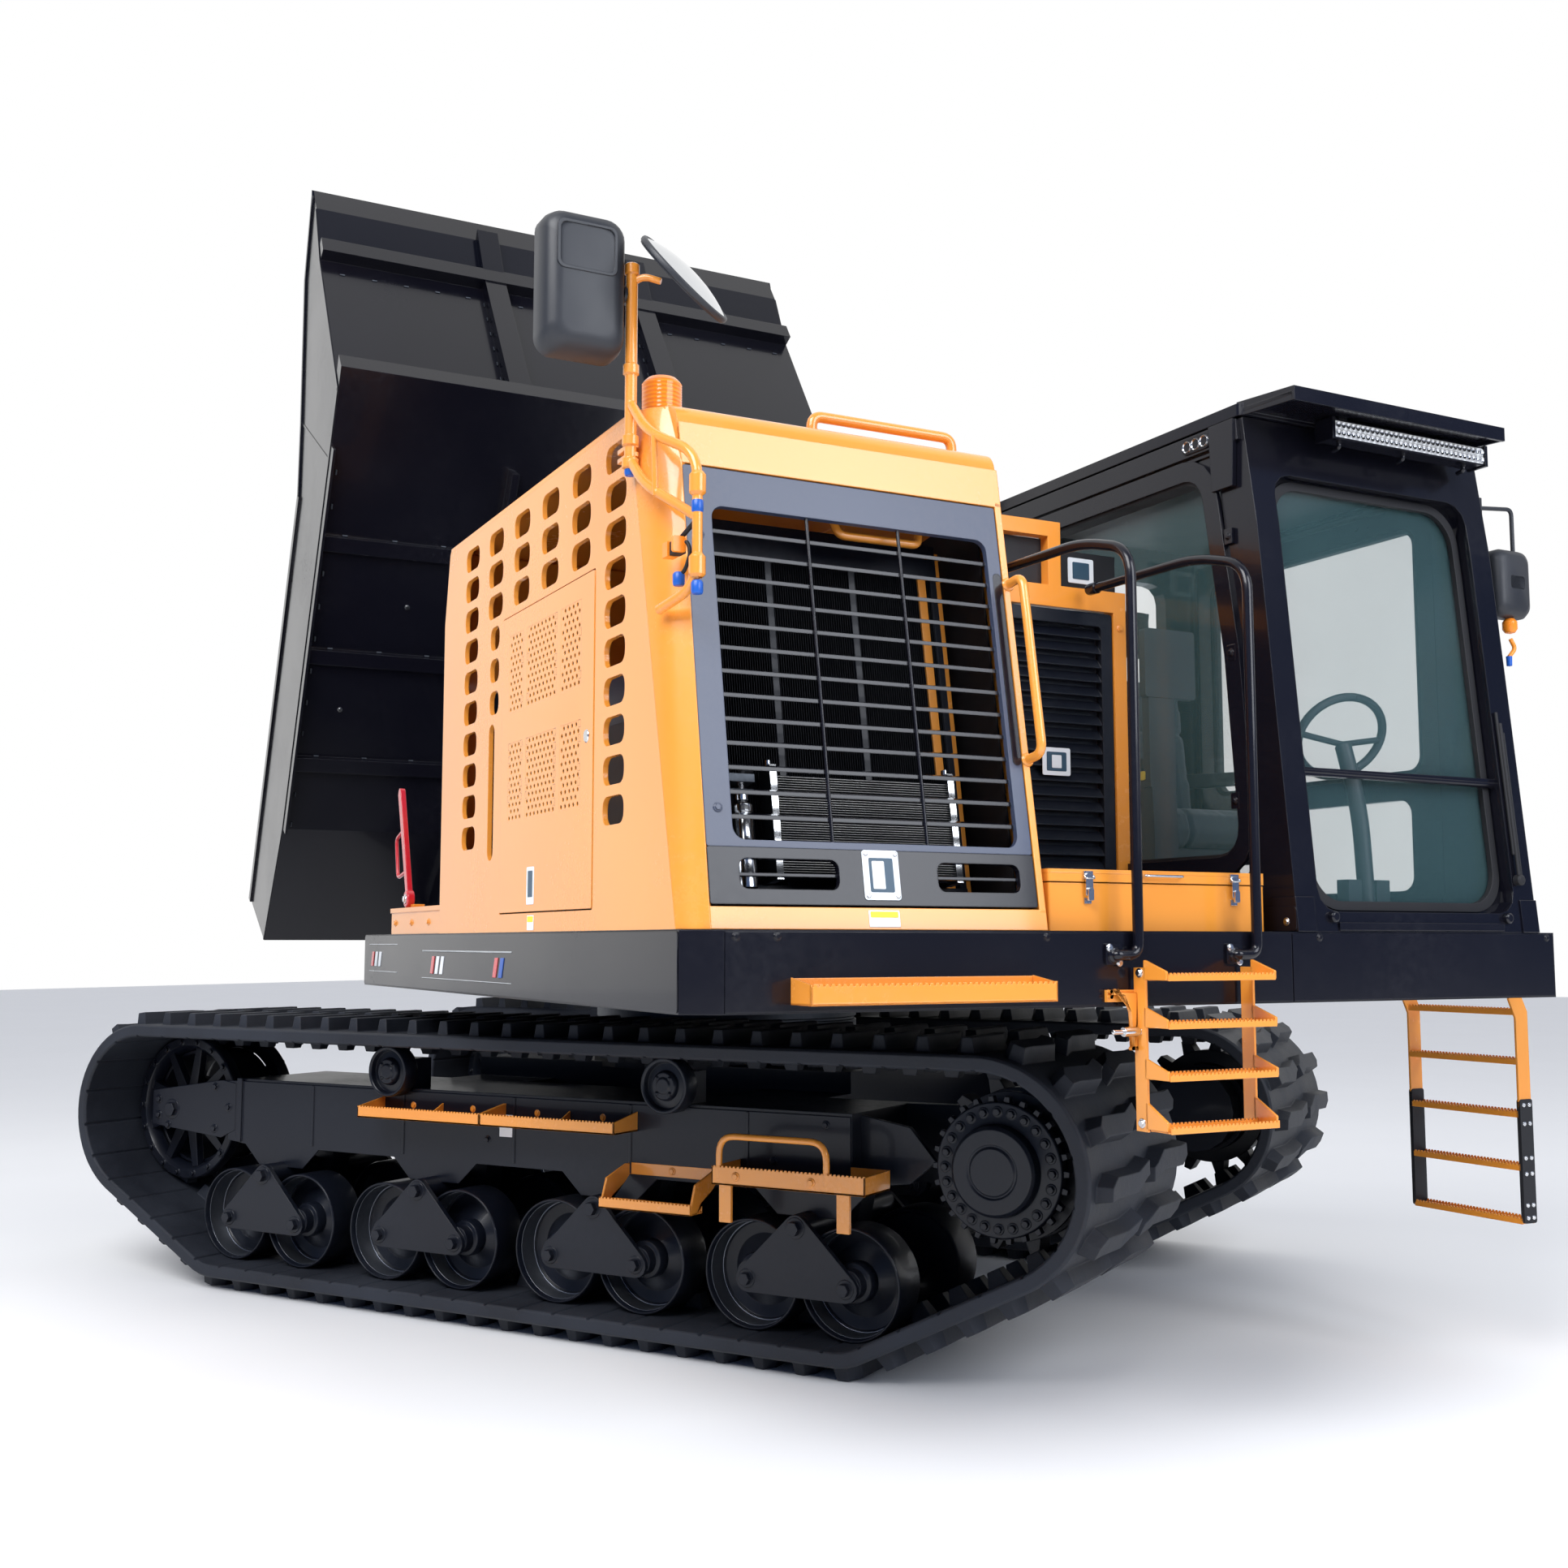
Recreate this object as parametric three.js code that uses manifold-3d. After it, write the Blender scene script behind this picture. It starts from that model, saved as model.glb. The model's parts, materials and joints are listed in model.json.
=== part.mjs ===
// A slewing rubber-track crawler dump carrier, in millimetres, +Z up.
//
// The origin is the centre of the belly plate's underside, on the slew axis. +X runs forward along the
// tracks and +Y towards the left track. Heights inside the code are heights above the ground, and the
// whole machine is lowered by the ground clearance at the end.
//
// The undercarriage is drawn straight in this frame. The upper structure is drawn in its own frame
// (x forward, y left, z up) inside a group that is turned about the slew axis, and the dump bed is drawn
// along its own floor inside a group that is tipped about the tail hinge.

import * as THREE from 'three';
import { mergeVertices } from 'three/addons/utils/BufferGeometryUtils.js';
import Module from 'manifold-3d';

const wasm = await Module();
wasm.setup();

// ---------- driving dimensions ----------

const clearance = 0.3; // between pieces that touch
const degrees = Math.PI / 180;
const slewAngle = -32.9 * degrees; // where the upper structure stands
const tipAngle = 61.5 * degrees; // how far the bed is tipped
const groundClearance = 450;

// tracks
const overallHalfWidth = 1500;
const beltWidth = 860;
const treadWidth = 760;
const beltThickness = 50;
const lugHeight = 50;
const lugPitch = 150;
const trackCentre = overallHalfWidth - beltWidth / 2;
const drumHeight = 667; // height of the idler and sprocket axles
const drumSpace = 311; // inner radius of the belt around them
const drumGap = 12; // drum to belt
const drumRadius = drumSpace - drumGap;
const beltFloor = beltThickness + lugHeight; // height of the belt's inner face on the ground

// bogies
const wheelRadius = 180;
const wheelGap = 1; // wheel to belt
const wheelHeight = beltFloor + wheelRadius + wheelGap;
const wheelHalfSpacing = wheelRadius + 2; // the two wheels of a bogie nearly touch
const bogieGap = 85; // from the wheels of one bogie to those of the next
const bogieSpacing = 2 * wheelHalfSpacing + 2 * wheelRadius + bogieGap;
const firstBogieX = -1291;
const pivotRise = 164; // bogie pivot above the wheel axles
const bogiePivotHeight = wheelHeight + pivotRise;
const bogieCount = 4;
const pivotRadius = 45;
const wheelWidth = 150;
const wheelSides = 12;
const rockerThickness = 20;
const rockerHalfWidth = 330; // track centre line to the rocker's outer face
const bogieX = Array.from({ length: bogieCount }, (_, i) => firstBogieX + i * bogieSpacing);
const lastBogieX = bogieX.at(-1);
const idlerX = firstBogieX - wheelHalfSpacing - 467;
const sprocketX = lastBogieX + wheelHalfSpacing + 492;

// track frames
const beamTop = 810;
const beamBottom = 555;
const beamRear = idlerX + 413;
const beamFront = sprocketX - 517;
const beamHalfWidth = 230;
const carrierX = [-667, 603];
const carrierRadius = 96;
const carrierGap = 6; // roller to the belt's upper run
const carrierHeight = drumHeight + drumSpace - carrierRadius - carrierGap;
const beamOuter = trackCentre + beamHalfWidth;
const beamInner = trackCentre - beamHalfWidth;

// slew ring and deck
const slewRadius = 560;
const pedestalTop = 990;
const slewTop = 1100;
const deckBottom = 1195;
const deckTop = 1396;
const deckFront = 2991;
const deckRear = -295;
const deckLeft = 1505;
const deckRight = -1500;
const railHalfSpacing = 450;
const railWidth = 120;
const railTop = 1310;

// engine housing: (x, z) of its side face, and y of its faces
const housingRear = 820;
const housingTop = 2755;
const housingLeft = -451;
const housingRight = -1500;
const housingFrontLow = 2961;
const housingFrontHigh = 2740;
const housingWall = 40;
const housingLean = Math.atan2(housingFrontLow - housingFrontHigh, housingTop - deckTop);

// cab
const cabRight = 402;
const cabLeft = 1405;
const cabRear = 1350;
const cabWall = 60;
const cabFloor = 40;
const glassThickness = 8;
const cabTop = 2960;
const roofTop = 3010;
const cabFrontLine = [[2991, deckTop], [2909, 2230], [2870, 2620], [2819, cabTop]];

// dump bed, along its floor from the front edge of the tail ramp, and the hinge's place on it
const bedHalfWidth = 1400;
const bedWall = 20;
const bedLength = 2435;
const bedSide = 700;
const bedHinge = [-654, 11];
const crossBeamDepth = 34; // under the floor, clear of the lowered hoist
const hinge = [-3100, 1420];
const pinRadius = 30; // tail hinge pins
const lugSpacing = 40; // each hinge lug beside its knuckle

// hoist: base pin on the deck frame, head pin under the bed
const hoistBase = [-550, 1260];
const hoistHead = [100, -90];
const hoistY = 250;
const hoistPinRadius = 27;
const barrelRadius = 62;
const rodRadius = 40;

// ---------- materials ----------

const look = (color, roughness, metalness) => () => (
  new THREE.MeshStandardMaterial({ color, roughness, metalness }));
const yellowPaint = look(0xf6a42e, 0.3, 0.1);
const blackPaint = look(0x15161a, 0.3, 0.1);
const greyPaint = look(0x5d6675, 0.4, 0.1);
const redPaint = look(0xd42436, 0.35, 0.1);
const rubber = look(0x2b2e33, 0.85, 0);
const plastic = look(0x2c2f36, 0.6, 0);
const fabric = look(0x22303a, 0.9, 0);
const glass = () => new THREE.MeshStandardMaterial({
  color: 0xa8d4d8, roughness: 0.05, metalness: 0, transparent: true, opacity: 0.35,
});
const amber = look(0xf78a1d, 0.2, 0);
const steel = look(0x8d9199, 0.35, 0.9);
const mirrorFace = look(0xdfe4ea, 0.05, 1);

// ---------- solids ----------

function solid(geometry, place) {
  if (place) geometry.applyMatrix4(place);
  geometry.deleteAttribute('normal');
  geometry.deleteAttribute('uv');
  const merged = mergeVertices(geometry);
  return new wasm.Manifold(new wasm.Mesh({
    numProp: 3,
    vertProperties: new Float32Array(merged.attributes.position.array),
    triVerts: new Uint32Array(merged.index.array),
  }));
}

function box(x, y, z, place) {
  const geometry = new THREE.BoxGeometry(x[1] - x[0], y[1] - y[0], z[1] - z[0]);
  geometry.translate((x[0] + x[1]) / 2, (y[0] + y[1]) / 2, (z[0] + z[1]) / 2);
  return solid(geometry, place);
}

// turns a prism drawn in XY and extruded along Z so that it runs along another axis
const alongAxis = {
  x: new THREE.Matrix4().set(0, 0, 1, 0, 1, 0, 0, 0, 0, 1, 0, 0, 0, 0, 0, 1),
  y: new THREE.Matrix4().set(1, 0, 0, 0, 0, 0, -1, 0, 0, 1, 0, 0, 0, 0, 0, 1),
  z: new THREE.Matrix4(),
};

// a prism along axis; the outline's pairs are (y, z) for x, (x, z) for y and (x, y) for z
function prism(axis, outline, from, to, { hole, place } = {}) {
  const shape = new THREE.Shape(outline.map(([a, b]) => new THREE.Vector2(a, b)));
  if (hole) shape.holes.push(new THREE.Path(hole.map(([a, b]) => new THREE.Vector2(a, b))));
  const geometry = new THREE.ExtrudeGeometry(shape, { depth: to - from, bevelEnabled: false });
  geometry.translate(0, 0, axis === 'y' ? -to : from);
  geometry.applyMatrix4(alongAxis[axis]);
  return solid(geometry, place);
}

function circle([a, b], radius, sides = 16) {
  return Array.from({ length: sides }, (_, i) => {
    const angle = (2 * Math.PI * i) / sides;
    return [a + radius * Math.cos(angle), b + radius * Math.sin(angle)];
  });
}

const drum = (axis, centre, radius, from, to, sides) => (
  prism(axis, circle(centre, radius, sides), from, to));

// a rectangle's outline with rounded corners
function roundedRectangle([a0, a1], [b0, b1], radius, cuts = 3) {
  const corners = [[a1 - radius, b1 - radius], [a0 + radius, b1 - radius],
    [a0 + radius, b0 + radius], [a1 - radius, b0 + radius]];
  return corners.flatMap(([a, b], corner) => Array.from({ length: cuts + 1 }, (_, i) => {
    const angle = (corner + i / cuts) * Math.PI / 2;
    return [a + radius * Math.cos(angle), b + radius * Math.sin(angle)];
  }));
}

// a closed body between two rings of the same number of points
function loft(lower, upper) {
  const count = lower.length;
  const points = [...lower, ...upper].flat();
  const faces = [];
  for (let i = 0; i < count; i += 1) {
    const next = (i + 1) % count;
    faces.push(i, next, count + next, i, count + next, count + i);
    if (i > 0 && i < count - 1) faces.push(0, i + 1, i, count, count + i, count + i + 1);
  }
  const geometry = new THREE.BufferGeometry();
  geometry.setAttribute('position', new THREE.Float32BufferAttribute(points, 3));
  geometry.setIndex(faces);
  return solid(geometry);
}

// a curve through given stations, each used once, so a bent tube has edges only where it bends
class Stations extends THREE.Curve {
  constructor(points) {
    super();
    this.points = points;
  }

  getPoint(t, target = new THREE.Vector3()) {
    const place = t * (this.points.length - 1);
    const i = Math.min(Math.floor(place + 1e-9), this.points.length - 2);
    return target.copy(this.points[i]).lerp(this.points[i + 1], place - i);
  }

  getPointAt(u, target) {
    return this.getPoint(u, target);
  }

  getTangentAt(u, target = new THREE.Vector3()) {
    const last = this.points.length - 1;
    const i = Math.round(u * last);
    const before = this.points[i].clone().sub(this.points[Math.max(i - 1, 0)]).normalize();
    const after = this.points[Math.min(i + 1, last)].clone().sub(this.points[i]).normalize();
    return target.copy(before).add(after).normalize();
  }
}

// corner points turned into a path with rounded bends
function bentPath(corners, bend, cuts = 2) {
  const points = corners.map((corner) => new THREE.Vector3(...corner));
  const path = [points[0]];
  for (let i = 1; i < points.length - 1; i += 1) {
    const corner = points[i];
    const shorter = Math.min(corner.distanceTo(points[i - 1]), corner.distanceTo(points[i + 1]));
    const reach = Math.min(bend, shorter / 2.1);
    const start = corner.clone().add(points[i - 1].clone().sub(corner).setLength(reach));
    const end = corner.clone().add(points[i + 1].clone().sub(corner).setLength(reach));
    path.push(...new THREE.QuadraticBezierCurve3(start, corner, end).getPoints(cuts));
  }
  return [...path, points.at(-1)];
}

function tube(corners, radius, { bend = 60, sides = 8, cuts = 2, place } = {}) {
  const path = bentPath(corners, bend, cuts);
  const section = new THREE.Shape(circle([0, 0], radius, sides).map(([a, b]) => new THREE.Vector2(a, b)));
  const geometry = new THREE.ExtrudeGeometry(section, {
    steps: path.length - 1, bevelEnabled: false, extrudePath: new Stations(path),
  });
  return solid(geometry, place);
}

const joined = (...parts) => parts.flat().reduce((whole, part) => whole.add(part));
const cut = (body, ...tools) => body.subtract(joined(...tools));

function part(name, body, material) {
  const { numProp, vertProperties, triVerts } = body.getMesh();
  const geometry = new THREE.BufferGeometry();
  const positions = new Float32Array((vertProperties.length / numProp) * 3);
  for (let i = 0; i < positions.length / 3; i += 1) {
    positions.set(vertProperties.subarray(i * numProp, i * numProp + 3), i * 3);
  }
  geometry.setAttribute('position', new THREE.BufferAttribute(positions, 3));
  geometry.setIndex(new THREE.BufferAttribute(new Uint32Array(triVerts), 1));
  geometry.computeVertexNormals();
  const mesh = new THREE.Mesh(geometry, material());
  mesh.name = name;
  return mesh;
}

// ---------- rubber tracks ----------

const loopRollers = [ // anticlockwise, seen from the right-hand side: [x, z, radius of the belt's inner face]
  [bogieX[0] - wheelHalfSpacing, wheelHeight, wheelRadius + wheelGap],
  [lastBogieX + wheelHalfSpacing, wheelHeight, wheelRadius + wheelGap],
  [sprocketX, drumHeight, drumSpace],
  [idlerX, drumHeight, drumSpace],
];

// The belt as a chain of straight runs and arcs: each piece knows its length along the pitch line and
// returns the point and outward direction at a distance along it.
function beltPieces() {
  const runs = loopRollers.map(([x, z, r], i) => {
    const [nextX, nextZ, nextR] = loopRollers[(i + 1) % loopRollers.length];
    const span = Math.hypot(nextX - x, nextZ - z);
    const ahead = [(nextX - x) / span, (nextZ - z) / span];
    const sine = (r - nextR) / span;
    const cosine = Math.sqrt(1 - sine * sine);
    const out = [ahead[0] * sine + ahead[1] * cosine, ahead[1] * sine - ahead[0] * cosine];
    const along = [-out[1], out[0]];
    return { x, z, r, out, along, length: span * cosine, angle: Math.atan2(out[1], out[0]) };
  });
  return runs.flatMap((run, i) => {
    const before = runs[(i + runs.length - 1) % runs.length];
    const turn = (run.angle - before.angle + 2 * Math.PI) % (2 * Math.PI);
    const { x, z, r, out, along } = run;
    const arc = {
      steps: Math.ceil(turn / (13 * degrees)),
      length: turn * (r + beltThickness / 2),
      at: (s) => {
        const angle = before.angle + s / (r + beltThickness / 2);
        const normal = [Math.cos(angle), Math.sin(angle)];
        return { point: [x + r * normal[0], z + r * normal[1]], normal };
      },
    };
    const line = {
      steps: 1,
      length: run.length,
      at: (s) => ({ point: [x + r * out[0] + s * along[0], z + r * out[1] + s * along[1]], normal: out }),
    };
    return [arc, line];
  });
}

const beltRun = beltPieces();
const beltLength = beltRun.reduce((sum, piece) => sum + piece.length, 0);
const lugCount = Math.round(beltLength / lugPitch);

// the point at a distance along the belt, a given height above its inner face
function beltPoint(distance, height) {
  let left = ((distance % beltLength) + beltLength) % beltLength;
  const piece = beltRun.find((one) => {
    if (left <= one.length) return true;
    left -= one.length;
    return false;
  }) ?? beltRun.at(-1);
  const { point, normal } = piece.at(left);
  return [point[0] + height * normal[0], point[1] + height * normal[1]];
}

// a smooth outline a given height above the belt's inner face
function beltOutline(height) {
  return beltRun.flatMap(({ steps, length, at }) => Array.from({ length: steps }, (_, i) => {
    const { point, normal } = at(i * length / steps);
    return [point[0] + height * normal[0], point[1] + height * normal[1]];
  }));
}

// the toothed outline: each lug has its foot, its face and its foot again
function lugOutline(shares, heights) {
  const pitch = beltLength / lugCount;
  return Array.from({ length: lugCount }, (_, i) => shares.map((share, j) => (
    beltPoint((i + share) * pitch, heights[j])))).flat();
}

function rubberTrack(centre) {
  const hole = beltOutline(0);
  const band = beltOutline(beltThickness);
  const top = beltThickness + lugHeight;
  const base = beltThickness - 8;
  const tread = lugOutline([0.18, 0.24, 0.76, 0.82], [base, top, top, base]);
  return joined(
    prism('y', band, centre - beltWidth / 2, centre + beltWidth / 2, { hole }),
    prism('y', tread, centre - treadWidth / 2, centre + treadWidth / 2, { hole }),
  );
}

// ---------- undercarriage ----------

const legReach = beamInner - clearance;

const chassisHalfLength = 900;
const chassisTop = 880;
const legX = [-700, 700];
const legHalfLength = 200;

function chassis() {
  const legs = legX.map((x) => (
    box([x - legHalfLength, x + legHalfLength], [-legReach, legReach], [beamBottom + 5, beamTop - 10])));
  return joined(
    box([-chassisHalfLength, chassisHalfLength], [-560, 560], [groundClearance, chassisTop]),
    drum('z', [0, 0], slewRadius + 60, chassisTop - 20, pedestalTop - 60, 24),
    drum('z', [0, 0], slewRadius - 40, pedestalTop - 80, pedestalTop, 24),
    ...legs,
  );
}

// a span across the machine, measured outwards from its middle on one side
const outwardFrom = (side, from, to) => (side > 0 ? [from, to] : [-to, -from]);

function trackFrame(side) {
  const across = (from, to) => outwardFrom(side, from, to);
  const beam = box([beamRear, beamFront], across(beamInner, beamOuter), [beamBottom, beamTop]);
  const armOutline = [[idlerX - 60, drumHeight - 75], [beamRear + 60, beamBottom + 10],
    [beamRear + 60, beamTop - 30], [idlerX - 60, drumHeight + 75]];
  const idlerArm = (y0, y1) => cut(
    prism('y', armOutline, ...across(y0, y1)),
    drum('y', [idlerX, drumHeight], 51, ...across(y0 - 10, y1 + 10), 8),
  );
  const driveArm = joined(
    prism('y', [[beamFront - 60, beamBottom], [sprocketX, drumHeight - 150], [sprocketX + 60, drumHeight],
      [sprocketX, drumHeight + 150], [beamFront - 60, beamTop]], ...across(beamInner, beamInner + 50)),
    drum('y', [sprocketX, drumHeight], 170, ...across(beamInner - 70, beamInner + 60)),
  );
  const hanger = (x, y) => cut(
    prism('y', [[x - 110, beamBottom + 10], [x - 70, bogiePivotHeight - 60], [x + 70, bogiePivotHeight - 60],
      [x + 110, beamBottom + 10]], ...across(y - 50, y + 50)),
    drum('y', [x, bogiePivotHeight], pivotRadius + 5, ...across(y - 60, y + 60), 8),
  );
  const hangers = bogieX.map((x) => hanger(x, trackCentre));
  const posts = carrierX.map((x) => cut(
    box([x - 55, x + 55], across(beamOuter - 110, beamOuter - 1), [beamTop - 10, carrierHeight + 45]),
    drum('y', [x, carrierHeight], 34, ...across(beamOuter - 120, beamOuter + 10), 8),
  ));
  return joined(
    beam,
    idlerArm(beamInner, beamInner + 60), idlerArm(beamOuter - 60, beamOuter),
    driveArm, ...hangers, ...posts,
  );
}

function bogie(side, x) {
  const across = (from, to) => outwardFrom(side, trackCentre + from, trackCentre + to);
  const plateOutline = [[x - 45, bogiePivotHeight + 55], [x - wheelHalfSpacing - 50, wheelHeight + 15],
    [x - wheelHalfSpacing - 30, wheelHeight - 50], [x + wheelHalfSpacing + 30, wheelHeight - 50],
    [x + wheelHalfSpacing + 50, wheelHeight + 15], [x + 45, bogiePivotHeight + 55]];
  const plate = (from) => prism('y', plateOutline, ...across(from, from + rockerThickness));
  const reach = rockerHalfWidth - rockerThickness;
  const wheelFace = reach - 8;
  const wheel = (centre, from) => (
    drum('y', centre, wheelRadius, ...across(from, from + wheelWidth), wheelSides));
  const axles = [x - wheelHalfSpacing, x + wheelHalfSpacing].flatMap((wheelX) => [
    drum('y', [wheelX, wheelHeight], 40, ...across(-reach - 5, reach + 5), 6),
    wheel([wheelX, wheelHeight], wheelFace - wheelWidth),
    wheel([wheelX, wheelHeight], -wheelFace),
  ]);
  return joined(
    plate(reach), plate(-rockerHalfWidth), ...axles,
    drum('y', [x, bogiePivotHeight], pivotRadius, ...across(-reach - 5, reach + 5), 6),
  );
}

function idler(side) {
  const across = (from, to) => outwardFrom(side, trackCentre + from, trackCentre + to);
  const half = beamHalfWidth - 70;
  return joined(
    cut(
      drum('y', [idlerX, drumHeight], drumRadius, ...across(-half, half), 24),
      drum('y', [idlerX, drumHeight], drumRadius - 45, ...across(60, half + 10)),
      drum('y', [idlerX, drumHeight], drumRadius - 45, ...across(-half - 10, -60)),
    ),
    drum('y', [idlerX, drumHeight], 95, ...across(5 - half, half - 5), 10),
    drum('y', [idlerX, drumHeight], 45, ...across(-beamHalfWidth - 15, beamHalfWidth + 15), 8),
  );
}

function sprocket(side) {
  const across = (from, to) => outwardFrom(side, trackCentre + from, trackCentre + to);
  const centre = [sprocketX, drumHeight];
  const toothCount = 13;
  const teeth = Array.from({ length: toothCount }, (_, i) => {
    const turn = new THREE.Matrix4().makeTranslation(sprocketX, 0, drumHeight)
      .multiply(new THREE.Matrix4().makeRotationY(i * 2 * Math.PI / toothCount));
    return box([220, drumRadius], across(-125, 125), [-22, 22], turn);
  });
  return joined(
    drum('y', centre, 240, ...across(-130, 130), toothCount),
    drum('y', centre, 202, ...across(120, 262)),
    drum('y', centre, 138, ...across(250, 302)),
    ...teeth,
  );
}

function carrier(side, x) {
  const across = (from, to) => outwardFrom(side, beamOuter + from, beamOuter + to);
  return joined(
    drum('y', [x, carrierHeight], carrierRadius, ...across(6, 76)),
    drum('y', [x, carrierHeight], 30, ...across(-100, 10), 8),
  );
}

// ---------- steps on the right-hand track frame ----------

function stepTray() {
  const outer = -beamOuter - clearance;
  const y = [outer - 150, outer];
  const [rear, middle, front] = [-742, -146, 449];
  const wall = 8;
  const z = [708, 777];
  const bay = (x0, x1) => (
    box([x0 + wall, x1 - wall], [y[0] + wall, y[1] - wall], [z[0] + 12, z[1] + 23]));
  return cut(box([rear, front], y, z), bay(rear, middle), bay(middle, front));
}

function cStep() {
  const outer = -beamOuter - clearance;
  const rear = bogieX[2] + wheelHalfSpacing - 97; // behind the wheel axle, where the rocker is low
  const x = [rear, rear + 370];
  const plate = 8;
  const depth = 180;
  const low = bogiePivotHeight + 22; // clear of the rocker below it when that tilts
  const top = 600;
  const side = (x0) => box([x0, x0 + plate], [outer - depth, outer], [low, top]);
  return joined(
    side(x[0]), side(x[1] - plate),
    box(x, [outer - 12, outer], [top - 40, top]),
    box(x, [outer - depth, outer - depth + 75], [low, low + 12]),
    box(x, [outer - depth, outer - depth + plate], [low, low + 37]),
  );
}

function railedStep() {
  const outer = -beamOuter - clearance;
  const depth = 180;
  const x = [867, 1431];
  const shelf = [578, 592];
  const railY = outer - depth + 6;
  const rail = [[890, 600], [890, 735], [1290, 735], [1290, 600]].map(([railX, z]) => [railX, railY, z]);
  const leg = (x0) => box([x0, x0 + 45], [outer - depth, outer - depth + 15], [459, shelf[1] - 2]);
  return joined(
    box(x, [outer - depth, outer], shelf),
    box(x, [outer - depth, outer - depth + 12], [shelf[0], 640]),
    leg(895), leg(1330),
    tube(rail, 12, { bend: 45 }),
  );
}

// ---------- slew ring and deck ----------

function slewRing() {
  const profile = [[slewRadius - 140, pedestalTop + clearance], [slewRadius, pedestalTop + clearance],
    [slewRadius, slewTop], [slewRadius - 140, slewTop]];
  const geometry = new THREE.LatheGeometry(
    [...profile, profile[0]].map(([r, z]) => new THREE.Vector2(r, z)), 24,
  );
  geometry.applyMatrix4(new THREE.Matrix4().makeRotationX(Math.PI / 2));
  return solid(geometry);
}

function deck() {
  const skirt = 25;
  const chamfer = [60, 86];
  const leftChamfer = 30;
  const outline = [[deckRear, deckRight], [deckFront - chamfer[0], deckRight],
    [deckFront, deckRight + chamfer[1]], [deckFront, deckLeft - leftChamfer],
    [deckFront - leftChamfer, deckLeft], [deckRear, deckLeft]];
  const inner = [345, 905];
  const outer = 930;
  const bays = [
    [deckRight + skirt, -outer], [-inner[1], -inner[0]], inner, [outer, deckLeft - skirt],
  ].map((y) => box([deckRear + skirt, deckFront - 90], y, [deckBottom - 10, deckTop - 35]));
  const railSides = [-railHalfSpacing, railHalfSpacing];
  const rails = railSides.map((y) => (
    box([hinge[0] - 60, deckRear + 50], [y - railWidth / 2, y + railWidth / 2], [deckBottom, railTop])));
  const lugFoot = railTop - 20;
  const lugHead = hinge[1] + 50;
  const lugOutside = [[hinge[0] - 70, lugFoot], [hinge[0] + 90, lugFoot], [hinge[0] + 45, lugHead],
    [hinge[0] - 45, lugHead]];
  const lug = (y) => cut(
    prism('y', lugOutside, y - 15, y + 15),
    drum('y', hinge, pinRadius + 6, y - 20, y + 20, 8),
  );
  const lugs = railSides.flatMap((y) => [lug(y - lugSpacing), lug(y + lugSpacing)]);
  const ear = (y) => cut(
    prism('y', [[hoistBase[0] - 60, deckBottom], [hoistBase[0] + 300, deckBottom], [hoistBase[0] + 300, 1300],
      [hoistBase[0] - 40, hoistBase[1] + 55]], y - 10, y + 10),
    drum('y', hoistBase, hoistPinRadius + 6, y - 15, y + 15, 8),
  );
  const ears = [-hoistY, hoistY].flatMap((y) => [ear(y - 76), ear(y + 76)]);
  const crossBeams = [-2950, -1700].map((x) => (
    box([x - 60, x + 60], railSides, [deckBottom, deckBottom + 30])));
  return joined(
    cut(prism('z', outline, deckBottom, deckTop), ...bays),
    drum('z', [0, 0], slewRadius - 10, slewTop + clearance, deckBottom + 20, 24),
    ...rails, ...lugs, ...ears, ...crossBeams,
  );
}

// ---------- engine housing ----------

// the housing's outer body, or its hollow when a wall thickness is given
function housingBody(wall) {
  const low = deckTop + (wall ? -50 : clearance);
  const high = housingTop - wall;
  const frontAt = (z) => housingFrontLow - (z - deckTop) * Math.tan(housingLean) - wall;
  const ring = (z, cornerCut) => [
    [housingRear + wall, housingLeft - wall, z], [housingRear + wall, housingRight + wall, z],
    [frontAt(z) - cornerCut, housingRight + wall, z], [frontAt(z), housingRight + wall + 70, z],
    [frontAt(z), housingLeft - wall, z],
  ];
  return loft(ring(low, 52), ring(high, wall ? 90 : 160));
}

// places a piece drawn against the leaning front: x out of the face, z up along it from the deck
const onFront = new THREE.Matrix4().makeTranslation(housingFrontLow, 0, deckTop)
  .multiply(new THREE.Matrix4().makeRotationY(-housingLean));

const grilleY = [-1430, -475];
const grilleZ = [60, 1200];
const doorX = [1516, 2340];
const doorZ = [1457, 2385];
const slotRows = 10;
const slotPitch = 105.6;
const slotTop = 2662;
const slotHeight = 76;
const slotWidth = 152;
const narrowSlot = 96;
const slotColumns = Array.from({ length: 6 }, (_, i) => 1157 + i * 266.6);

function housingSlots() {
  const slot = (x, z, width, height) => box([x - width / 2, x + width / 2],
    [housingRight - 10, housingRight + housingWall + 10], [z - height / 2, z + height / 2]);
  const column = (x, first, rows, width) => Array.from({ length: rows }, (_, row) => (
    slot(x, slotTop - (first + row) * slotPitch, width, slotHeight)));
  return [
    ...column(slotColumns[0], 0, slotRows, slotWidth), ...column(slotColumns[5], 0, slotRows, slotWidth),
    ...column(slotColumns[1], 3, 3, narrowSlot),
    ...[1, 2, 3, 4].flatMap((i) => column(slotColumns[i], 0, 3, slotWidth)),
    slot(slotColumns[1] - 20, 1846, 60, 440),
  ];
}

const doorGap = 3; // all round each door
const widened = ([from, to]) => [from - doorGap, to + doorGap];

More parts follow.
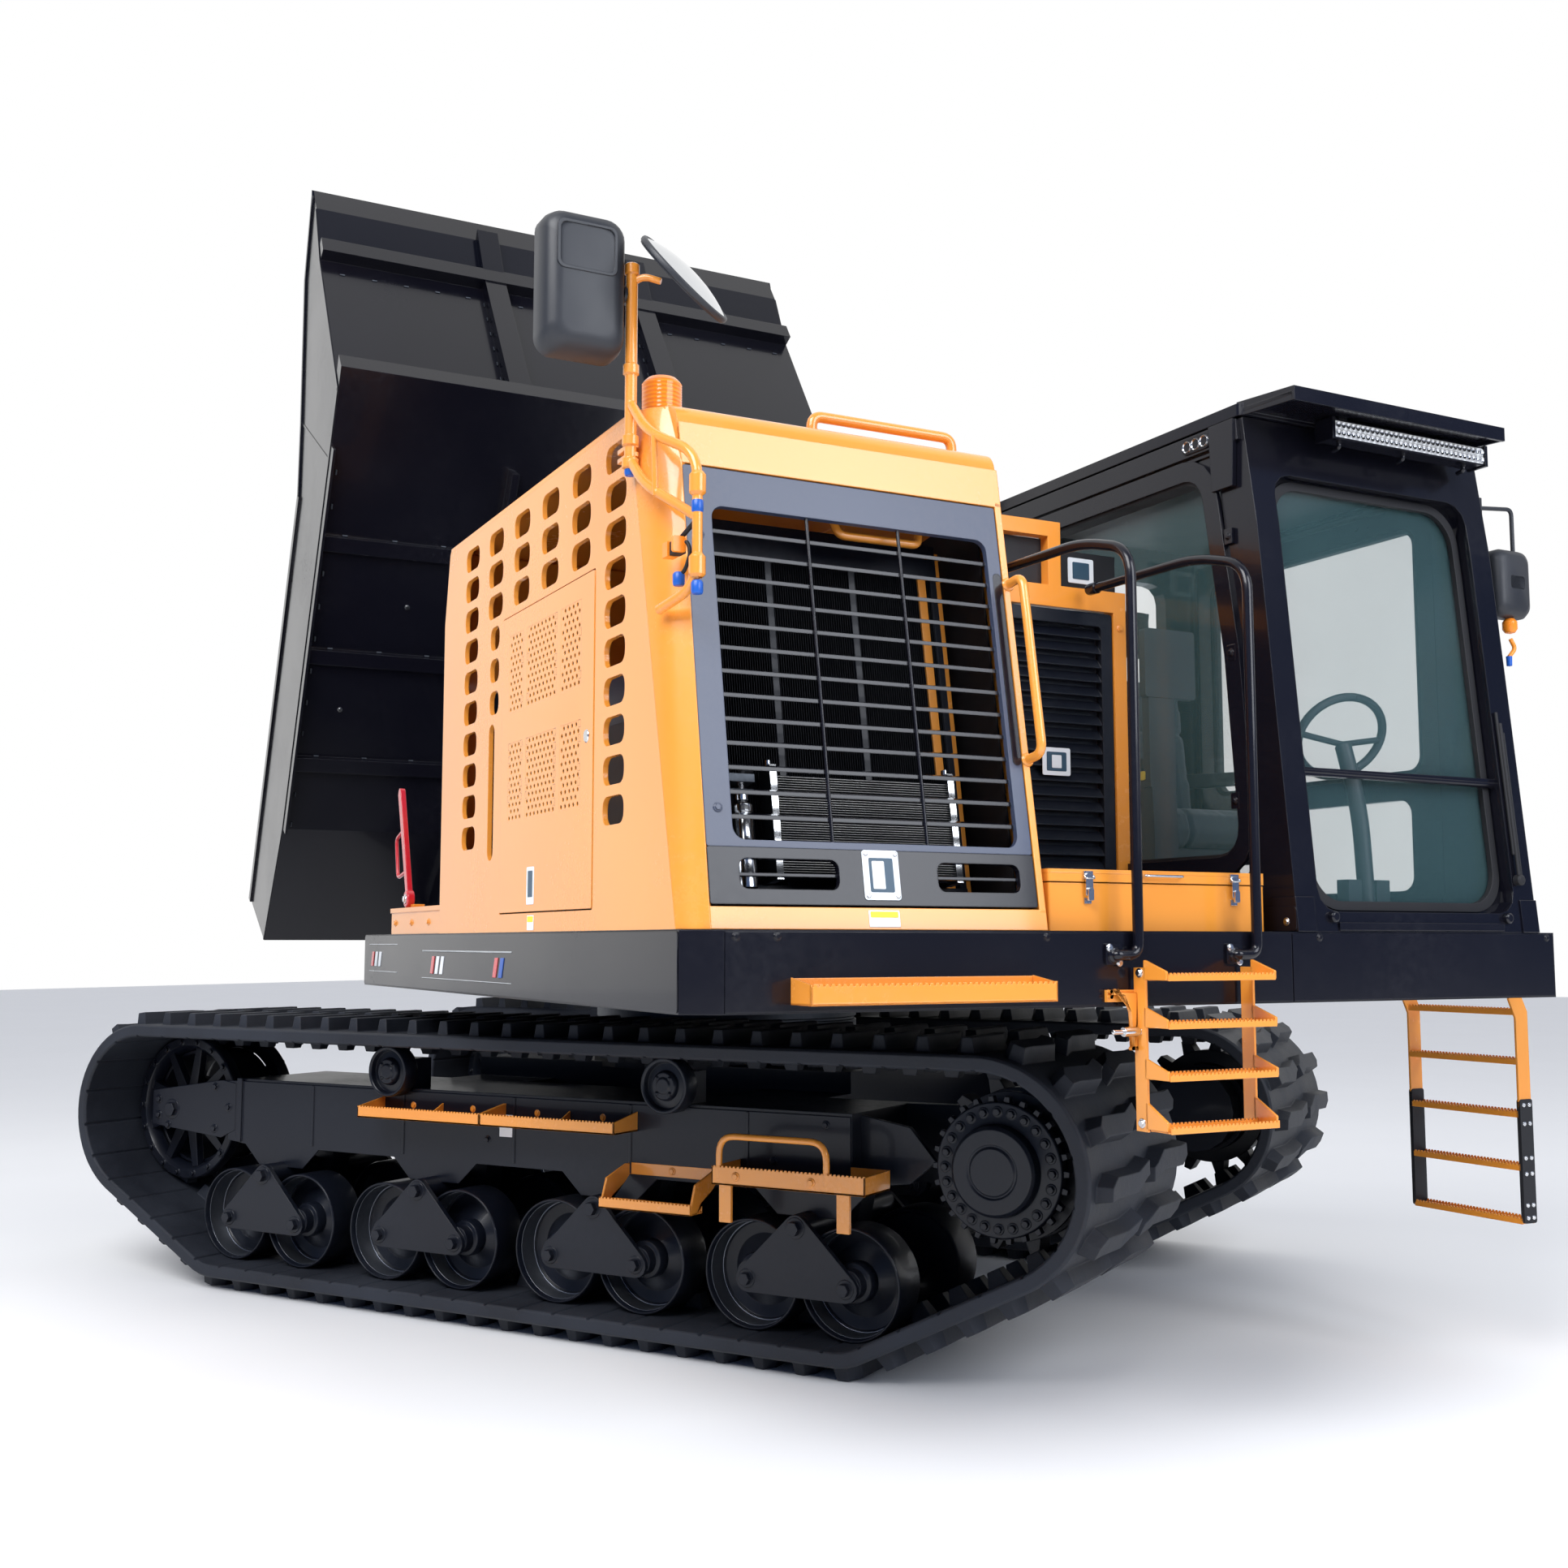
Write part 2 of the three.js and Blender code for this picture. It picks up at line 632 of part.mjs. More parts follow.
function engineHousing() {
  const opening = box([-housingWall - 60, 30], widened(grilleY), widened(grilleZ), onFront);
  const doorway = box(widened(doorX), [housingRight - 10, housingRight + housingWall + 10], widened(doorZ));
  const rearEdge = prism('y', [[housingRear - 10, 2480], [housingRear + 60, housingTop + 10],
    [housingRear - 10, housingTop + 10]], housingRight - 10, housingLeft + 10);
  const frontEdge = box([-62, 60], [housingRight - 10, housingLeft + 10], [1332, 1460], onFront);
  const shell = cut(housingBody(0), housingBody(housingWall), opening, doorway, rearEdge, frontEdge,
    ...housingSlots());
  const rearBox = box([114, housingRear + 5], [-1495, -1418], [deckTop + clearance, 1495]);
  const grab = tube([[-10, -458, 465], [75, -456, 465], [75, -456, 975], [-10, -458, 975]], 14,
    { bend: 50, place: onFront });
  return joined(shell, rearBox, grab);
}

function serviceDoor() {
  const y = [housingRight, housingRight + 24];
  return joined(
    box(doorX, y, doorZ),
    box([doorX[1] - 120, doorX[1] - 80], [y[0] - 10, y[0] + 5], [1900, 1990]),
  );
}

function grilleDoor() {
  const face = [-housingWall, 0];
  const openY = [-1355, -518];
  const openZ = [222, 1095];
  const frame = prism('x', roundedRectangle(grilleY, grilleZ, 12, 1), ...face, {
    hole: roundedRectangle(openY, openZ, 45), place: onFront,
  });
  const slot = (...y) => (
    prism('x', roundedRectangle(y, [108, 172], 20, 2), -50, 10, { place: onFront }));
  const barCount = 13;
  const bars = Array.from({ length: barCount }, (_, i) => {
    const z = openZ[0] + (openZ[1] - openZ[0]) * (i + 1) / (barCount + 1);
    return box([-36, -26], [openY[0] - 5, openY[1] + 5], [z - 5, z + 5], onFront);
  });
  const uprights = [-1076, -797].map((y) => (
    box([-22, -12], [y - 6, y + 6], [openZ[0] - 7, openZ[1] + 5], onFront)));
  return joined(cut(frame, slot(-1345, -1070), slot(-780, -525)), ...bars, ...uprights);
}

function radiator() {
  return joined(
    box([-330, -190], [-1380, -520], [120, 1150], onFront),
    box([-200, -120], [-1180, -620], [150, 520], onFront),
    box([-250, -130], [-600, -560], [60, 1180], onFront),
    drum('z', [2700, -1290], 55, 1500, 1800, 16),
    box([2560, 2700], [-1310, -1270], [1560, 1740]),
  );
}

function engineBlock() {
  return joined(
    box([1150, 2250], [-1190, -760], [deckTop + clearance, 2050]),
    box([1250, 2100], [-1130, -820], [2040, 2250]),
    drum('x', [-975, 1850], 230, 2240, 2330, 24),
    drum('z', [1500, -680], 110, deckTop + 40, 2150, 16),
    box([1400, 1600], [-780, -680], [1700, 1800]),
  );
}

function hoodRail() {
  const x = 2591;
  return tube([[x, -960, housingTop + clearance], [x, -960, housingTop + 70], [x, -500, housingTop + 70],
    [x, -500, housingTop + clearance]], 16, { bend: 55 });
}

// ---------- guard between the housing and the cab ----------

const guardX = [2200, 2250];
const guardY = [housingLeft + clearance, cabRight - clearance];
const guardTop = 2500;
const guardBar = 50;
const guardSill = deckTop + 40;
const guardHead = 2730;
const guardHeadEnd = 140; // the upper frame stops short of the cab

function guardFrame() {
  const post = (y, from, to) => box(guardX, [y, y + guardBar], [from, to]);
  return joined(
    post(guardY[0], deckTop + clearance, guardTop),
    post(guardY[1] - guardBar, deckTop + clearance, guardTop),
    post(guardY[0], guardTop, guardHead - 10),
    post(guardHeadEnd - guardBar, guardTop, guardHead - 10),
    box(guardX, guardY, [guardTop - guardBar, guardTop + 20]),
    box(guardX, guardY, [deckTop + clearance, guardSill]),
    box(guardX, [guardY[0], guardHeadEnd], [guardHead - guardBar, guardHead]),
  );
}

function guardDoor() {
  const y = [guardY[0] + guardBar + 4, guardY[1] - guardBar - 4];
  const z = [guardSill + 6, guardTop - guardBar - 6];
  const slats = Array.from({ length: 11 }, (_, i) => {
    const height = z[0] + (z[1] - z[0]) * (i + 1) / 12;
    return box([guardX[0] + 5, guardX[0] + 15], y, [height - 14, height + 14]);
  });
  return joined(
    prism('x', roundedRectangle(y, z, 6, 1), guardX[0] + 5, guardX[1] - 5, {
      hole: roundedRectangle([y[0] + 40, y[1] - 40], [z[0] + 40, z[1] - 40], 6, 1),
    }),
    ...slats,
  );
}

// ---------- mirrors and lamps ----------

const mast = [2640, -1519];

function mirrorMast() {
  const [x, y] = mast;
  const guardTube = [[x, y, 2760], [2760, y, 2650], [2930, y + 62, 2560], [2930, y + 62, 2230],
    [2790, y + 20, 2190]];
  return joined(
    tube([[x, y, 2600], [x, y, 3130]], 17),
    tube([[x, y, 3095], [x + 45, y + 65, 3085]], 10),
    tube(guardTube, 14, { bend: 60 }),
    tube([[x, y, 2610], [2740, y, 2520], [2930, y + 62, 2400]], 14, { bend: 60 }),
    box([x - 80, x + 10], [y - 5, housingRight - clearance], [2615, 2655]),
  );
}

function mirrorRight() {
  const [x, y] = mast;
  return joined(
    prism('x', roundedRectangle([y - 250, y - 25], [2866, 3236], 40, 3), x - 60, x + 50),
    box([x - 15, x + 15], [y - 40, y - 18], [3020, 3080]),
  );
}

function mirrorConvex() {
  const profile = [[0, 0], [150, 0], [146, 14], [80, 34], [0, 42]];
  const geometry = new THREE.LatheGeometry(profile.map(([r, z]) => new THREE.Vector2(r, z)), 20);
  const place = new THREE.Matrix4().makeTranslation(mast[0] + 75, mast[1] + 110, 3080)
    .multiply(new THREE.Matrix4().makeRotationZ(-50 * degrees))
    .multiply(new THREE.Matrix4().makeRotationX(40 * degrees));
  return solid(geometry, place);
}

function mirrorLeft() {
  const x = 2815;
  const arm = [[x, cabLeft + 8, 2800], [x, cabLeft + 180, 2815], [x, cabLeft + 180, 2660]];
  return joined(
    prism('x', roundedRectangle([cabLeft + 70, cabLeft + 230], [2440, 2670], 30, 2), x - 35, x + 35),
    tube(arm, 8, { bend: 25 }),
    box([x - 20, x + 20], [cabLeft + clearance, cabLeft + 16], [2770, 2830]),
  );
}

function beacon() {
  const profile = [[0, 0], [62, 0], [62, 18], [55, 24], [55, 105], [42, 122], [0, 127]];
  const geometry = new THREE.LatheGeometry(profile.map(([r, z]) => new THREE.Vector2(r, z)), 20);
  geometry.applyMatrix4(new THREE.Matrix4().makeRotationX(Math.PI / 2));
  return solid(geometry, new THREE.Matrix4().makeTranslation(2540, -1390, housingTop + clearance));
}

// ---------- deck fittings ----------

const boxX = [2560, 2931];
const boxY = [-426, 331];
const boxTop = 1563;
const lidDepth = 35;

function toolbox() {
  const wall = 4;
  return cut(
    box(boxX, boxY, [deckTop + clearance, boxTop - lidDepth - clearance]),
    box([boxX[0] + wall, boxX[1] - wall], [boxY[0] + wall, boxY[1] - wall], [deckTop + wall, boxTop]),
  );
}

function toolboxLid() {
  const x = boxX[1] - 16;
  const [low, high] = [boxTop - 2, boxTop + 22];
  const handle = [[x, -110, low], [x, -110, high], [x, 20, high], [x, 20, low]];
  return joined(
    box(boxX, boxY, [boxTop - lidDepth, boxTop]),
    tube(handle, 6, { bend: 12, sides: 6 }),
  );
}

function handrail(y) {
  const x = deckFront + 22;
  const [low, high] = [1332, 2505];
  const path = [[deckFront + clearance, y - 70, low], [x, y - 70, low], [x, y, low],
    [x, y, high - 60], [2800, y, high], [2300, y - 8, high]];
  return joined(
    tube(path, 15, { bend: 70 }),
    box([deckFront + clearance, deckFront + 14], [y - 100, y - 45], [1308, 1362]),
  );
}

function stepBar() {
  const x = [deckFront + clearance, deckFront + 105];
  const y = [-1234, -523];
  return cut(
    box(x, y, [1215, 1275]),
    box([x[0] + 10, x[1] - 10], [y[0] + 8, y[1] - 8], [1228, 1285]),
  );
}

function frontLadder() {
  const y = [-207, 175];
  const x = [deckFront + clearance, deckFront + 150];
  const sides = [y[0], y[1] - 10].map((y0) => box([x[0] + 14, x[0] + 60], [y0, y0 + 10], [870, 1299]));
  const rungs = [880, 1015, 1150, 1270].map((z) => box([x[0] + 14, x[0] + 140], y, [z - 8, z + 8]));
  const rungEnds = [880, 1015, 1150].flatMap((z) => [y[0], y[1] - 6].map((y0) => (
    box([x[0] + 50, x[0] + 140], [y0, y0 + 6], [z - 8, z + 32]))));
  return joined(...sides, ...rungs, ...rungEnds,
    box([x[0], x[0] + 20], [y[0] - 90, y[1]], [1205, 1240]),
    box([x[0] + 14, x[0] + 30], [y[0] - 90, y[0] - 40], [1060, 1240]),
    box([x[0] + 14, x[0] + 30], [y[0] - 90, y[0] + 5], [1060, 1090]));
}

const sideLadderX = [2340, 2790];

function sideLadder() {
  const y = [deckLeft + clearance, deckLeft + 60];
  const plate = (x) => box([x, x + 12], [y[0] + 28, y[1]], [447, 1190]);
  const foot = (x) => box([x, x + 12], y, [1150, 1290]);
  const rungs = [470, 640, 810, 980, 1140].map((z) => (
    box(sideLadderX, [y[0] + 28, y[1] + 25], [z - 8, z + 8])));
  return joined(plate(sideLadderX[0]), plate(sideLadderX[1] - 12),
    foot(sideLadderX[0]), foot(sideLadderX[1] - 12), ...rungs);
}

function safetyLever() {
  const y = [-1484, -1462];
  const foot = [300, 1530];
  const tip = [150, 1950];
  const half = 18;
  return joined(
    prism('y', [[foot[0] - half, foot[1]], [foot[0] + half, foot[1]], [tip[0] + half, tip[1]],
      [tip[0] - half, tip[1]]], ...y),
    drum('y', foot, 32, ...y, 16),
    tube([[255, -1473, 1640], [120, -1473, 1620], [80, -1473, 1780], [200, -1473, 1800]], 7, { bend: 25 }),
  );
}

// ---------- cab ----------

// how far forward the cab's front reaches at a height
function cabFrontAt(z) {
  const i = Math.max(1, cabFrontLine.findIndex(([, height]) => height >= z));
  const [x0, z0] = cabFrontLine[i - 1];
  const [x1, z1] = cabFrontLine[i];
  return x0 + (x1 - x0) * (z - z0) / (z1 - z0);
}

function cabProfile(inset) {
  const low = deckTop + clearance + (inset ? cabFloor : 0);
  const high = cabTop - inset;
  const heights = [low, cabFrontLine[1][1], cabFrontLine[2][1], high];
  return [[cabRear + inset, low], ...heights.map((z) => [cabFrontAt(z) - inset, z]), [cabRear + inset, high]];
}

const frontGlassY = [cabRight + 90, cabLeft - 90];
const frontGlassZ = [1455, 2790];
const sideGlassZ = [1560, 2870];
const sideGlassRear = 1500;
const cabPillar = 130;

// the side window's outline: its front edge keeps a pillar's width behind the leaning front
function sideWindow(grow) {
  const frontAt = (z) => cabFrontAt(z) - cabPillar + grow;
  const low = sideGlassZ[0] - grow;
  const high = sideGlassZ[1] + grow;
  const rear = sideGlassRear - grow;
  return [[rear + 90, low], [frontAt(low) - 60, low], [frontAt(low + 60), low + 60], [frontAt(2230), 2230],
    [frontAt(high - 90), high - 90], [frontAt(high) - 90, high], [rear, high], [rear, low + 90]];
}

const doorSill = 1470;
const cabDoorX = [1480, 2690];

function cabFrame() {
  const shell = cut(
    prism('y', cabProfile(0), cabRight, cabLeft),
    prism('y', cabProfile(cabWall), cabRight + cabWall, cabLeft - cabWall),
  );
  const frontHole = prism('x', roundedRectangle(frontGlassY, frontGlassZ, 70), 2700, 3050);
  const rearHole = prism('x', roundedRectangle([cabRight + 120, cabLeft - 120], [1900, 2800], 70),
    cabRear - 50, cabRear + cabWall + 20);
  const rightHole = prism('y', sideWindow(0), cabRight - 10, cabRight + cabWall + 10);
  const doorHole = prism('y', roundedRectangle(cabDoorX, [doorSill, 2880], 60, 2), cabLeft - cabWall - 10,
    cabLeft + 10);
  const barHeight = 1870;
  const barX = cabFrontAt(barHeight) - 45;
  const bar = box([barX, barX + 25], [cabRight + 30, cabLeft - 30], [barHeight - 12, barHeight + 12]);
  return joined(cut(shell, frontHole, rearHole, rightHole, doorHole), bar);
}

function windshield() {
  const heights = [frontGlassZ[0] - 12, cabFrontLine[1][1], cabFrontLine[2][1], frontGlassZ[1] + 12];
  const face = heights.map((z) => [cabFrontAt(z) - cabWall - clearance - 0.5, z]);
  return prism('y', [...face, ...face.map(([x, z]) => [x - glassThickness, z]).reverse()],
    frontGlassY[0] - 15, frontGlassY[1] + 15);
}

const rightGlass = () => prism('y', sideWindow(12), cabRight + cabWall + clearance,
  cabRight + cabWall + clearance + glassThickness);

function cabDoor() {
  const outline = roundedRectangle([cabDoorX[0] + 4, cabDoorX[1] - 4], [doorSill + 4, 2876], 58, 2);
  const pane = roundedRectangle([cabDoorX[0] + 90, cabDoorX[1] - 90], [1930, 2790], 60, 2);
  return cut(
    prism('y', outline, cabLeft - 40, cabLeft),
    prism('y', pane, cabLeft - 28, cabLeft + 10),
  );
}

function cabRoof() {
  const low = cabTop + clearance;
  const visor = [[2800, low], [3028, 2966], [3028, 2946], [3040, 2946], [3040, 2990], [2800, roofTop]];
  return joined(
    box([cabRear - 20, 2840], [cabRight - 15, cabLeft + 15], [low, roofTop]),
    prism('y', visor, cabRight, cabLeft - 115),
    box([2880, 2935], [640, 1330], [2900, 2955]),
    box([2895, 2920], [700, 740], [2950, 2985]), box([2895, 2920], [1230, 1270], [2950, 2985]),
  );
}

function wiper() {
  return joined(
    tube([1560, 2100].map((z) => [cabFrontAt(z) + 14, 1335, z]), 9, { sides: 6 }),
    box([cabFrontAt(1540) + clearance, cabFrontAt(1540) + 26], [1322, 1348], [1540, 1580]),
  );
}

function seat() {
  const x = 1900;
  const centre = 900;
  const floor = deckTop + cabFloor + 2 * clearance;
  const back = [[x - 250, 1760], [x - 130, 1800], [x - 230, 2380], [x - 340, 2360]];
  const headRest = [[x - 330, 2430], [x - 240, 2440], [x - 265, 2640], [x - 350, 2630]];
  return joined(
    box([x - 180, x + 180], [centre - 160, centre + 160], [floor, 1700]),
    prism('y', roundedRectangle([x - 250, x + 270], [1690, 1830], 50, 2), centre - 250, centre + 250),
    prism('y', back, centre - 240, centre + 240),
    prism('y', headRest, centre - 140, centre + 140),
    box([x - 300, x - 270], [centre - 70, centre - 50], [2340, 2460]),
    box([x - 300, x - 270], [centre + 50, centre + 70], [2340, 2460]),
  );
}

function controlConsole() {
  const floor = deckTop + cabFloor + 2 * clearance;
  const side = cabRight + cabWall + glassThickness + 10; // clear of the right-hand window
  const middle = side + 75;
  return joined(
    box([1850, 2250], [side + 20, side + 130], [floor, 1960]),
    box([1980, 2120], [side + 30, side + 120], [1950, 2010]),
    tube([[2050, middle, 2000], [2075, middle, 2130]], 16, { bend: 5 }),
    box([2200, 2250], [side + 10, side + 140], [1900, 2260]),
    box([2210, 2240], [side, side + 220], [2180, 2420]),
  );
}

// ---------- dump bed ----------

const frontSlope = [506, 906]; // the front wall's reach and height
const frontCorner = [bedLength + frontSlope[0], frontSlope[1]];
const frontTop = [bedLength + 819, 1351];
const frontBend = [frontTop[0] - 79, frontTop[1] - 148];
const tail = [[-770, 141], [-790, bedSide + 5]];

const bedPoint = ([s, n]) => [s - bedHinge[0], n - bedHinge[1]];

function bed() {
  const side = [tail[0], [0, 0], [bedLength, 0], frontCorner, frontBend, frontTop,
    [bedLength + 347, 1262], [bedLength - 372, 869], [bedLength - 735, bedSide], tail[1]].map(bedPoint);
  const setback = bedWall * Math.hypot(...frontSlope) / frontSlope[1];
  const floorInside = [[tail[0][0] - 40, tail[0][1] + 8 + bedWall], [0, bedWall],
    [bedLength - setback + 11, bedWall], [frontCorner[0] - setback, frontCorner[1]],
    [frontBend[0] - setback - 4, frontBend[1]], [frontTop[0] - setback + 300, frontTop[1] + 480],
    [tail[1][0] - 300, 2200]].map(bedPoint);
  const shell = cut(
    prism('y', side, -bedHalfWidth, bedHalfWidth),
    prism('y', floorInside, bedWall - bedHalfWidth, bedHalfWidth - bedWall),
  );
  const beam = (s, n, y) => (
    box([s[0] - bedHinge[0], s[1] - bedHinge[0]], y, [n[0] - bedHinge[1], n[1] - bedHinge[1]]));
  const frontRib = (y) => prism('y', [[bedLength, 0], [bedLength + 90, 0], [frontCorner[0] + 70, 900],
    [frontTop[0] - 20, frontBend[1] + 2], frontBend, frontCorner].map(bedPoint), y - 60, y + 60);
  const lowRail = prism('y', [[bedLength, 0], [bedLength + 110, 0], [bedLength + 150, 95],
    [bedLength + 53, 95]].map(bedPoint), -bedHalfWidth, bedHalfWidth);
  const midRail = prism('y', [frontCorner, [frontCorner[0] + 60, frontCorner[1] - 40],
    [frontCorner[0] + 110, frontCorner[1] + 50], [frontCorner[0] + 53, frontCorner[1] + 80]].map(bedPoint),
  -bedHalfWidth, bedHalfWidth);
  const beamEnd = bedLength - 295;
  const beamReach = bedHalfWidth - 10;
  const longBeams = [-railHalfSpacing, railHalfSpacing].map((y) => (
    beam([-600, beamEnd], [-85, 5], [y - 20, y + 20])));
  const crossBeams = [400, 1020, 1640].map((s) => (
    beam([s - 40, s + 40], [-crossBeamDepth, 5], [-beamReach, beamReach])));
  const edgeFlanges = [-1, 1].map((end) => (
    beam([0, beamEnd], [-70, 5], outwardFrom(end, bedHalfWidth - 12, bedHalfWidth))));
  const knuckle = [-railHalfSpacing, railHalfSpacing].map((y) => joined(
    drum('y', [0, 0], 45, y - 24, y + 24, 12),
    beam([-700, -560], [-40, 60], [y - 20, y + 20]),
    drum('y', [0, 0], pinRadius, y - lugSpacing - 20, y + lugSpacing + 20, 8),
  ));
  const clevis = [-hoistY, hoistY].flatMap((y) => [y - 62, y + 50].map((y0) => (
    beam([hoistHead[0] - 200, hoistHead[0] + 70], [hoistHead[1] - 45, 5], [y0, y0 + 12]))));
  const rim = [-1, 1].map((end) => (
    beam([tail[1][0] + 5, bedLength - 735], [bedSide - 50, bedSide],
      outwardFrom(end, bedHalfWidth - 5, bedHalfWidth + 12))));
  return joined(shell, frontRib(-railHalfSpacing), frontRib(railHalfSpacing), lowRail, midRail,
    ...longBeams, ...crossBeams, ...edgeFlanges, ...knuckle, ...clevis, ...rim);
}

// ---------- hoist ----------

const turned = ([a, b], angle) => [
  a * Math.cos(angle) - b * Math.sin(angle), a * Math.sin(angle) + b * Math.cos(angle)];
const headAt = (tip) => {
  const [x, z] = turned(bedPoint(hoistHead), tip);
  return [hinge[0] + x, hinge[1] + z];
};
const hoistLength = (tip) => Math.hypot(headAt(tip)[0] - hoistBase[0], headAt(tip)[1] - hoistBase[1]);
const hoistTipped = hoistLength(tipAngle);
const hoistShut = hoistLength(0);
const barrelLength = hoistShut - 140;

function hoistBarrel() {
  return joined(
    cut(
      drum('x', [0, 0], barrelRadius, 40, barrelLength, 12),
      drum('x', [0, 0], rodRadius + 3, 90, barrelLength + 10, 12),
    ),
    drum('y', [0, 0], 50, -60, 60, 12),
    drum('y', [0, 0], hoistPinRadius, -86, 86, 8),
  );
}

function hoistRod() {
  const innerEnd = hoistTipped - (hoistShut - 110);
  return joined(
    drum('x', [0, 0], rodRadius, innerEnd, hoistTipped - 20, 12),
    drum('y', [hoistTipped, 0], 42, -44, 44, 12),
  );
}

// ---------- assembly ----------

const machine = new THREE.Group();
machine.position.z = -groundClearance;
const upper = new THREE.Group();
upper.rotation.z = slewAngle;
const tipper = new THREE.Group();
tipper.position.set(hinge[0], 0, hinge[1]);
tipper.rotation.y = -tipAngle;
machine.add(upper);
upper.add(tipper);

machine.add(
  part('chassis', chassis(), blackPaint),
  part('slew_ring', slewRing(), steel),
  part('step_tray', stepTray(), yellowPaint),
  part('c_step', cStep(), yellowPaint),
  part('railed_step', railedStep(), yellowPaint),
);
for (const [name, side] of [['right', -1], ['left', 1]]) {
  machine.add(
    part(`rubber_track_${name}`, rubberTrack(side * trackCentre), rubber),
    part(`track_frame_${name}`, trackFrame(side), blackPaint),
    part(`idler_${name}`, idler(side), blackPaint),
    part(`sprocket_${name}`, sprocket(side), blackPaint),
  );
  bogieX.forEach((x, i) => machine.add(part(`bogie_${name}_${i + 1}`, bogie(side, x), blackPaint)));
  carrierX.forEach((x, i) => (
    machine.add(part(`carrier_roller_${name}_${i + 1}`, carrier(side, x), blackPaint))));
}

upper.add(
  part('deck', deck(), blackPaint),
  part('engine_housing', engineHousing(), yellowPaint),
  part('service_door', serviceDoor(), yellowPaint),
  part('grille_door', grilleDoor(), greyPaint),
  part('radiator', radiator(), blackPaint),
  part('engine_block', engineBlock(), greyPaint),
  part('hood_rail', hoodRail(), yellowPaint),
  part('guard_frame', guardFrame(), yellowPaint),
  part('guard_door', guardDoor(), blackPaint),
  part('mirror_mast', mirrorMast(), yellowPaint),
  part('mirror_right', mirrorRight(), plastic),
  part('mirror_convex', mirrorConvex(), mirrorFace),
  part('mirror_left', mirrorLeft(), plastic),
  part('beacon', beacon(), amber),
  part('toolbox', toolbox(), yellowPaint),
  part('toolbox_lid', toolboxLid(), yellowPaint),
  part('handrail_right', handrail(-195), blackPaint),
  part('handrail_left', handrail(224), blackPaint),
  part('step_bar', stepBar(), yellowPaint),
  part('front_ladder', frontLadder(), yellowPaint),
  part('side_ladder', sideLadder(), yellowPaint),
  part('safety_lever', safetyLever(), redPaint),
  part('cab_frame', cabFrame(), blackPaint),
  part('windshield', windshield(), glass),
  part('cab_glass_right', rightGlass(), glass),
  part('cab_door', cabDoor(), blackPaint),
  part('cab_roof', cabRoof(), blackPaint),
  part('wiper', wiper(), blackPaint),
  part('seat', seat(), fabric),
  part('control_console', controlConsole(), plastic),
);
tipper.add(part('bed', bed(), blackPaint));

const hoistAngle = Math.atan2(hoistBase[1] - headAt(tipAngle)[1], headAt(tipAngle)[0] - hoistBase[0]);
for (const [name, y] of [['right', -hoistY], ['left', hoistY]]) {
  const hoist = new THREE.Group();
  hoist.position.set(hoistBase[0], y, hoistBase[1]);
  hoist.rotation.y = hoistAngle;
  hoist.add(
    part(`hoist_barrel_${name}`, hoistBarrel(), blackPaint),
    part(`hoist_rod_${name}`, hoistRod(), steel),
  );
  upper.add(hoist);
}

export default machine;
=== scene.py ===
# %% [markdown]
# # A crawler dump carrier with a slewing upper structure
# The machine stands on two rubber tracks. Its upper structure turns on a slew ring and carries the engine
# housing, the cab and a tipping dump bed. The CAD model fixes every place and every joint. This lesson
# builds what the eye sees around it: turned wheels, bent tubes, pressed plates, paint, rubber and glass.

# %% Load the frame
import json
import math
from math import cos, pi, radians, sin

import bmesh
import bpy
from mathutils import Matrix, Vector
from mathutils.geometry import tessellate_polygon


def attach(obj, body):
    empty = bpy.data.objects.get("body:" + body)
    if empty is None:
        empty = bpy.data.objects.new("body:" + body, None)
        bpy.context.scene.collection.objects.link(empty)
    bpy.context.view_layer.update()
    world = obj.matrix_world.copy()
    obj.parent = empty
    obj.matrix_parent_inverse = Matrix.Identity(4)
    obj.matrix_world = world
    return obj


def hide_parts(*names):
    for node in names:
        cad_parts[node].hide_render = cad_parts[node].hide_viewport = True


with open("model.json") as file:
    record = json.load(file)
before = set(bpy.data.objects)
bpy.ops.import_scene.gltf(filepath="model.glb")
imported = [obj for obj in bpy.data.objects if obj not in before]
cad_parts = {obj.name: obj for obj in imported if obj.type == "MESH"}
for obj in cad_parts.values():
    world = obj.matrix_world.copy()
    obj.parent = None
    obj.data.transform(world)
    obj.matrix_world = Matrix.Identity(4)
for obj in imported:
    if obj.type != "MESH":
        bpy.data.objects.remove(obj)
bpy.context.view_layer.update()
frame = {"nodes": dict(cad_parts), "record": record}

nodes = frame["nodes"]

# %% [markdown]
# ## Three drawing boards
# A maker draws each assembly straight on its own board and turns the board at the end. The undercarriage
# is drawn in millimetres above the ground. The upper structure has its own board, turned about the slew
# axis. The front of the engine housing leans, so it gets a board whose z runs up the slope, and the dump
# bed gets one that runs along its floor. A board is a matrix that also turns millimetres into metres.

# %% The boards
SLEW, TIP = radians(-32.9), radians(61.5)
LEAN = math.atan2(221, 1359)
MILLIMETRES = Matrix.Scale(0.001, 4)
GROUND = Matrix.Translation((0, 0, -0.45)) @ MILLIMETRES
UPPER = Matrix.Translation((0, 0, -0.45)) @ Matrix.Rotation(SLEW, 4, "Z") @ MILLIMETRES
FRONT = UPPER @ Matrix.Translation((2961, 0, 1396)) @ Matrix.Rotation(-LEAN, 4, "Y")
BED = (UPPER @ Matrix.Translation((-3100, 0, 1420)) @ Matrix.Rotation(-TIP, 4, "Y")
       @ Matrix.Translation((654, 0, -11)))
print("the upper structure is slewed by", round(math.degrees(SLEW), 1), "degrees")

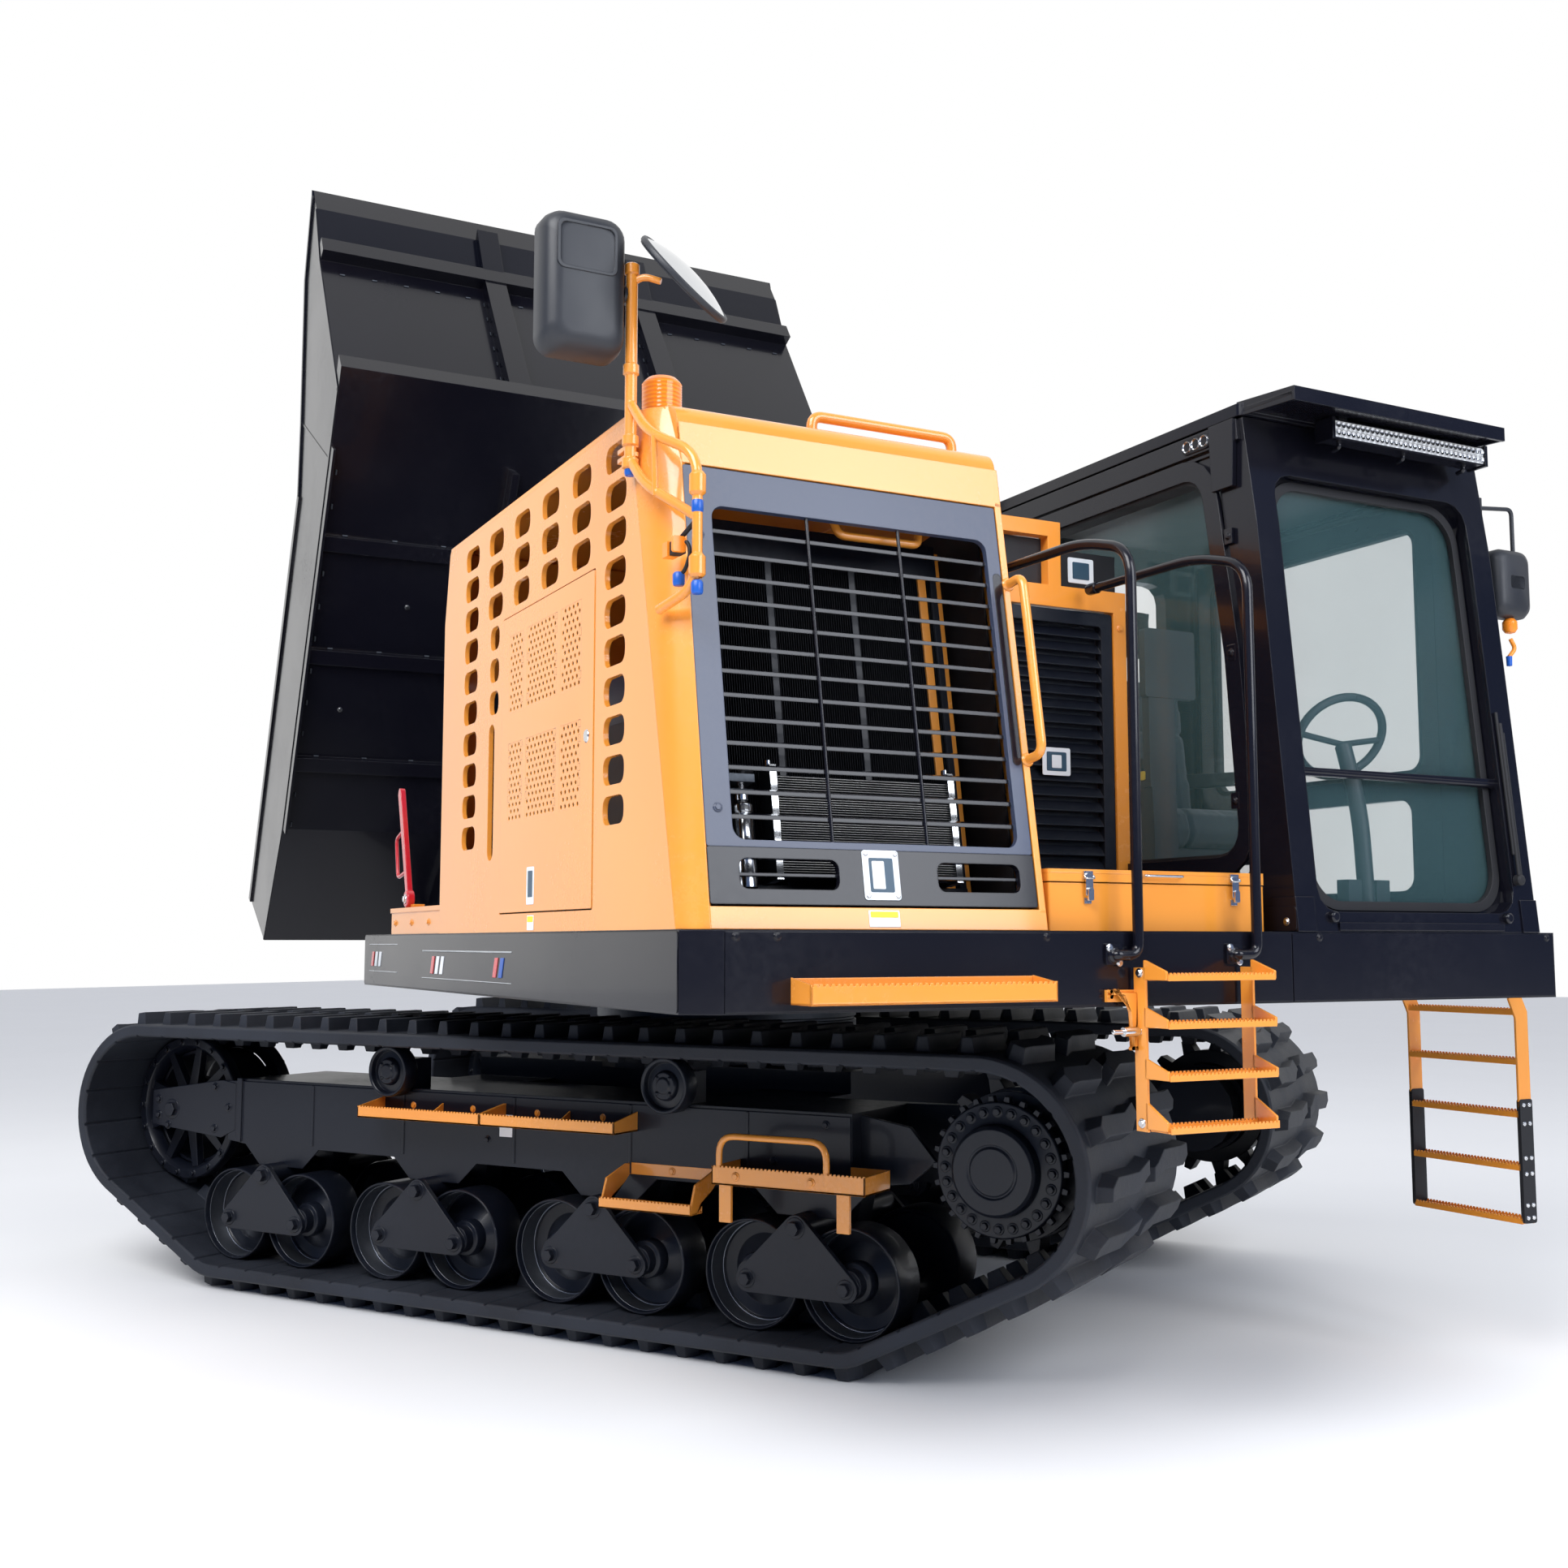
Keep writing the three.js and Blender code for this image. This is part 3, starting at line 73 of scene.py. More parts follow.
# %% [markdown]
# ## Shader sums
# A finish is a small sum of noises. Blender keeps such a sum as Math nodes, which are hard to read one by
# one. The class below wraps a socket, so that a sum can be written as Python, and each sign adds its node.
# Colours are mixed with Mix nodes, because a Math node would turn them grey.

# %% The wire and the finish
class Wire:
    """A node's output that can stand in a sum."""

    def __init__(self, finish, socket):
        self.finish, self.socket = finish, socket

    def math(self, operation, *values, **settings):
        settings["operation"] = operation
        return self.finish.add("ShaderNodeMath", settings, dict(enumerate(values)))

    def __add__(self, other):
        return self.math("ADD", self, other)

    def __sub__(self, other):
        return self.math("SUBTRACT", self, other)

    def __rsub__(self, other):
        return self.math("SUBTRACT", other, self)

    def __mul__(self, other):
        return self.math("MULTIPLY", self, other)

    def __pow__(self, other):
        return self.math("POWER", self, other)

    __radd__, __rmul__ = __add__, __mul__

    def clip(self, low, high):
        """0 below low, 1 above high, and a straight ramp between."""
        return self.finish.add("ShaderNodeMapRange", {"clamp": True}, {0: self, 1: low, 2: high})


class Finish:
    """A material: one Principled shader and the nodes that feed it."""

    def __init__(self, name, **values):
        self.material = bpy.data.materials.new(name)
        self.material.use_nodes = True
        self.tree = self.material.node_tree
        self.shader = self.tree.nodes["Principled BSDF"]
        self.set(**values)

    def feed(self, socket, value):
        if isinstance(value, Wire):
            self.tree.links.new(value.socket, socket)
        elif isinstance(value, tuple) and len(value) == 3 and socket.type == "RGBA":
            socket.default_value = (*value, 1)
        else:
            socket.default_value = value

    def set(self, **values):
        """Feeds the shader's sockets; an underscore in a name stands for a space."""
        for name, value in values.items():
            self.feed(self.shader.inputs[name.replace("_", " ")], value)

    def add(self, kind, settings, sockets, output=0):
        """Adds one node: its settings first, then the values or wires of its sockets."""
        node = self.tree.nodes.new(kind)
        for name, value in settings.items():
            setattr(node, name, value)
        for name, value in sockets.items():
            self.feed(node.inputs[name], value)
        return Wire(self, node.outputs[output])

    def place(self, output="Object"):
        return self.add("ShaderNodeTexCoord", {}, {}, output)

    def stretched(self, x, y, z):
        """The place on the piece, stretched along the three axes."""
        return self.add("ShaderNodeVectorMath", {"operation": "MULTIPLY"}, {0: self.place(), 1: (x, y, z)})

    def noise(self, scale, detail=3, roughness=0.55, at=None):
        return self.add("ShaderNodeTexNoise", {}, {"Vector": at or self.place(), "Scale": scale,
                        "Detail": detail, "Roughness": roughness})

    def part_of(self, vector, axis):
        return self.add("ShaderNodeSeparateXYZ", {}, {0: vector}, axis)

    def mix(self, share, one, other):
        """A colour between two colours."""
        return self.add("ShaderNodeMix", {"data_type": "RGBA"}, {0: share, 6: one, 7: other}, 2)

    def bump(self, height, depth, strength=1.0, rounding=0.0):
        """A bump of that depth in metres; rounding softens the edges of flat plates."""
        sockets = {"Height": height, "Distance": depth, "Strength": strength}
        if rounding:
            sockets["Normal"] = self.add("ShaderNodeBevel", {"samples": 4}, {"Radius": rounding})
        self.set(Normal=self.add("ShaderNodeBump", {}, sockets))
        return self


print("a finish starts from", Finish("trial").shader.name)
bpy.data.materials.remove(bpy.data.materials["trial"])

# %% [markdown]
# ## Paints
# Farm and site machines are sprayed with a two-pack gloss paint. Up close it has orange peel, a ripple a few
# millimetres across, and a film of dust that gathers low down and in patches; here the film is laid in patches
# only. Flat CAD plates also need slightly rounded edges, which the Bevel node gives without touching the mesh.

# %% Gloss paint
def gloss_paint(name, colour, deep, dust=(0.42, 0.38, 0.33), dusting=0.25, roughness=0.2, coat=0.6, shine=0.5):
    paint = Finish(name, Coat_Roughness=0.06, IOR=1.5, Specular_IOR_Level=shine)
    patches = paint.noise(1.6, 4)
    specks = paint.noise(38, 5, 0.65)
    film = (patches.clip(0.42, 0.8) * specks.clip(0.35, 0.75)) * dusting
    body = paint.mix(paint.noise(0.7, 2).clip(0.3, 0.7), deep, colour)
    paint.set(Base_Color=paint.mix(film, body, dust), Roughness=film * 0.9 + patches * 0.08 + roughness,
              Coat_Weight=coat * (1 - film))
    return paint.bump(paint.noise(160, 2) * 0.5 + specks, 0.00025, 0.35, 0.004).material


yellow = gloss_paint("yellow_gloss", (0.86, 0.33, 0.045), (0.8, 0.275, 0.03), dusting=0.12)
black = gloss_paint("black_gloss", (0.006, 0.006, 0.01), (0.003, 0.003, 0.006), (0.05, 0.05, 0.06), 0.15, 0.16,
                    0.2, 0.3)
frame_black = gloss_paint("undercarriage_black", (0.007, 0.009, 0.015), (0.004, 0.005, 0.01), (0.05, 0.055, 0.065),
                          0.3, 0.3, 0.1, 0.3)
grey = gloss_paint("grille_grey", (0.04, 0.055, 0.1), (0.025, 0.035, 0.07), dusting=0.08, roughness=0.32, coat=0.2)
red = gloss_paint("lever_red", (0.66, 0.012, 0.03), (0.5, 0.01, 0.02), dusting=0.1)
print("paints:", yellow.name, black.name, frame_black.name, grey.name, red.name)

# %% [markdown]
# ## Rubber, plastic, steel and glass
# Track rubber is matt, bluish where it is rubbed and paler in its pores. Moulded plastic has a fine
# grain. Plated steel is bright with small turning marks. Cab glass is a thin tinted sheet, so a low Alpha
# with a smooth shader shows it better than a solid of glass would.

# %% Rubber and plastic
def track_rubber(name, colour, pale):
    rubber = Finish(name, IOR=1.45)
    pores = rubber.noise(90, 6, 0.7)
    wear = rubber.noise(2.2, 5, 0.6).clip(0.4, 0.72)
    shade = rubber.mix(wear * 0.6 + pores.clip(0.5, 0.8) * 0.25, colour, pale)
    rubber.set(Base_Color=shade, Roughness=0.52 + wear * 0.2 + pores * 0.08)
    return rubber.bump(pores + rubber.noise(14, 4) * 1.6, 0.0016, 0.6, 0.006).material


def moulded(name, colour, roughness=0.5, grain=420, depth=0.0004):
    plastic = Finish(name, IOR=1.46)
    marks = plastic.noise(grain, 3)
    smears = plastic.noise(5, 3).clip(0.4, 0.7)
    lighter = tuple(min(1, channel * 1.5 + 0.004) for channel in colour)
    plastic.set(Base_Color=plastic.mix(smears * 0.5, colour, lighter), Roughness=roughness + smears * 0.1)
    return plastic.bump(marks, depth, 0.5, 0.002).material


rubber = track_rubber("tread_rubber", (0.01, 0.012, 0.018), (0.03, 0.036, 0.05))
plastic = moulded("moulded_plastic", (0.018, 0.02, 0.025), 0.42)
black_trim = moulded("seal_rubber", (0.006, 0.006, 0.008), 0.6, 300)
blue_plastic = moulded("blue_cap", (0.01, 0.09, 0.42), 0.3)
orange_lamp = moulded("orange_lamp", (0.9, 0.25, 0.02), 0.2, 60)
label_white = moulded("plate_white", (0.72, 0.76, 0.78), 0.35, 60)
label_dark = moulded("plate_dark", (0.03, 0.07, 0.11), 0.35, 60)
label_yellow = moulded("plate_yellow", (0.85, 0.62, 0.03), 0.4, 60)

# %% Steel and glass
def metal(name, colour, roughness, marks=220):
    steel = Finish(name, Metallic=1.0)
    turning = steel.noise(marks, 4)
    steel.set(Base_Color=steel.mix(turning, colour, tuple(c * 0.72 for c in colour)),
              Roughness=roughness + turning * 0.12)
    return steel.bump(turning, 0.0002, 0.4, 0.0015).material


def sheet_glass(name, colour, clear, roughness=0.03):
    glass = Finish(name, IOR=1.5, Specular_IOR_Level=0.7)
    haze = glass.noise(1.3, 4)
    rim = glass.add("ShaderNodeLayerWeight", {}, {"Blend": 0.25}, "Facing")
    glass.set(Base_Color=glass.mix(haze, colour, tuple(c * 0.9 for c in colour)),
              Roughness=roughness + haze * 0.03, Alpha=clear + rim * 0.35 + haze * 0.05)
    return glass.material


steel = metal("turned_steel", (0.5, 0.52, 0.55), 0.3)
bright_steel = metal("plated_steel", (0.78, 0.79, 0.8), 0.12)
dark_steel = metal("rubbed_steel", (0.1, 0.11, 0.125), 0.42, 60)
mirror_glass = metal("mirror_glass", (0.86, 0.88, 0.9), 0.0, 3)
fin_metal = metal("cooler_fins", (0.045, 0.047, 0.052), 0.5)
tinted_glass = sheet_glass("tinted_glass", (0.03, 0.09, 0.09), 0.3)
clear_glass = sheet_glass("clear_glass", (0.1, 0.2, 0.21), 0.08)
lens_glass = sheet_glass("lamp_glass", (0.85, 0.9, 0.95), 0.25)
print(len(bpy.data.materials), "materials so far")

# %% Amber lens and lamp cells
def amber_lens(name):
    lens = Finish(name, IOR=1.49, Emission_Strength=0.25, Coat_Weight=0.4)
    place = lens.part_of(lens.stretched(1, 1, 90), 2)
    ribs = place.math("SINE", place * 6.283)
    lens.set(Base_Color=lens.mix(ribs * 0.5 + 0.5, (0.95, 0.28, 0.015), (0.75, 0.16, 0.01)),
             Roughness=0.1 + lens.noise(30) * 0.1, Emission_Color=(1.0, 0.3, 0.03))
    return lens.bump(ribs, 0.001, 0.5).material


amber = amber_lens("amber_lens")
lamp_cells = Finish("lamp_cells", Emission_Strength=0.2, Emission_Color=(1.0, 1.0, 1.0))
cells = lamp_cells.add("ShaderNodeTexVoronoi", {}, {"Vector": lamp_cells.place(), "Scale": 60.0,
                       "Randomness": 0.0})
lamp_cells.set(Base_Color=lamp_cells.mix(cells.clip(0.2, 0.6), (0.9, 0.92, 0.94), (0.3, 0.31, 0.33)),
               Roughness=0.15 + cells * 0.2)
lamp_cells = lamp_cells.bump(cells, 0.002, 0.6).material
print("lamps:", amber.name, lamp_cells.name)

# %% [markdown]
# ## Woven seat cover
# The seat is covered in a coarse dark cloth. Two waves that cross make the weave, a little noise breaks it
# up, and sheen, set as a plain number, gives the soft edge that cloth has.

# %% Seat cloth
def woven(name, thread, shade, pitch=700.0):
    cloth = Finish(name, Sheen_Weight=0.35, Sheen_Roughness=0.4)
    warp, weft = (cloth.add("ShaderNodeTexWave", {"bands_direction": axis},
                            {"Vector": cloth.place(), "Scale": pitch, "Distortion": 0.4}) for axis in "XZ")
    weave = warp * weft
    cloth.set(Base_Color=cloth.mix(weave * 0.7 + cloth.noise(9, 4) * 0.3, shade, thread),
              Roughness=0.82 + weave * 0.1)
    return cloth.bump(weave, 0.0008, 0.6).material


seat_cloth = woven("seat_cloth", (0.045, 0.075, 0.1), (0.014, 0.022, 0.03))
print("cloth:", seat_cloth.name)

# %% [markdown]
# ## A workshop of shapes
# Real parts are cut from plate, turned, or bent from tube. One class holds the mesh being made and has one
# method for each of those jobs. Everything is drawn in millimetres on a board, and the last method turns it
# into a Blender object that rides on a body. A Bevel modifier breaks the sharp edges, as a grinder would.

# %% The shape
AXES = {"x": (1, 2, 0), "y": (0, 2, 1), "z": (0, 1, 2)}  # the outline's two axes, then the long one


def circle(centre, radius, sides=32, start=0.0):
    return [(centre[0] + radius * cos(start + 2 * pi * i / sides), centre[1] + radius * sin(start + 2 * pi * i / sides))
            for i in range(sides)]


def rounded(a, b, radius, cuts=6):
    """A rectangle's outline with round corners."""
    corners = [(a[1] - radius, b[1] - radius), (a[0] + radius, b[1] - radius),
               (a[0] + radius, b[0] + radius), (a[1] - radius, b[0] + radius)]
    return [(x + radius * cos((k + i / cuts) * pi / 2), y + radius * sin((k + i / cuts) * pi / 2))
            for k, (x, y) in enumerate(corners) for i in range(cuts + 1)]


class Shape:
    """A mesh under construction, in millimetres."""

    def __init__(self, finish):
        self.mesh = bmesh.new()
        self.finishes = [finish]
        self.now = 0

    def paint(self, finish):
        """What is added next gets this finish."""
        if finish not in self.finishes:
            self.finishes.append(finish)
        self.now = self.finishes.index(finish)
        return self

    def patch(self, points, loops):
        corners = [self.mesh.verts.new(point) for point in points]
        for loop in loops:
            face = self.mesh.faces.new([corners[i] for i in loop])
            face.material_index = self.now
        return self

    def plate(self, axis, outline, low, high, holes=()):
        """A plate cut to an outline, with holes, from low to high along an axis."""
        a, b, c = AXES[axis]
        rings = [outline, *holes]
        flat = [Vector((x, y, 0)) for ring in rings for x, y in ring]
        points = []
        for level in (low, high):
            for x, y, _ in flat:
                point = [0, 0, 0]
                point[a], point[b], point[c] = x, y, level
                points.append(point)
        count, loops, start = len(flat), [], 0
        for ring in rings:
            size = len(ring)
            loops += [(start + i, start + (i + 1) % size, count + start + (i + 1) % size, count + start + i)
                      for i in range(size)]
            start += size
        if holes:
            starts = [[Vector((x, y, 0)) for x, y in ring] for ring in rings]
            caps = tessellate_polygon(starts)
        else:
            caps = [tuple(range(count))]
        loops += [cap for cap in caps] + [tuple(count + i for i in reversed(cap)) for cap in caps]
        return self.patch(points, loops)

    def block(self, x, y, z):
        return self.plate("z", [(x[0], y[0]), (x[1], y[0]), (x[1], y[1]), (x[0], y[1])], *z)

    def turned(self, axis, centre, profile, sides=32):
        """A turned part: profile is (radius, place along the axis), closed on the axis or as a ring."""
        a, b, c = AXES[axis]
        points, loops, rows = [], [], []
        for radius, along in profile:
            ring = []
            for i in range(sides if radius > 0 else 1):
                point = [0, 0, 0]
                point[a] = centre[0] + radius * cos(2 * pi * i / sides)
                point[b] = centre[1] + radius * sin(2 * pi * i / sides)
                point[c] = along
                ring.append(len(points))
                points.append(point)
            rows.append(ring)
        ends_open = profile[0][0] > 0 and profile[-1][0] > 0
        pairs = list(zip(rows, rows[1:])) + ([(rows[-1], rows[0])] if ends_open else [])
        for one, other in pairs:
            for i in range(sides):
                j = (i + 1) % sides
                loop = [one[i % len(one)], one[j % len(one)], other[j % len(other)], other[i % len(other)]]
                loops.append([v for k, v in enumerate(loop) if v not in loop[:k]])
        return self.patch(points, loops)

    def drum(self, axis, centre, radius, low, high, sides=32):
        return self.turned(axis, centre, [(0, low), (radius, low), (radius, high), (0, high)], sides)

    def tube(self, corners, radius, bend=60, sides=12, cuts=6, closed=False):
        """A round bar bent at its corners."""
        path = bent(corners, bend, cuts)
        points, loops = [], []
        ahead = (path[1] - path[0]).normalized()
        side = ahead.orthogonal().normalized()
        for i, point in enumerate(path):
            after = (path[min(i + 1, len(path) - 1)] - path[max(i - 1, 0)]).normalized()
            side = (ahead.rotation_difference(after) @ side).normalized()
            ahead = after
            up = ahead.cross(side)
            points += [point + radius * (cos(2 * pi * k / sides) * side + sin(2 * pi * k / sides) * up)
                       for k in range(sides)]
        for i in range(len(path) - 1):
            loops += [(i * sides + k, i * sides + (k + 1) % sides, (i + 1) * sides + (k + 1) % sides,
                       (i + 1) * sides + k) for k in range(sides)]
        last = (len(path) - 1) * sides
        loops += [tuple(reversed(range(sides))), tuple(last + k for k in range(sides))]
        return self.patch(points, loops)

    def bolt(self, point, axis, radius=12, height=9, side=1, finish=None):
        """A hexagon head on its washer, standing on a face whose outside is on that side."""
        before = self.now
        if finish:
            self.paint(finish)
        a, b, c = AXES[axis]
        centre, foot = (point[a], point[b]), point[c]
        self.turned(axis, centre, [(0, foot - side), (radius * 1.45, foot - side), (radius * 1.45, foot + 2.5 * side),
                                   (radius * 1.1, foot + 3 * side), (0, foot + 3 * side)], 16)
        self.plate(axis, circle(centre, radius, 6), *sorted((foot + 2.8 * side, foot + height * side)))
        self.now = before
        return self

    def piece(self, name, body, board=UPPER, edge=2.0, segments=2, replaces=(), angle=35):
        """The finished object: on its board, with broken edges, riding on its body."""
        bmesh.ops.recalc_face_normals(self.mesh, faces=self.mesh.faces)
        self.mesh.transform(board)
        data = bpy.data.meshes.new(name)
        self.mesh.to_mesh(data)
        self.mesh.free()
        for finish in self.finishes:
            data.materials.append(finish)
        data.shade_smooth()
        data.set_sharp_from_angle(angle=radians(angle))
        thing = bpy.data.objects.new(name, data)
        bpy.context.scene.collection.objects.link(thing)
        if edge:
            bevel = thing.modifiers.new("edges", "BEVEL")
            bevel.width, bevel.segments, bevel.limit_method = edge / 1000, segments, "ANGLE"
            bevel.angle_limit, bevel.harden_normals = radians(angle), True
        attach(thing, body)
        if replaces:
            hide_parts(*replaces)
        return thing


def bent(corners, bend, cuts):
    """The middle line of a bar that is bent to a curve at each of its corners."""
    corners = [Vector(corner) for corner in corners]
    path = [corners[0]]
    for before, corner, after in zip(corners, corners[1:], corners[2:]):
        reach = min(bend, (corner - before).length / 2.1, (after - corner).length / 2.1)
        start, end = (corner + (other - corner).normalized() * reach for other in (before, after))
        for i in range(cuts + 1):
            t = i / cuts
            path.append(start * (1 - t) ** 2 + corner * (2 * t * (1 - t)) + end * t ** 2)
    return path + [corners[-1]]


print("a shape can be a plate, a block, a turned part, a drum, a tube or a bolt")

# %% [markdown]
# ## Rubber tracks
# A rubber track is one endless moulding. A flat band runs round the rollers, tread bars stand on its
# outside, and guide horns on its inside keep it on the wheels. Its path is a ring of arcs and straights, so
# the code walks that path by distance. The band is one cross-section swept along it, and the bars and horns
# are small blocks set down at every pitch. An array on a curve could do it too, but it would bend the blocks.

# %% The path of the belt
TRACK, BAND, TREAD, DEPTH, BAR = 1070, 430, 380, 50, 50
WHEEL, AXLE_Z, HALF = 180, 281, 182
BOGIES = [-1291 + 809 * i for i in range(4)]
IDLER, SPROCKET, AXLE_HIGH = -1940, 1810, 667
ROLLERS = [(BOGIES[0] - HALF, AXLE_Z, WHEEL + 1), (BOGIES[3] + HALF, AXLE_Z, WHEEL + 1),
           (SPROCKET, AXLE_HIGH, 311), (IDLER, AXLE_HIGH, 311)]


def belt_runs():
    """The straights and arcs: (length, function from distance to a point and the outward direction)."""
    straights = []
    for (x, z, r), (x2, z2, r2) in zip(ROLLERS, ROLLERS[1:] + ROLLERS[:1]):
        span = math.hypot(x2 - x, z2 - z)
        ax, az = (x2 - x) / span, (z2 - z) / span
        sine = (r - r2) / span
        cosine = math.sqrt(1 - sine * sine)
        out = (ax * sine + az * cosine, az * sine - ax * cosine)
        straights.append((x, z, r, out, span * cosine, math.atan2(out[1], out[0])))
    runs = []
    for before, (x, z, r, out, length, angle) in zip(straights[-1:] + straights, straights):
        start, turn = before[5], (angle - before[5]) % (2 * pi)
        middle = r + DEPTH / 2

        def arc(s, x=x, z=z, r=r, start=start, middle=middle):
            a = start + s / middle
            return (x + r * cos(a), z + r * sin(a)), (cos(a), sin(a))

        def line(s, x=x, z=z, r=r, out=out):
            return (x + r * out[0] - s * out[1], z + r * out[1] + s * out[0]), out

        runs += [(turn * middle, arc), (length, line)]
    return runs


BELT = belt_runs()
BELT_LENGTH = sum(length for length, _ in BELT)
PITCHES = round(BELT_LENGTH / 150)
PITCH = BELT_LENGTH / PITCHES


def on_belt(distance, across, height):
    """A point at a distance along the belt, across from its middle, above its inner face."""
    left = distance % BELT_LENGTH
    for length, at in BELT:
        if left <= length:
            break
        left -= length
    (x, z), (nx, nz) = at(min(left, length))
    return (x + height * nx, across, z + height * nz)


print("belt", round(BELT_LENGTH), "mm long with", PITCHES, "pitches of", round(PITCH, 1), "mm")

# %% [markdown]
# The tread bars come in two halves that are set off from each other along the belt, with a small pocket
# where they meet. Each half is a block between two outlines, a wide foot and a narrower face.

# %% Bars, horns and band
# (share of the pitch, place across) of one half bar; the other half is this one turned round
BAR_PLAN = [(0.14, -TREAD), (0.46, -TREAD), (0.68, -335), (0.64, -120), (0.78, -16), (0.46, -16), (0.36, -52),
            (0.12, -120), (0.16, -320)]
BAND_SECTION = [(-BAND, 6), (-BAND, 42), (-BAND + 9, DEPTH), (BAND - 9, DEPTH), (BAND, 42), (BAND, 6),
                (BAND - 8, 0), (150, 0), (120, 4), (-120, 4), (-150, 0), (-BAND + 8, 0)]
GROOVE = [(0.0, 0), (0.03, 6), (0.07, 6), (0.1, 0), (0.35, 0), (0.6, 0), (0.82, 0)]


def standing(shape, centre, foot, face, low, high):
    """A block on the belt between a foot outline and a face outline, given as (distance, across)."""
    points = [on_belt(d, a, low) for d, a in foot] + [on_belt(d, a, high) for d, a in face]
    points = [(x, centre + a, z) for x, a, z in points]
    count = len(foot)
    loops = [(i, (i + 1) % count, count + (i + 1) % count, count + i) for i in range(count)]
    shape.patch(points, loops + [tuple(range(count)), tuple(range(2 * count - 1, count - 1, -1))])


def shrunk(outline, along, across):
    """The outline drawn in towards its middle by those lengths."""
    d0 = sum(d for d, _ in outline) / len(outline)
    a0 = sum(a for _, a in outline) / len(outline)
    return [(d + max(-along, min(along, (d0 - d) * 0.42)), a + max(-across, min(across, (a0 - a) * 0.3)))
            for d, a in outline]


def rubber_belt(side, sign):
    centre = sign * TRACK
    shape = Shape(rubber)
    stations = [(i + share, deep) for i in range(PITCHES) for share, deep in GROOVE]
    points = []
    for share, deep in stations:
        for across, height in BAND_SECTION:
            inner = height == 0 and abs(across) >= 150
            x, a, z = on_belt(share * PITCH, across, deep if inner else height)
            points.append((x, centre + a, z))
    ring, count = len(BAND_SECTION), len(stations)
    shape.patch(points, [(i * ring + k, i * ring + (k + 1) % ring, (i + 1) % count * ring + (k + 1) % ring,
                          (i + 1) % count * ring + k) for i in range(count) for k in range(ring)])
    for i in range(PITCHES):
        for turn, shift in ((1, 0.0), (-1, 0.98)):
            foot = [((i + shift + turn * d) * PITCH, turn * a) for d, a in BAR_PLAN]
            standing(shape, centre, foot, shrunk(foot, 13, 10), DEPTH - 4, DEPTH + BAR - 1)
        for place in (-78, 78):
            foot = [((i + d) * PITCH, place + a) for d, a in ((0.24, -30), (0.76, -30), (0.76, 30), (0.24, 30))]
            standing(shape, centre, foot, shrunk(foot, 22, 12), 8, -48)
    shape.piece(f"belt_{side}", "root", GROUND, 2.5, 1, (f"rubber_track_{side}",), 30)


for side, sign in (("right", -1), ("left", 1)):
    rubber_belt(side, sign)
print("two belts with", PITCHES * 2, "half bars each")

# %% [markdown]
# ## Bogie wheels and rockers
# The machine stands on pairs of dished steel wheels. Each pair hangs on a triangular rocker that tilts about
# a pin. A dished wheel is a turned part: a thin rim, a deep cup and a hub, so its profile is drawn once and
# spun. The rocker is a plate with round corners and a large bolt at each corner.

# %% Bogies
WHEEL_PROFILE = [(0, 300), (34, 300), (38, 296), (38, 276), (62, 270), (66, 262), (66, 226), (118, 198), (156, 206),
                 (166, 218), (170, 296), (173, 302), (177, 302), (180, 298), (180, 158), (176, 152), (166, 152),
                 (160, 176), (118, 170), (62, 176), (62, 150), (0, 150)]


bright_rim = metal("worn_wheel_paint", (0.3, 0.32, 0.36), 0.35, 40)


def bulged(corners, radius, cuts=5):
    """The outline round circles of that radius on the corners, given anticlockwise."""
    outline = []
    for i, (x, z) in enumerate(corners):
        before, after = corners[i - 1], corners[(i + 1) % len(corners)]
        first = math.atan2(z - before[1], x - before[0]) - pi / 2
        last = math.atan2(after[1] - z, after[0] - x) - pi / 2
        sweep = (last - first) % (2 * pi)
        outline += [(x + radius * cos(first + sweep * k / cuts), z + radius * sin(first + sweep * k / cuts))
                    for k in range(cuts + 1)]
    return outline


def bogie(side, sign, number, x):
    centre = sign * TRACK
    shape = Shape(frame_black)
    triangle = bulged([(x - HALF, 270), (x + HALF, 270), (x, 447)], 42)
    for face in (sign, -sign):
        shape.plate("y", triangle, *sorted((centre + face * 309, centre + face * 330)))
        for wheel_x in (x - HALF, x + HALF):
            shape.turned("y", (wheel_x, AXLE_Z), [(r, centre + face * along) for r, along in WHEEL_PROFILE], 48)
            shape.turned("y", (wheel_x, AXLE_Z), [(0, centre + face * 262), (48, centre + face * 262),
                                                  (48, centre + face * 312), (0, centre + face * 312)], 24)
            shape.bolt((wheel_x, centre + face * 330, 272), "y", 21, 24, face)
        shape.turned("y", (x, 445), [(0, centre + face * 45), (45, centre + face * 45),
                                     (45, centre + face * 310), (0, centre + face * 310)], 24)
        shape.bolt((x, centre + face * 330, 447), "y", 24, 26, face)
    shape.drum("y", (x, 445), 36, centre - 60, centre + 60, 24)
    for wheel_x in (x - HALF, x + HALF):
        shape.drum("y", (wheel_x, AXLE_Z), 38, centre - 165, centre + 165, 24)
    shape.paint(bright_rim)
    for face in (sign, -sign):
        for wheel_x in (x - HALF, x + HALF):
            shape.turned("y", (wheel_x, AXLE_Z), [(160, centre + face * 209.5), (161, centre + face * 216),
                         (167.4, centre + face * 218), (168.8, centre + face * 280), (167.6, centre + face * 280),
                         (164.5, centre + face * 219.5)], 48)
    name = f"bogie_{side}_{number}"
    shape.piece("wheels_" + name, name, GROUND, 2.0, 2, (name,))


for side, sign in (("right", -1), ("left", 1)):
    for number, x in enumerate(BOGIES, 1):
        bogie(side, sign, number, x)
print("eight bogies of two axles and four wheels")

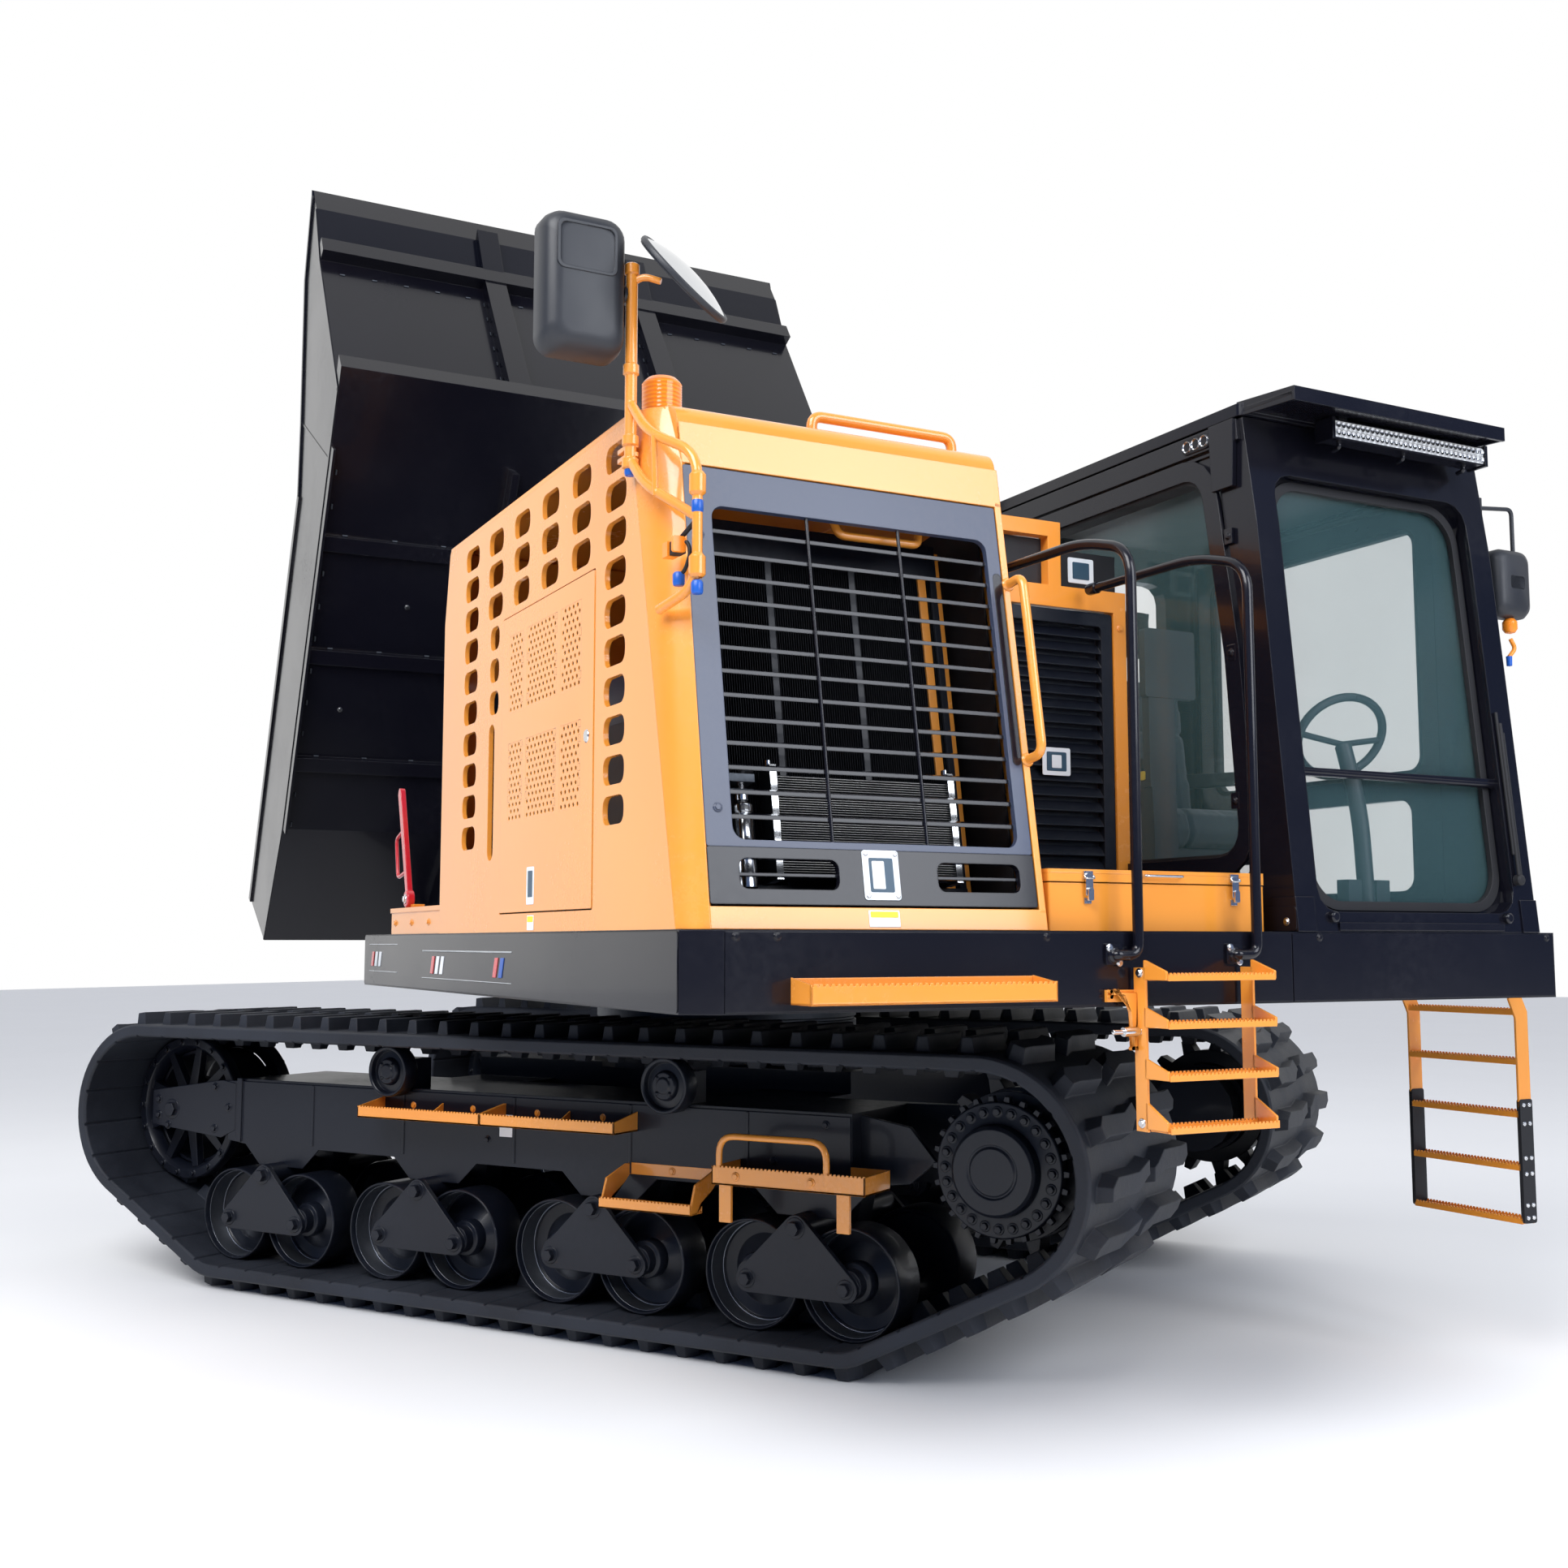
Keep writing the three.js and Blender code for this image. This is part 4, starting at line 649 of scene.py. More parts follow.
# %% [markdown]
# ## Drive sprocket, idler and carrier rollers
# The sprocket sits on the gear motor: a round hub with a ring of bolts, and teeth that push on the belt
# between its guide horns. The idler at the other end is a spoked wheel. Both are turned profiles with
# bolts and spokes set round them.

# %% Sprocket, idler and carrier rollers
def around(count, radius, centre, start=0.0):
    return [(centre[0] + radius * cos(start + 2 * pi * i / count), centre[1] + radius * sin(start + 2 * pi * i / count))
            for i in range(count)]


def spoke(shape, centre, angle, inner, outer, half, low, high):
    """A bar standing out from a centre, in the plane of a wheel that turns about y."""
    c, s = cos(angle), sin(angle)
    outline = [(centre[0] + r * c - w * s, centre[1] + r * s + w * c)
               for r, w in ((inner, -half[0]), (outer, -half[1]), (outer, half[1]), (inner, half[0]))]
    shape.plate("y", outline, *sorted((low, high)))


def sprocket(side, sign):
    centre, hub = sign * TRACK, (SPROCKET, AXLE_HIGH)
    shape = Shape(frame_black)
    at = lambda along: centre + sign * along
    shape.turned("y", hub, [(0, at(302)), (70, at(302)), (76, at(297)), (80, at(297)), (84, at(301)), (128, at(301)),
                            (138, at(292)), (141, at(254)), (150, at(250)), (204, at(248)), (208, at(244)),
                            (208, at(214)), (182, at(206)), (182, at(60)), (238, at(52)), (238, at(-52)),
                            (182, at(-60)), (182, at(-130)), (0, at(-130))], 64)
    shape.turned("y", hub, [(185, at(120)), (230, at(120)), (233, at(126)), (233, at(140)), (185, at(144))], 64)
    for x, z in around(24, 178, hub):
        shape.bolt((x, at(248.5), z), "y", 12, 14, sign)
    for i in range(13):
        angle = 2 * pi * i / 13
        spoke(shape, hub, angle, 225, 292, (30, 15), at(-44), at(44))
    for i in range(26):
        spoke(shape, hub, 2 * pi * i / 26, 196, 226, (12, 8), at(212), at(238))
    shape.piece(f"drive_hub_{side}", f"sprocket_{side}", GROUND, 2.0, 2, (f"sprocket_{side}",))


def idler(side, sign):
    centre, hub = sign * TRACK, (IDLER, AXLE_HIGH)
    shape = Shape(frame_black)
    for face in (-1, 1):
        at = lambda along: centre + face * along
        shape.turned("y", hub, [(240, at(106)), (292, at(106)), (299, at(112)), (299, at(154)), (294, at(160)),
                                (262, at(160)), (254, at(150)), (240, at(120))], 64)
        shape.turned("y", hub, [(0, at(158)), (88, at(158)), (95, at(150)), (95, at(2)), (0, at(2))], 40)
        for i in range(9):
            spoke(shape, hub, 2 * pi * i / 9, 85, 250, (26, 17), at(112), at(146))
        for x, z in around(18, 277, hub):
            shape.bolt((x, at(159.5), z), "y", 11, 12, face)
    shape.turned("y", hub, [(225, centre - 106), (238, centre - 106), (238, centre + 106), (225, centre + 106)], 64)
    shape.drum("y", hub, 45, centre - 238, centre + 238, 24)
    shape.bolt((IDLER, centre + sign * 238, AXLE_HIGH), "y", 30, 18, sign)
    shape.piece(f"idler_wheel_{side}", f"idler_{side}", GROUND, 2.0, 2, (f"idler_{side}",))


def carrier(side, sign, number, x):
    shape = Shape(frame_black)
    at = lambda along: sign * (1300 + along)
    shape.turned("y", (x, 876), [(0, at(82)), (24, at(82)), (30, at(77)), (44, at(77)), (50, at(70)), (52, at(58)),
                                 (78, at(54)), (82, at(74)), (86, at(77)), (93, at(77)), (96, at(72)), (96, at(12)),
                                 (92, at(6)), (48, at(6)), (40, at(2)), (30, at(1)), (30, at(-100)), (0, at(-100))], 48)
    for bolt_x, bolt_z in around(4, 37, (x, 876), pi / 4):
        shape.bolt((bolt_x, at(76.5), bolt_z), "y", 5, 6, sign)
    name = f"carrier_roller_{side}_{number}"
    shape.piece("roller_" + name, name, GROUND, 1.5, 2, (name,))


for side, sign in (("right", -1), ("left", 1)):
    sprocket(side, sign)
    idler(side, sign)
    for number, x in enumerate((-667, 603), 1):
        carrier(side, sign, number, x)
print("sprockets, idlers and carrier rollers on both sides")

# %% [markdown]
# ## Track frame dressing
# The track frame is a welded box. Its CAD node stays, and the things bolted and welded to it are added:
# the arched skirt over the bogies, joint covers, stiffeners and the guards round the idler.

# %% Track frame dressing
def frame_dressing(side, sign):
    shape = Shape(frame_black)
    face = lambda along: sign * (1300 + along)
    skirt = [(-1600, 800), (-1600, 560)]
    for x in BOGIES:
        skirt += [(x - 205, 548), (x - 120, 470), (x + 120, 470), (x + 205, 548)]
    skirt += [(1290, 560), (1290, 800)]
    shape.plate("y", skirt, *sorted((face(0.5), face(7))))
    for x in (-1120, -640, -100, 420, 900):
        shape.block((x - 5, x + 5), sorted((face(6), face(11))), (562, 798))
    shape.plate("y", [(-2060, 600), (-1640, 566), (-1560, 600), (-1560, 790), (-1640, 800), (-2060, 742)],
                *sorted((face(1), face(9))))
    shape.block((-1548, -1520), sorted((face(0), face(14))), (556, 812))
    for x, z in ((-2020, 640), (-2020, 705), (-1960, 600), (-1680, 600), (-1680, 770), (-1600, 690)):
        shape.bolt((x, face(8.5), z), "y", 12, 11, sign)
    for x, z in ((-225, 640), (1000, 640), (1200, 600), (1200, 770)):
        shape.bolt((x, face(6.5), z), "y", 10, 10, sign)
    shape.plate("y", [(1230, 560), (1470, 590), (1560, 667), (1470, 770), (1230, 812)],
                *sorted((sign * 1215, sign * 1235)))
    shape.piece(f"frame_skirt_{side}", "root", GROUND, 1.5)


for side, sign in (("right", -1), ("left", 1)):
    frame_dressing(side, sign)
plate = Shape(label_white)
plate.block((-168, -108), (-1309.5, -1307.5), (655, 735))
plate.paint(orange_lamp).block((-166, -110), (-1310.2, -1309), (712, 732))
plate.piece("frame_notice", "root", GROUND, 0.5)
print("skirts, stiffeners and bolts on both frames")

# %% [markdown]
# ## Engine housing
# The housing is a box of painted sheet steel. Its right side is punched with rows of round-ended air slots
# and has a service door. A punched sheet is drawn as one outline with holes, so that the slots are real
# openings and the dark engine bay shows through. The leaning front and the clipped corner follow the same
# sloping line, and the top front edge is folded round.

# %% Housing shell
REAR, TOP, DECK, RIGHT, LEFT = 820, 2755, 1396.3, -1500, -451
DOOR_X, DOOR_Z = (1516, 2340), (1457, 2385)


def front_at(z):
    """How far forward the leaning front reaches at a height."""
    return 2961 - (z - 1396) * math.tan(LEAN)


def clip_at(z):
    """How far back the clipped corner starts on the side."""
    return front_at(z) - 52 - (z - 1396) * 108 / 1359


def air_slots():
    """The middle, width and first row of each punched slot: (x, z, width)."""
    columns = [1157 + 266.6 * i for i in range(6)]
    slots = [(columns[i], 2662 - 105.6 * row, 152) for i in (0, 5) for row in range(10)]
    slots += [(columns[i], 2662 - 105.6 * row, 152) for i in (1, 2, 3, 4) for row in range(3)]
    return slots + [(columns[1], 2662 - 105.6 * row, 96) for row in (3, 4, 5)]


def housing_shell():
    shell = Shape(yellow)
    holes = [rounded((x - w / 2, x + w / 2), (z - 38, z + 38), 30, 4) for x, z, w in air_slots()]
    holes.append(rounded((1374, 1434), (1626, 2066), 29, 4))
    holes.append(rounded((DOOR_X[0] - 4, DOOR_X[1] + 4), (DOOR_Z[0] - 4, DOOR_Z[1] + 4), 8, 2))
    outline = [(REAR, DECK), (clip_at(DECK), DECK), (clip_at(TOP - 3), TOP - 3), (REAR + 66, TOP - 3),
               (REAR + 52, TOP - 20), (REAR, 2490)]
    shell.plate("y", outline, RIGHT + 0.5, RIGHT + 16, holes)
    shell.plate("y", [(REAR, DECK), (front_at(DECK) - 2, DECK), (front_at(2690) - 2, 2690), (front_at(TOP) - 60, TOP - 3),
                      (REAR + 66, TOP - 3), (REAR, 2490)], LEFT - 16, LEFT)
    shell.plate("x", [(RIGHT + 2, DECK), (LEFT - 2, DECK), (LEFT - 2, 2480), (RIGHT + 2, 2480)], REAR, REAR + 12,
                [rounded((RIGHT + 150, LEFT - 150), (1700, 2300), 40)])
    shell.plate("y", [(REAR + 1, 2478), (REAR + 52, TOP - 22), (REAR + 66, TOP - 4), (REAR + 90, TOP - 20),
                      (REAR + 20, 2470)], RIGHT + 2, LEFT - 2)
    roof = [(REAR + 62, RIGHT + 1), (clip_at(TOP), RIGHT + 1), (front_at(TOP) - 62, RIGHT + 62),
            (front_at(TOP) - 62, LEFT), (REAR + 62, LEFT)]
    shell.plate("z", roof, TOP - 14, TOP)
    nose = [(front_at(TOP) - 90, TOP), *[(front_at(TOP) - 62 + 60 * sin(a), TOP - 60 + 60 * cos(a))
            for a in [k * (pi / 2 - LEAN) / 7 for k in range(8)]], (front_at(2640), 2640), (front_at(2640) - 14, 2640),
            (front_at(TOP) - 90, TOP - 14)]
    shell.plate("y", nose, -1430, LEFT)
    shell.piece("housing_shell", "upper", UPPER, 3.0, 3, ("engine_housing",))


housing_shell()
print(len(air_slots()) + 1, "air slots punched")

# %% Clipped corner and front strips
def clipped_corner():
    corner = Shape(yellow)
    rows, cuts = 9, 6
    points, loops = [], []
    for i in range(rows):
        z = DECK + (TOP - DECK) * i / (rows - 1)
        drop = 60 * max(0, (z - (TOP - 60)) / 60) ** 2
        a = Vector((clip_at(z), RIGHT + 0.5, z))
        b = Vector((front_at(z) - drop, -1430, z))
        for skin in (0, 16):
            for k in range(cuts + 1):
                t = k / cuts
                swell = 13 * sin(pi * t)
                normal = Vector((b.y - a.y, a.x - b.x, 0)).normalized()
                points.append(a.lerp(b, t) + normal * (swell - skin))
    ring = 2 * (cuts + 1)
    order = list(range(cuts + 1)) + list(range(ring - 1, cuts, -1))
    for i in range(rows - 1):
        for k in range(ring):
            one, two = order[k], order[(k + 1) % ring]
            loops.append((i * ring + one, i * ring + two, (i + 1) * ring + two, (i + 1) * ring + one))
    loops += [tuple(order), tuple((rows - 1) * ring + k for k in reversed(order))]
    corner.patch(points, loops)
    corner.piece("housing_corner", "upper", UPPER, 1.5, 2)
    strips = Shape(yellow)
    strips.block((-16, 0), (-1430, LEFT), (1, 57))
    strips.block((-16, 0), (-1430, LEFT), (1203, 1318))
    strips.block((-16, 0), (-472, LEFT), (50, 1215))
    strips.piece("housing_front", "upper", FRONT, 2.0, 2)


clipped_corner()
print("corner clipped and front framed")

# %% [markdown]
# ## Perforated service door
# The door is a thin panel with two fields of small holes in offset rows. Cutting hundreds of holes with
# Boolean modifiers is slow and breaks easily. A cheaper way is to fill each field with little square cells
# that each have a hole in the middle, and to frame the fields with plain sheet.

# %% Service door
def perforated(shape, xs, zs, columns, rows, size, y, depth):
    """Fills a field of sheet with holes in offset rows; half cells fill the ends of every other row."""
    dx, dz = (xs[1] - xs[0]) / columns, (zs[1] - zs[0]) / rows
    for row in range(rows):
        z0 = zs[0] + row * dz
        shift = dx / 2 if row % 2 else 0
        if shift:
            for x0 in (xs[0], xs[1] - dx / 2):
                shape.patch([(x0, y, z0), (x0 + dx / 2, y, z0), (x0 + dx / 2, y, z0 + dz), (x0, y, z0 + dz)],
                            [(0, 1, 2, 3)])
        for column in range(columns - (1 if shift else 0)):
            x0 = xs[0] + shift + column * dx
            cx, cz = x0 + dx / 2, z0 + dz / 2
            square = [(x0 + dx, z0 + dz / 2), (x0 + dx, z0 + dz), (x0 + dx / 2, z0 + dz), (x0, z0 + dz),
                      (x0, z0 + dz / 2), (x0, z0), (x0 + dx / 2, z0), (x0 + dx, z0)]
            hole = [(cx + size[0] * cos(k * pi / 4), cz + size[1] * sin(k * pi / 4)) for k in range(8)]
            points = [(x, y, z) for x, z in square + hole] + [(x, y + depth, z) for x, z in hole]
            loops = [(k, (k + 1) % 8, 8 + (k + 1) % 8, 8 + k) for k in range(8)]
            loops += [(8 + k, 8 + (k + 1) % 8, 16 + (k + 1) % 8, 16 + k) for k in range(8)]
            shape.patch(points, loops)


FIELDS = [((x0, x1), zs, count) for zs in ((2078, 2322), (1738, 1982))
          for x0, x1, count in ((1590, 1726, 4), (1762, 2034, 8), (2070, 2240, 5))]


def service_door():
    panel = Shape(yellow)
    windows = [rounded(xs, zs, 0.01, 1) for xs, zs, _ in FIELDS]
    panel.plate("y", rounded(DOOR_X, DOOR_Z, 8, 2), RIGHT - 1.5, RIGHT + 3, windows)
    for xs, zs, count in FIELDS:
        perforated(panel, xs, zs, count, 12, (7.5, 6.5), RIGHT - 1.5, 3)
    for x in DOOR_X:
        inner = x + 14 if x == DOOR_X[0] else x - 14
        panel.block(sorted((x, inner)), (RIGHT + 2, RIGHT + 24), DOOR_Z)
    for z in DOOR_Z:
        inner = z + 14 if z == DOOR_Z[0] else z - 14
        panel.block(DOOR_X, (RIGHT + 2, RIGHT + 24), sorted((z, inner)))
    panel.paint(black_trim).block((DOOR_X[0] - 1.5, DOOR_X[1] + 1.5), (RIGHT + 22, RIGHT + 26),
                                  (DOOR_Z[0] - 1.5, DOOR_Z[1] + 1.5))
    panel.paint(label_white).plate("y", rounded((1790, 1858), (1478, 1590), 6, 3), RIGHT - 2.6, RIGHT - 1.4)
    panel.paint(label_dark).plate("y", rounded((1804, 1846), (1500, 1578), 3, 2), RIGHT - 3.2, RIGHT - 2.5)
    panel.paint(bright_steel).turned("y", (2290, 1930), [(0, RIGHT - 5), (16, RIGHT - 5), (19, RIGHT - 1),
                                                         (0, RIGHT - 1)], 24)
    panel.piece("service_panel", "service_door", UPPER, 1.0, 2, ("service_door",))


service_door()
print(sum(12 * count - 6 for *_, count in FIELDS), "holes in the service door")

# %% [markdown]
# ## Grille door
# The leaning front is closed by a framed grille. The frame is a pressed plate with a large round-cornered
# opening, satin grey above and gloss black below. Thin flat bars run across the opening on edge, and two
# rods tie them together.

# %% Grille door
def grille_door():
    door = Shape(grey)
    opening = rounded((-1355, -518), (222, 1095), 34, 6)
    door.plate("x", rounded((-1428, -477), (204, 1198), 6, 3), -18, 0, [opening])
    door.paint(black)
    slots = [rounded((-1345, -1070), (100, 176), 22, 5), rounded((-780, -525), (100, 176), 22, 5)]
    door.plate("x", rounded((-1428, -477), (62, 203.5), 6, 3), -18, 1, slots)
    for a0, a1 in ((-1345, -1070), (-780, -525)):
        door.block((-22, -10), (a0 - 6, a1 + 6), (134, 142))
    for z in (62, 1198):
        door.block((-40, -16), (-1424, -481), (z, z + 10) if z == 62 else (z - 10, z))
    for y in (-1424, -491):
        door.block((-40, -16), (y, y + 10), (62, 1198))
    for i in range(13):
        z = 222 + 873 * (i + 1) / 14
        door.plate("y", [(-40, z + 3), (-12, z - 8), (-12, z + 3), (-40, z + 14)], -1358, -515)
    door.plate("x", rounded((-506, -479), (450, 1000), 13, 6), -6, 1.6)
    for y in (-1076, -797):
        door.tube([(-9, y, 214), (-9, y, 1103)], 5)
    door.paint(label_white).plate("x", rounded((-1002, -896), (76, 204), 8, 4), 1, 3)
    door.paint(label_dark).plate("x", rounded((-984, -914), (96, 184), 4, 3), 3, 3.8)
    door.paint(label_white).plate("x", rounded((-976, -940), (104, 176), 3, 3), 3.8, 4.4)
    for y, z in ((-992, 86), (-906, 86), (-992, 194), (-906, 194)):
        door.bolt((3, y, z), "x", 4, 4, 1, bright_steel)
    for z in (300, 1010):
        door.bolt((0, -1392, z), "x", 8, 6, 1, grey)
    door.piece("grille", "grille_door", FRONT, 1.5, 2, ("grille_door",))


grille_door()
plates = Shape(label_white)
plates.plate("x", rounded((-995, -905), (8, 50), 2, 2), 0.2, 1.2)
plates.paint(label_yellow).plate("x", rounded((-990, -910), (32, 47), 2, 2), 1.2, 1.8)
plates.piece("front_plate", "upper", FRONT, 0)
side_plates = Shape(label_white)
side_plates.plate("y", rounded((1795, 1855), (1402, 1446), 2, 2), RIGHT - 1, RIGHT + 0.6)
side_plates.paint(label_yellow).plate("y", rounded((1799, 1851), (1426, 1443), 2, 2), RIGHT - 1.6, RIGHT - 1)
side_plates.piece("side_plate", "upper", UPPER, 0)
print("grille door framed and barred")

# %% [markdown]
# ## Cooler pack behind the grille
# Behind the bars stand a radiator with upright fins and, in front of its lower part, an oil cooler with
# level fins between two bright tanks. Two filters stand beside it. Each fin is its own thin strip of mesh,
# so the pack catches light in lines, as a real core does.

# %% Coolers
aluminium = metal("brushed_aluminium", (0.32, 0.31, 0.3), 0.35, 300)


def coolers():
    pack = Shape(frame_black)
    pack.block((-330, -232), (-1380, -560), (130, 1150))
    pack.block((-232, -196), (-1380, -560), (1050, 1150))
    pack.block((-232, -196), (-1380, -560), (120, 150))
    for y in (-1380, -1110, -850, -580):
        pack.block((-232, -200), (y, y + 20), (150, 1060))
    pack.paint(fin_metal)
    for i in range(112):
        y = -1374 + i * 7.2
        pack.block((-231, -204), (y, y + 1.6), (152, 1052))
    pack.paint(aluminium)
    for i in range(40):
        z = 172 + i * 6.4
        pack.block((-178, -132), (-1160, -640), (z, z + 2.2))
    pack.paint(frame_black).block((-190, -176), (-1165, -635), (160, 438))
    pack.paint(bright_steel)
    for y in (-1180, -640):
        pack.block((-185, -122), (y, y + 20), (150, 452))
        pack.drum("z", (-150, y + 10), 9, 452, 468, 16)
    pack.paint(black_trim).block((-700, -66), (-498, -492), (66, 1230))
    pack.paint(yellow)
    for y, width in ((-622, 26), (-560, 14)):
        pack.block((-240, -200), (y, y + width), (66, 1130))
    pack.block((-300, -262), (-546, -524), (66, 1130))
    pack.tube([(-70, -960, 1128), (-62, -950, 1085), (-62, -700, 1085), (-70, -690, 1128)], 12, 30)
    pack.piece("cooler_pack", "upper", FRONT, 0.6, 1, ("radiator",))
    filters = Shape(bright_steel)
    for y in (-1322, -1262):
        filters.turned("z", (-130, y), [(0, 120), (22, 120), (27, 126), (27, 300), (24, 306), (24, 318), (27, 322),
                                        (27, 340), (16, 350), (0, 350)], 24)
        filters.turned("z", (-130, y), [(0, 352), (18, 352), (18, 372), (9, 376), (9, 400), (0, 400)], 20)
    filters.paint(dark_steel).block((-170, -110), (-1360, -1230), (398, 420))
    filters.paint(black_trim)
    filters.tube([(-130, -1322, 398), (-120, -1330, 440), (-170, -1290, 470), (-230, -1240, 470)], 9, 30)
    filters.tube([(-130, -1262, 398), (-125, -1260, 430), (-150, -1220, 440), (-200, -1200, 455)], 9, 30)
    filters.paint(label_white).block((-232, -228), (-1250, -1160), (1066, 1110))
    filters.piece("fuel_filters", "upper", FRONT, 1.0, 2)



coolers()
print("radiator, oil cooler and filters stand behind the bars")

# %% [markdown]
# ## Handles, rails and the tail box
# Grab handles are bent from round bar and welded on. A tube with a dozen sides and smooth shading reads as
# round, while the CAD keeps eight sides to stay light.

# %% Rails on the housing
def housing_rails():
    grab = Shape(yellow)
    grab.tube([(-4, -457, 468), (70, -457, 468), (70, -457, 972), (-4, -457, 972)], 13, 46, 16)
    for z in (468, 972):
        grab.turned("x", (-457, z), [(0, 0.3), (20, 0.3), (16, 6), (0, 6)], 20)
    grab.piece("grab_handle", "upper", FRONT, 0)
    rail = Shape(yellow)
    rail.tube([(2591, -960, 2756), (2591, -960, 2825), (2591, -500, 2825), (2591, -500, 2756)], 15.5, 52, 16)
    for y in (-960, -500):
        rail.turned("z", (2591, y), [(0, 2755.2), (26, 2755.2), (20, 2762), (0, 2762)], 20)
    rail.piece("hood_grab_rail", "upper", UPPER, 0, replaces=("hood_rail",))
    box = Shape(yellow)
    box.block((114, REAR), (-1495, -1418), (DECK, 1492))
    box.block((108, REAR), (-1499, -1495), (1478, 1497))
    box.block((240, 360), (-1475, -1430), (1492, 1510))
    for x in (180, 420, 660):
        box.bolt((x, -1495, 1440), "y", 9, 8, -1)
    box.piece("tail_box", "upper", UPPER, 2.5)


housing_rails()
lever = Shape(red)
lever.plate("y", bulged([(300, 1530), (150, 1948), (146, 1940)], 17), -1484, -1464)
lever.turned("y", (300, 1530), [(0, -1490), (30, -1490), (34, -1486), (34, -1462), (0, -1462)], 32)
lever.tube([(262, -1474, 1640), (118, -1474, 1616), (82, -1474, 1770), (196, -1474, 1800)], 7, 28)
lever.paint(bright_steel).bolt((300, -1490, 1530), "y", 13, 9, -1)
lever.piece("red_lever", "safety_lever", UPPER, 2.0, 2, ("safety_lever",))
print("handles, hood rail, tail box and lever")

# %% [markdown]
# ## Cab shell trim
# The CAD gives the cab's pressed frame and its glass. What makes it read as a cab are the rubber seals
# round the windows, the cover strips, hinges and small lamps. The windscreen follows a front that bends
# twice, so its seal is drawn flat, as (across, up), and then laid onto the front line.

# %% Cab front seal
CAB_LINE = [(2991, 1396), (2909, 2230), (2870, 2620), (2819, 2960)]
CAB_RIGHT, CAB_LEFT = 402, 1405


def cab_front(z):
    """How far forward the cab's front reaches at a height."""
    for (x0, z0), (x1, z1) in zip(CAB_LINE, CAB_LINE[1:]):
        if z <= z1:
            break
    return x0 + (x1 - x0) * (z - z0) / (z1 - z0)


def front_ring(shape, outer, inner, back, out):
    """A band between two outlines of the same number of points, laid on the cab's bent front."""
    count = len(outer)
    points = [(cab_front(z) + depth, y, z) for depth in (out, back) for y, z in outer + inner]
    loops = []
    for i in range(count):
        j = (i + 1) % count
        loops += [(i, j, count + j, count + i), (2 * count + i, 2 * count + j, 3 * count + j, 3 * count + i),
                  (i, j, 2 * count + j, 2 * count + i), (count + i, count + j, 3 * count + j, 3 * count + i)]
    shape.patch(points, loops)


def even_ring(a, b, radius):
    """A rounded rectangle with its points spaced by angle, so that two of them can be joined."""
    ca, cb, ha, hb = (a[0] + a[1]) / 2, (b[0] + b[1]) / 2, (a[1] - a[0]) / 2 - radius, (b[1] - b[0]) / 2 - radius
    ring = []
    for corner, (sa, sb) in enumerate(((1, 1), (-1, 1), (-1, -1), (1, -1))):
        for i in range(12):
            t = (corner + i / 11) * pi / 2
            ring.append((ca + sa * ha + radius * cos(t), cb + sb * hb + radius * sin(t)))
    return ring


def with_steps(outer, inner, cuts=10):
    """Adds the same number of in-between points to the long sides of two matching rings."""
    result = ([], [])
    count = len(outer)
    for i in range(count):
        j = (i + 1) % count
        long_side = (i + 1) % 12 == 0
        for ring, points in zip((outer, inner), result):
            (a0, b0), (a1, b1) = ring[i], ring[j]
            steps = cuts if long_side else 1
            points += [(a0 + (a1 - a0) * k / steps, b0 + (b1 - b0) * k / steps) for k in range(steps)]
    return result


def windscreen_seal():
    trim = Shape(black)
    outer, inner = with_steps(even_ring((482, 1325), (1446, 2800), 60), even_ring((500, 1307), (1463, 2782), 118))
    front_ring(trim, outer, inner, -58, -46)
    trim.paint(black_trim)
    outer, inner = with_steps(even_ring((496, 1311), (1459, 2786), 122), even_ring((524, 1283), (1487, 2758), 104))
    front_ring(trim, outer, inner, -59, -40)
    trim.paint(black)
    trim.tube([(cab_front(1870) - 30, 440, 1872), (cab_front(1870) - 30, 1367, 1864)], 12)
    trim.piece("windscreen_seal", "upper", UPPER, 2.0, 2)


windscreen_seal()
print("windscreen sealed")

# %% [markdown]
# ## Side windows, strips and lamps
# The side glass has a rounded lower rear corner and a raked front edge. Its seal is the band between two
# outlines drawn round the same corners. A gutter strip runs along the roof, with three small round lamps
# near the front, and a shallow panel is pressed into the lower side.

# %% Cab side trim
def side_band(shape, corners, radii, face, out, sign):
    shape.plate("y", bulged(corners, radii[1], 4), *sorted((face, face + sign * out)), [bulged(corners, radii[0], 4)])


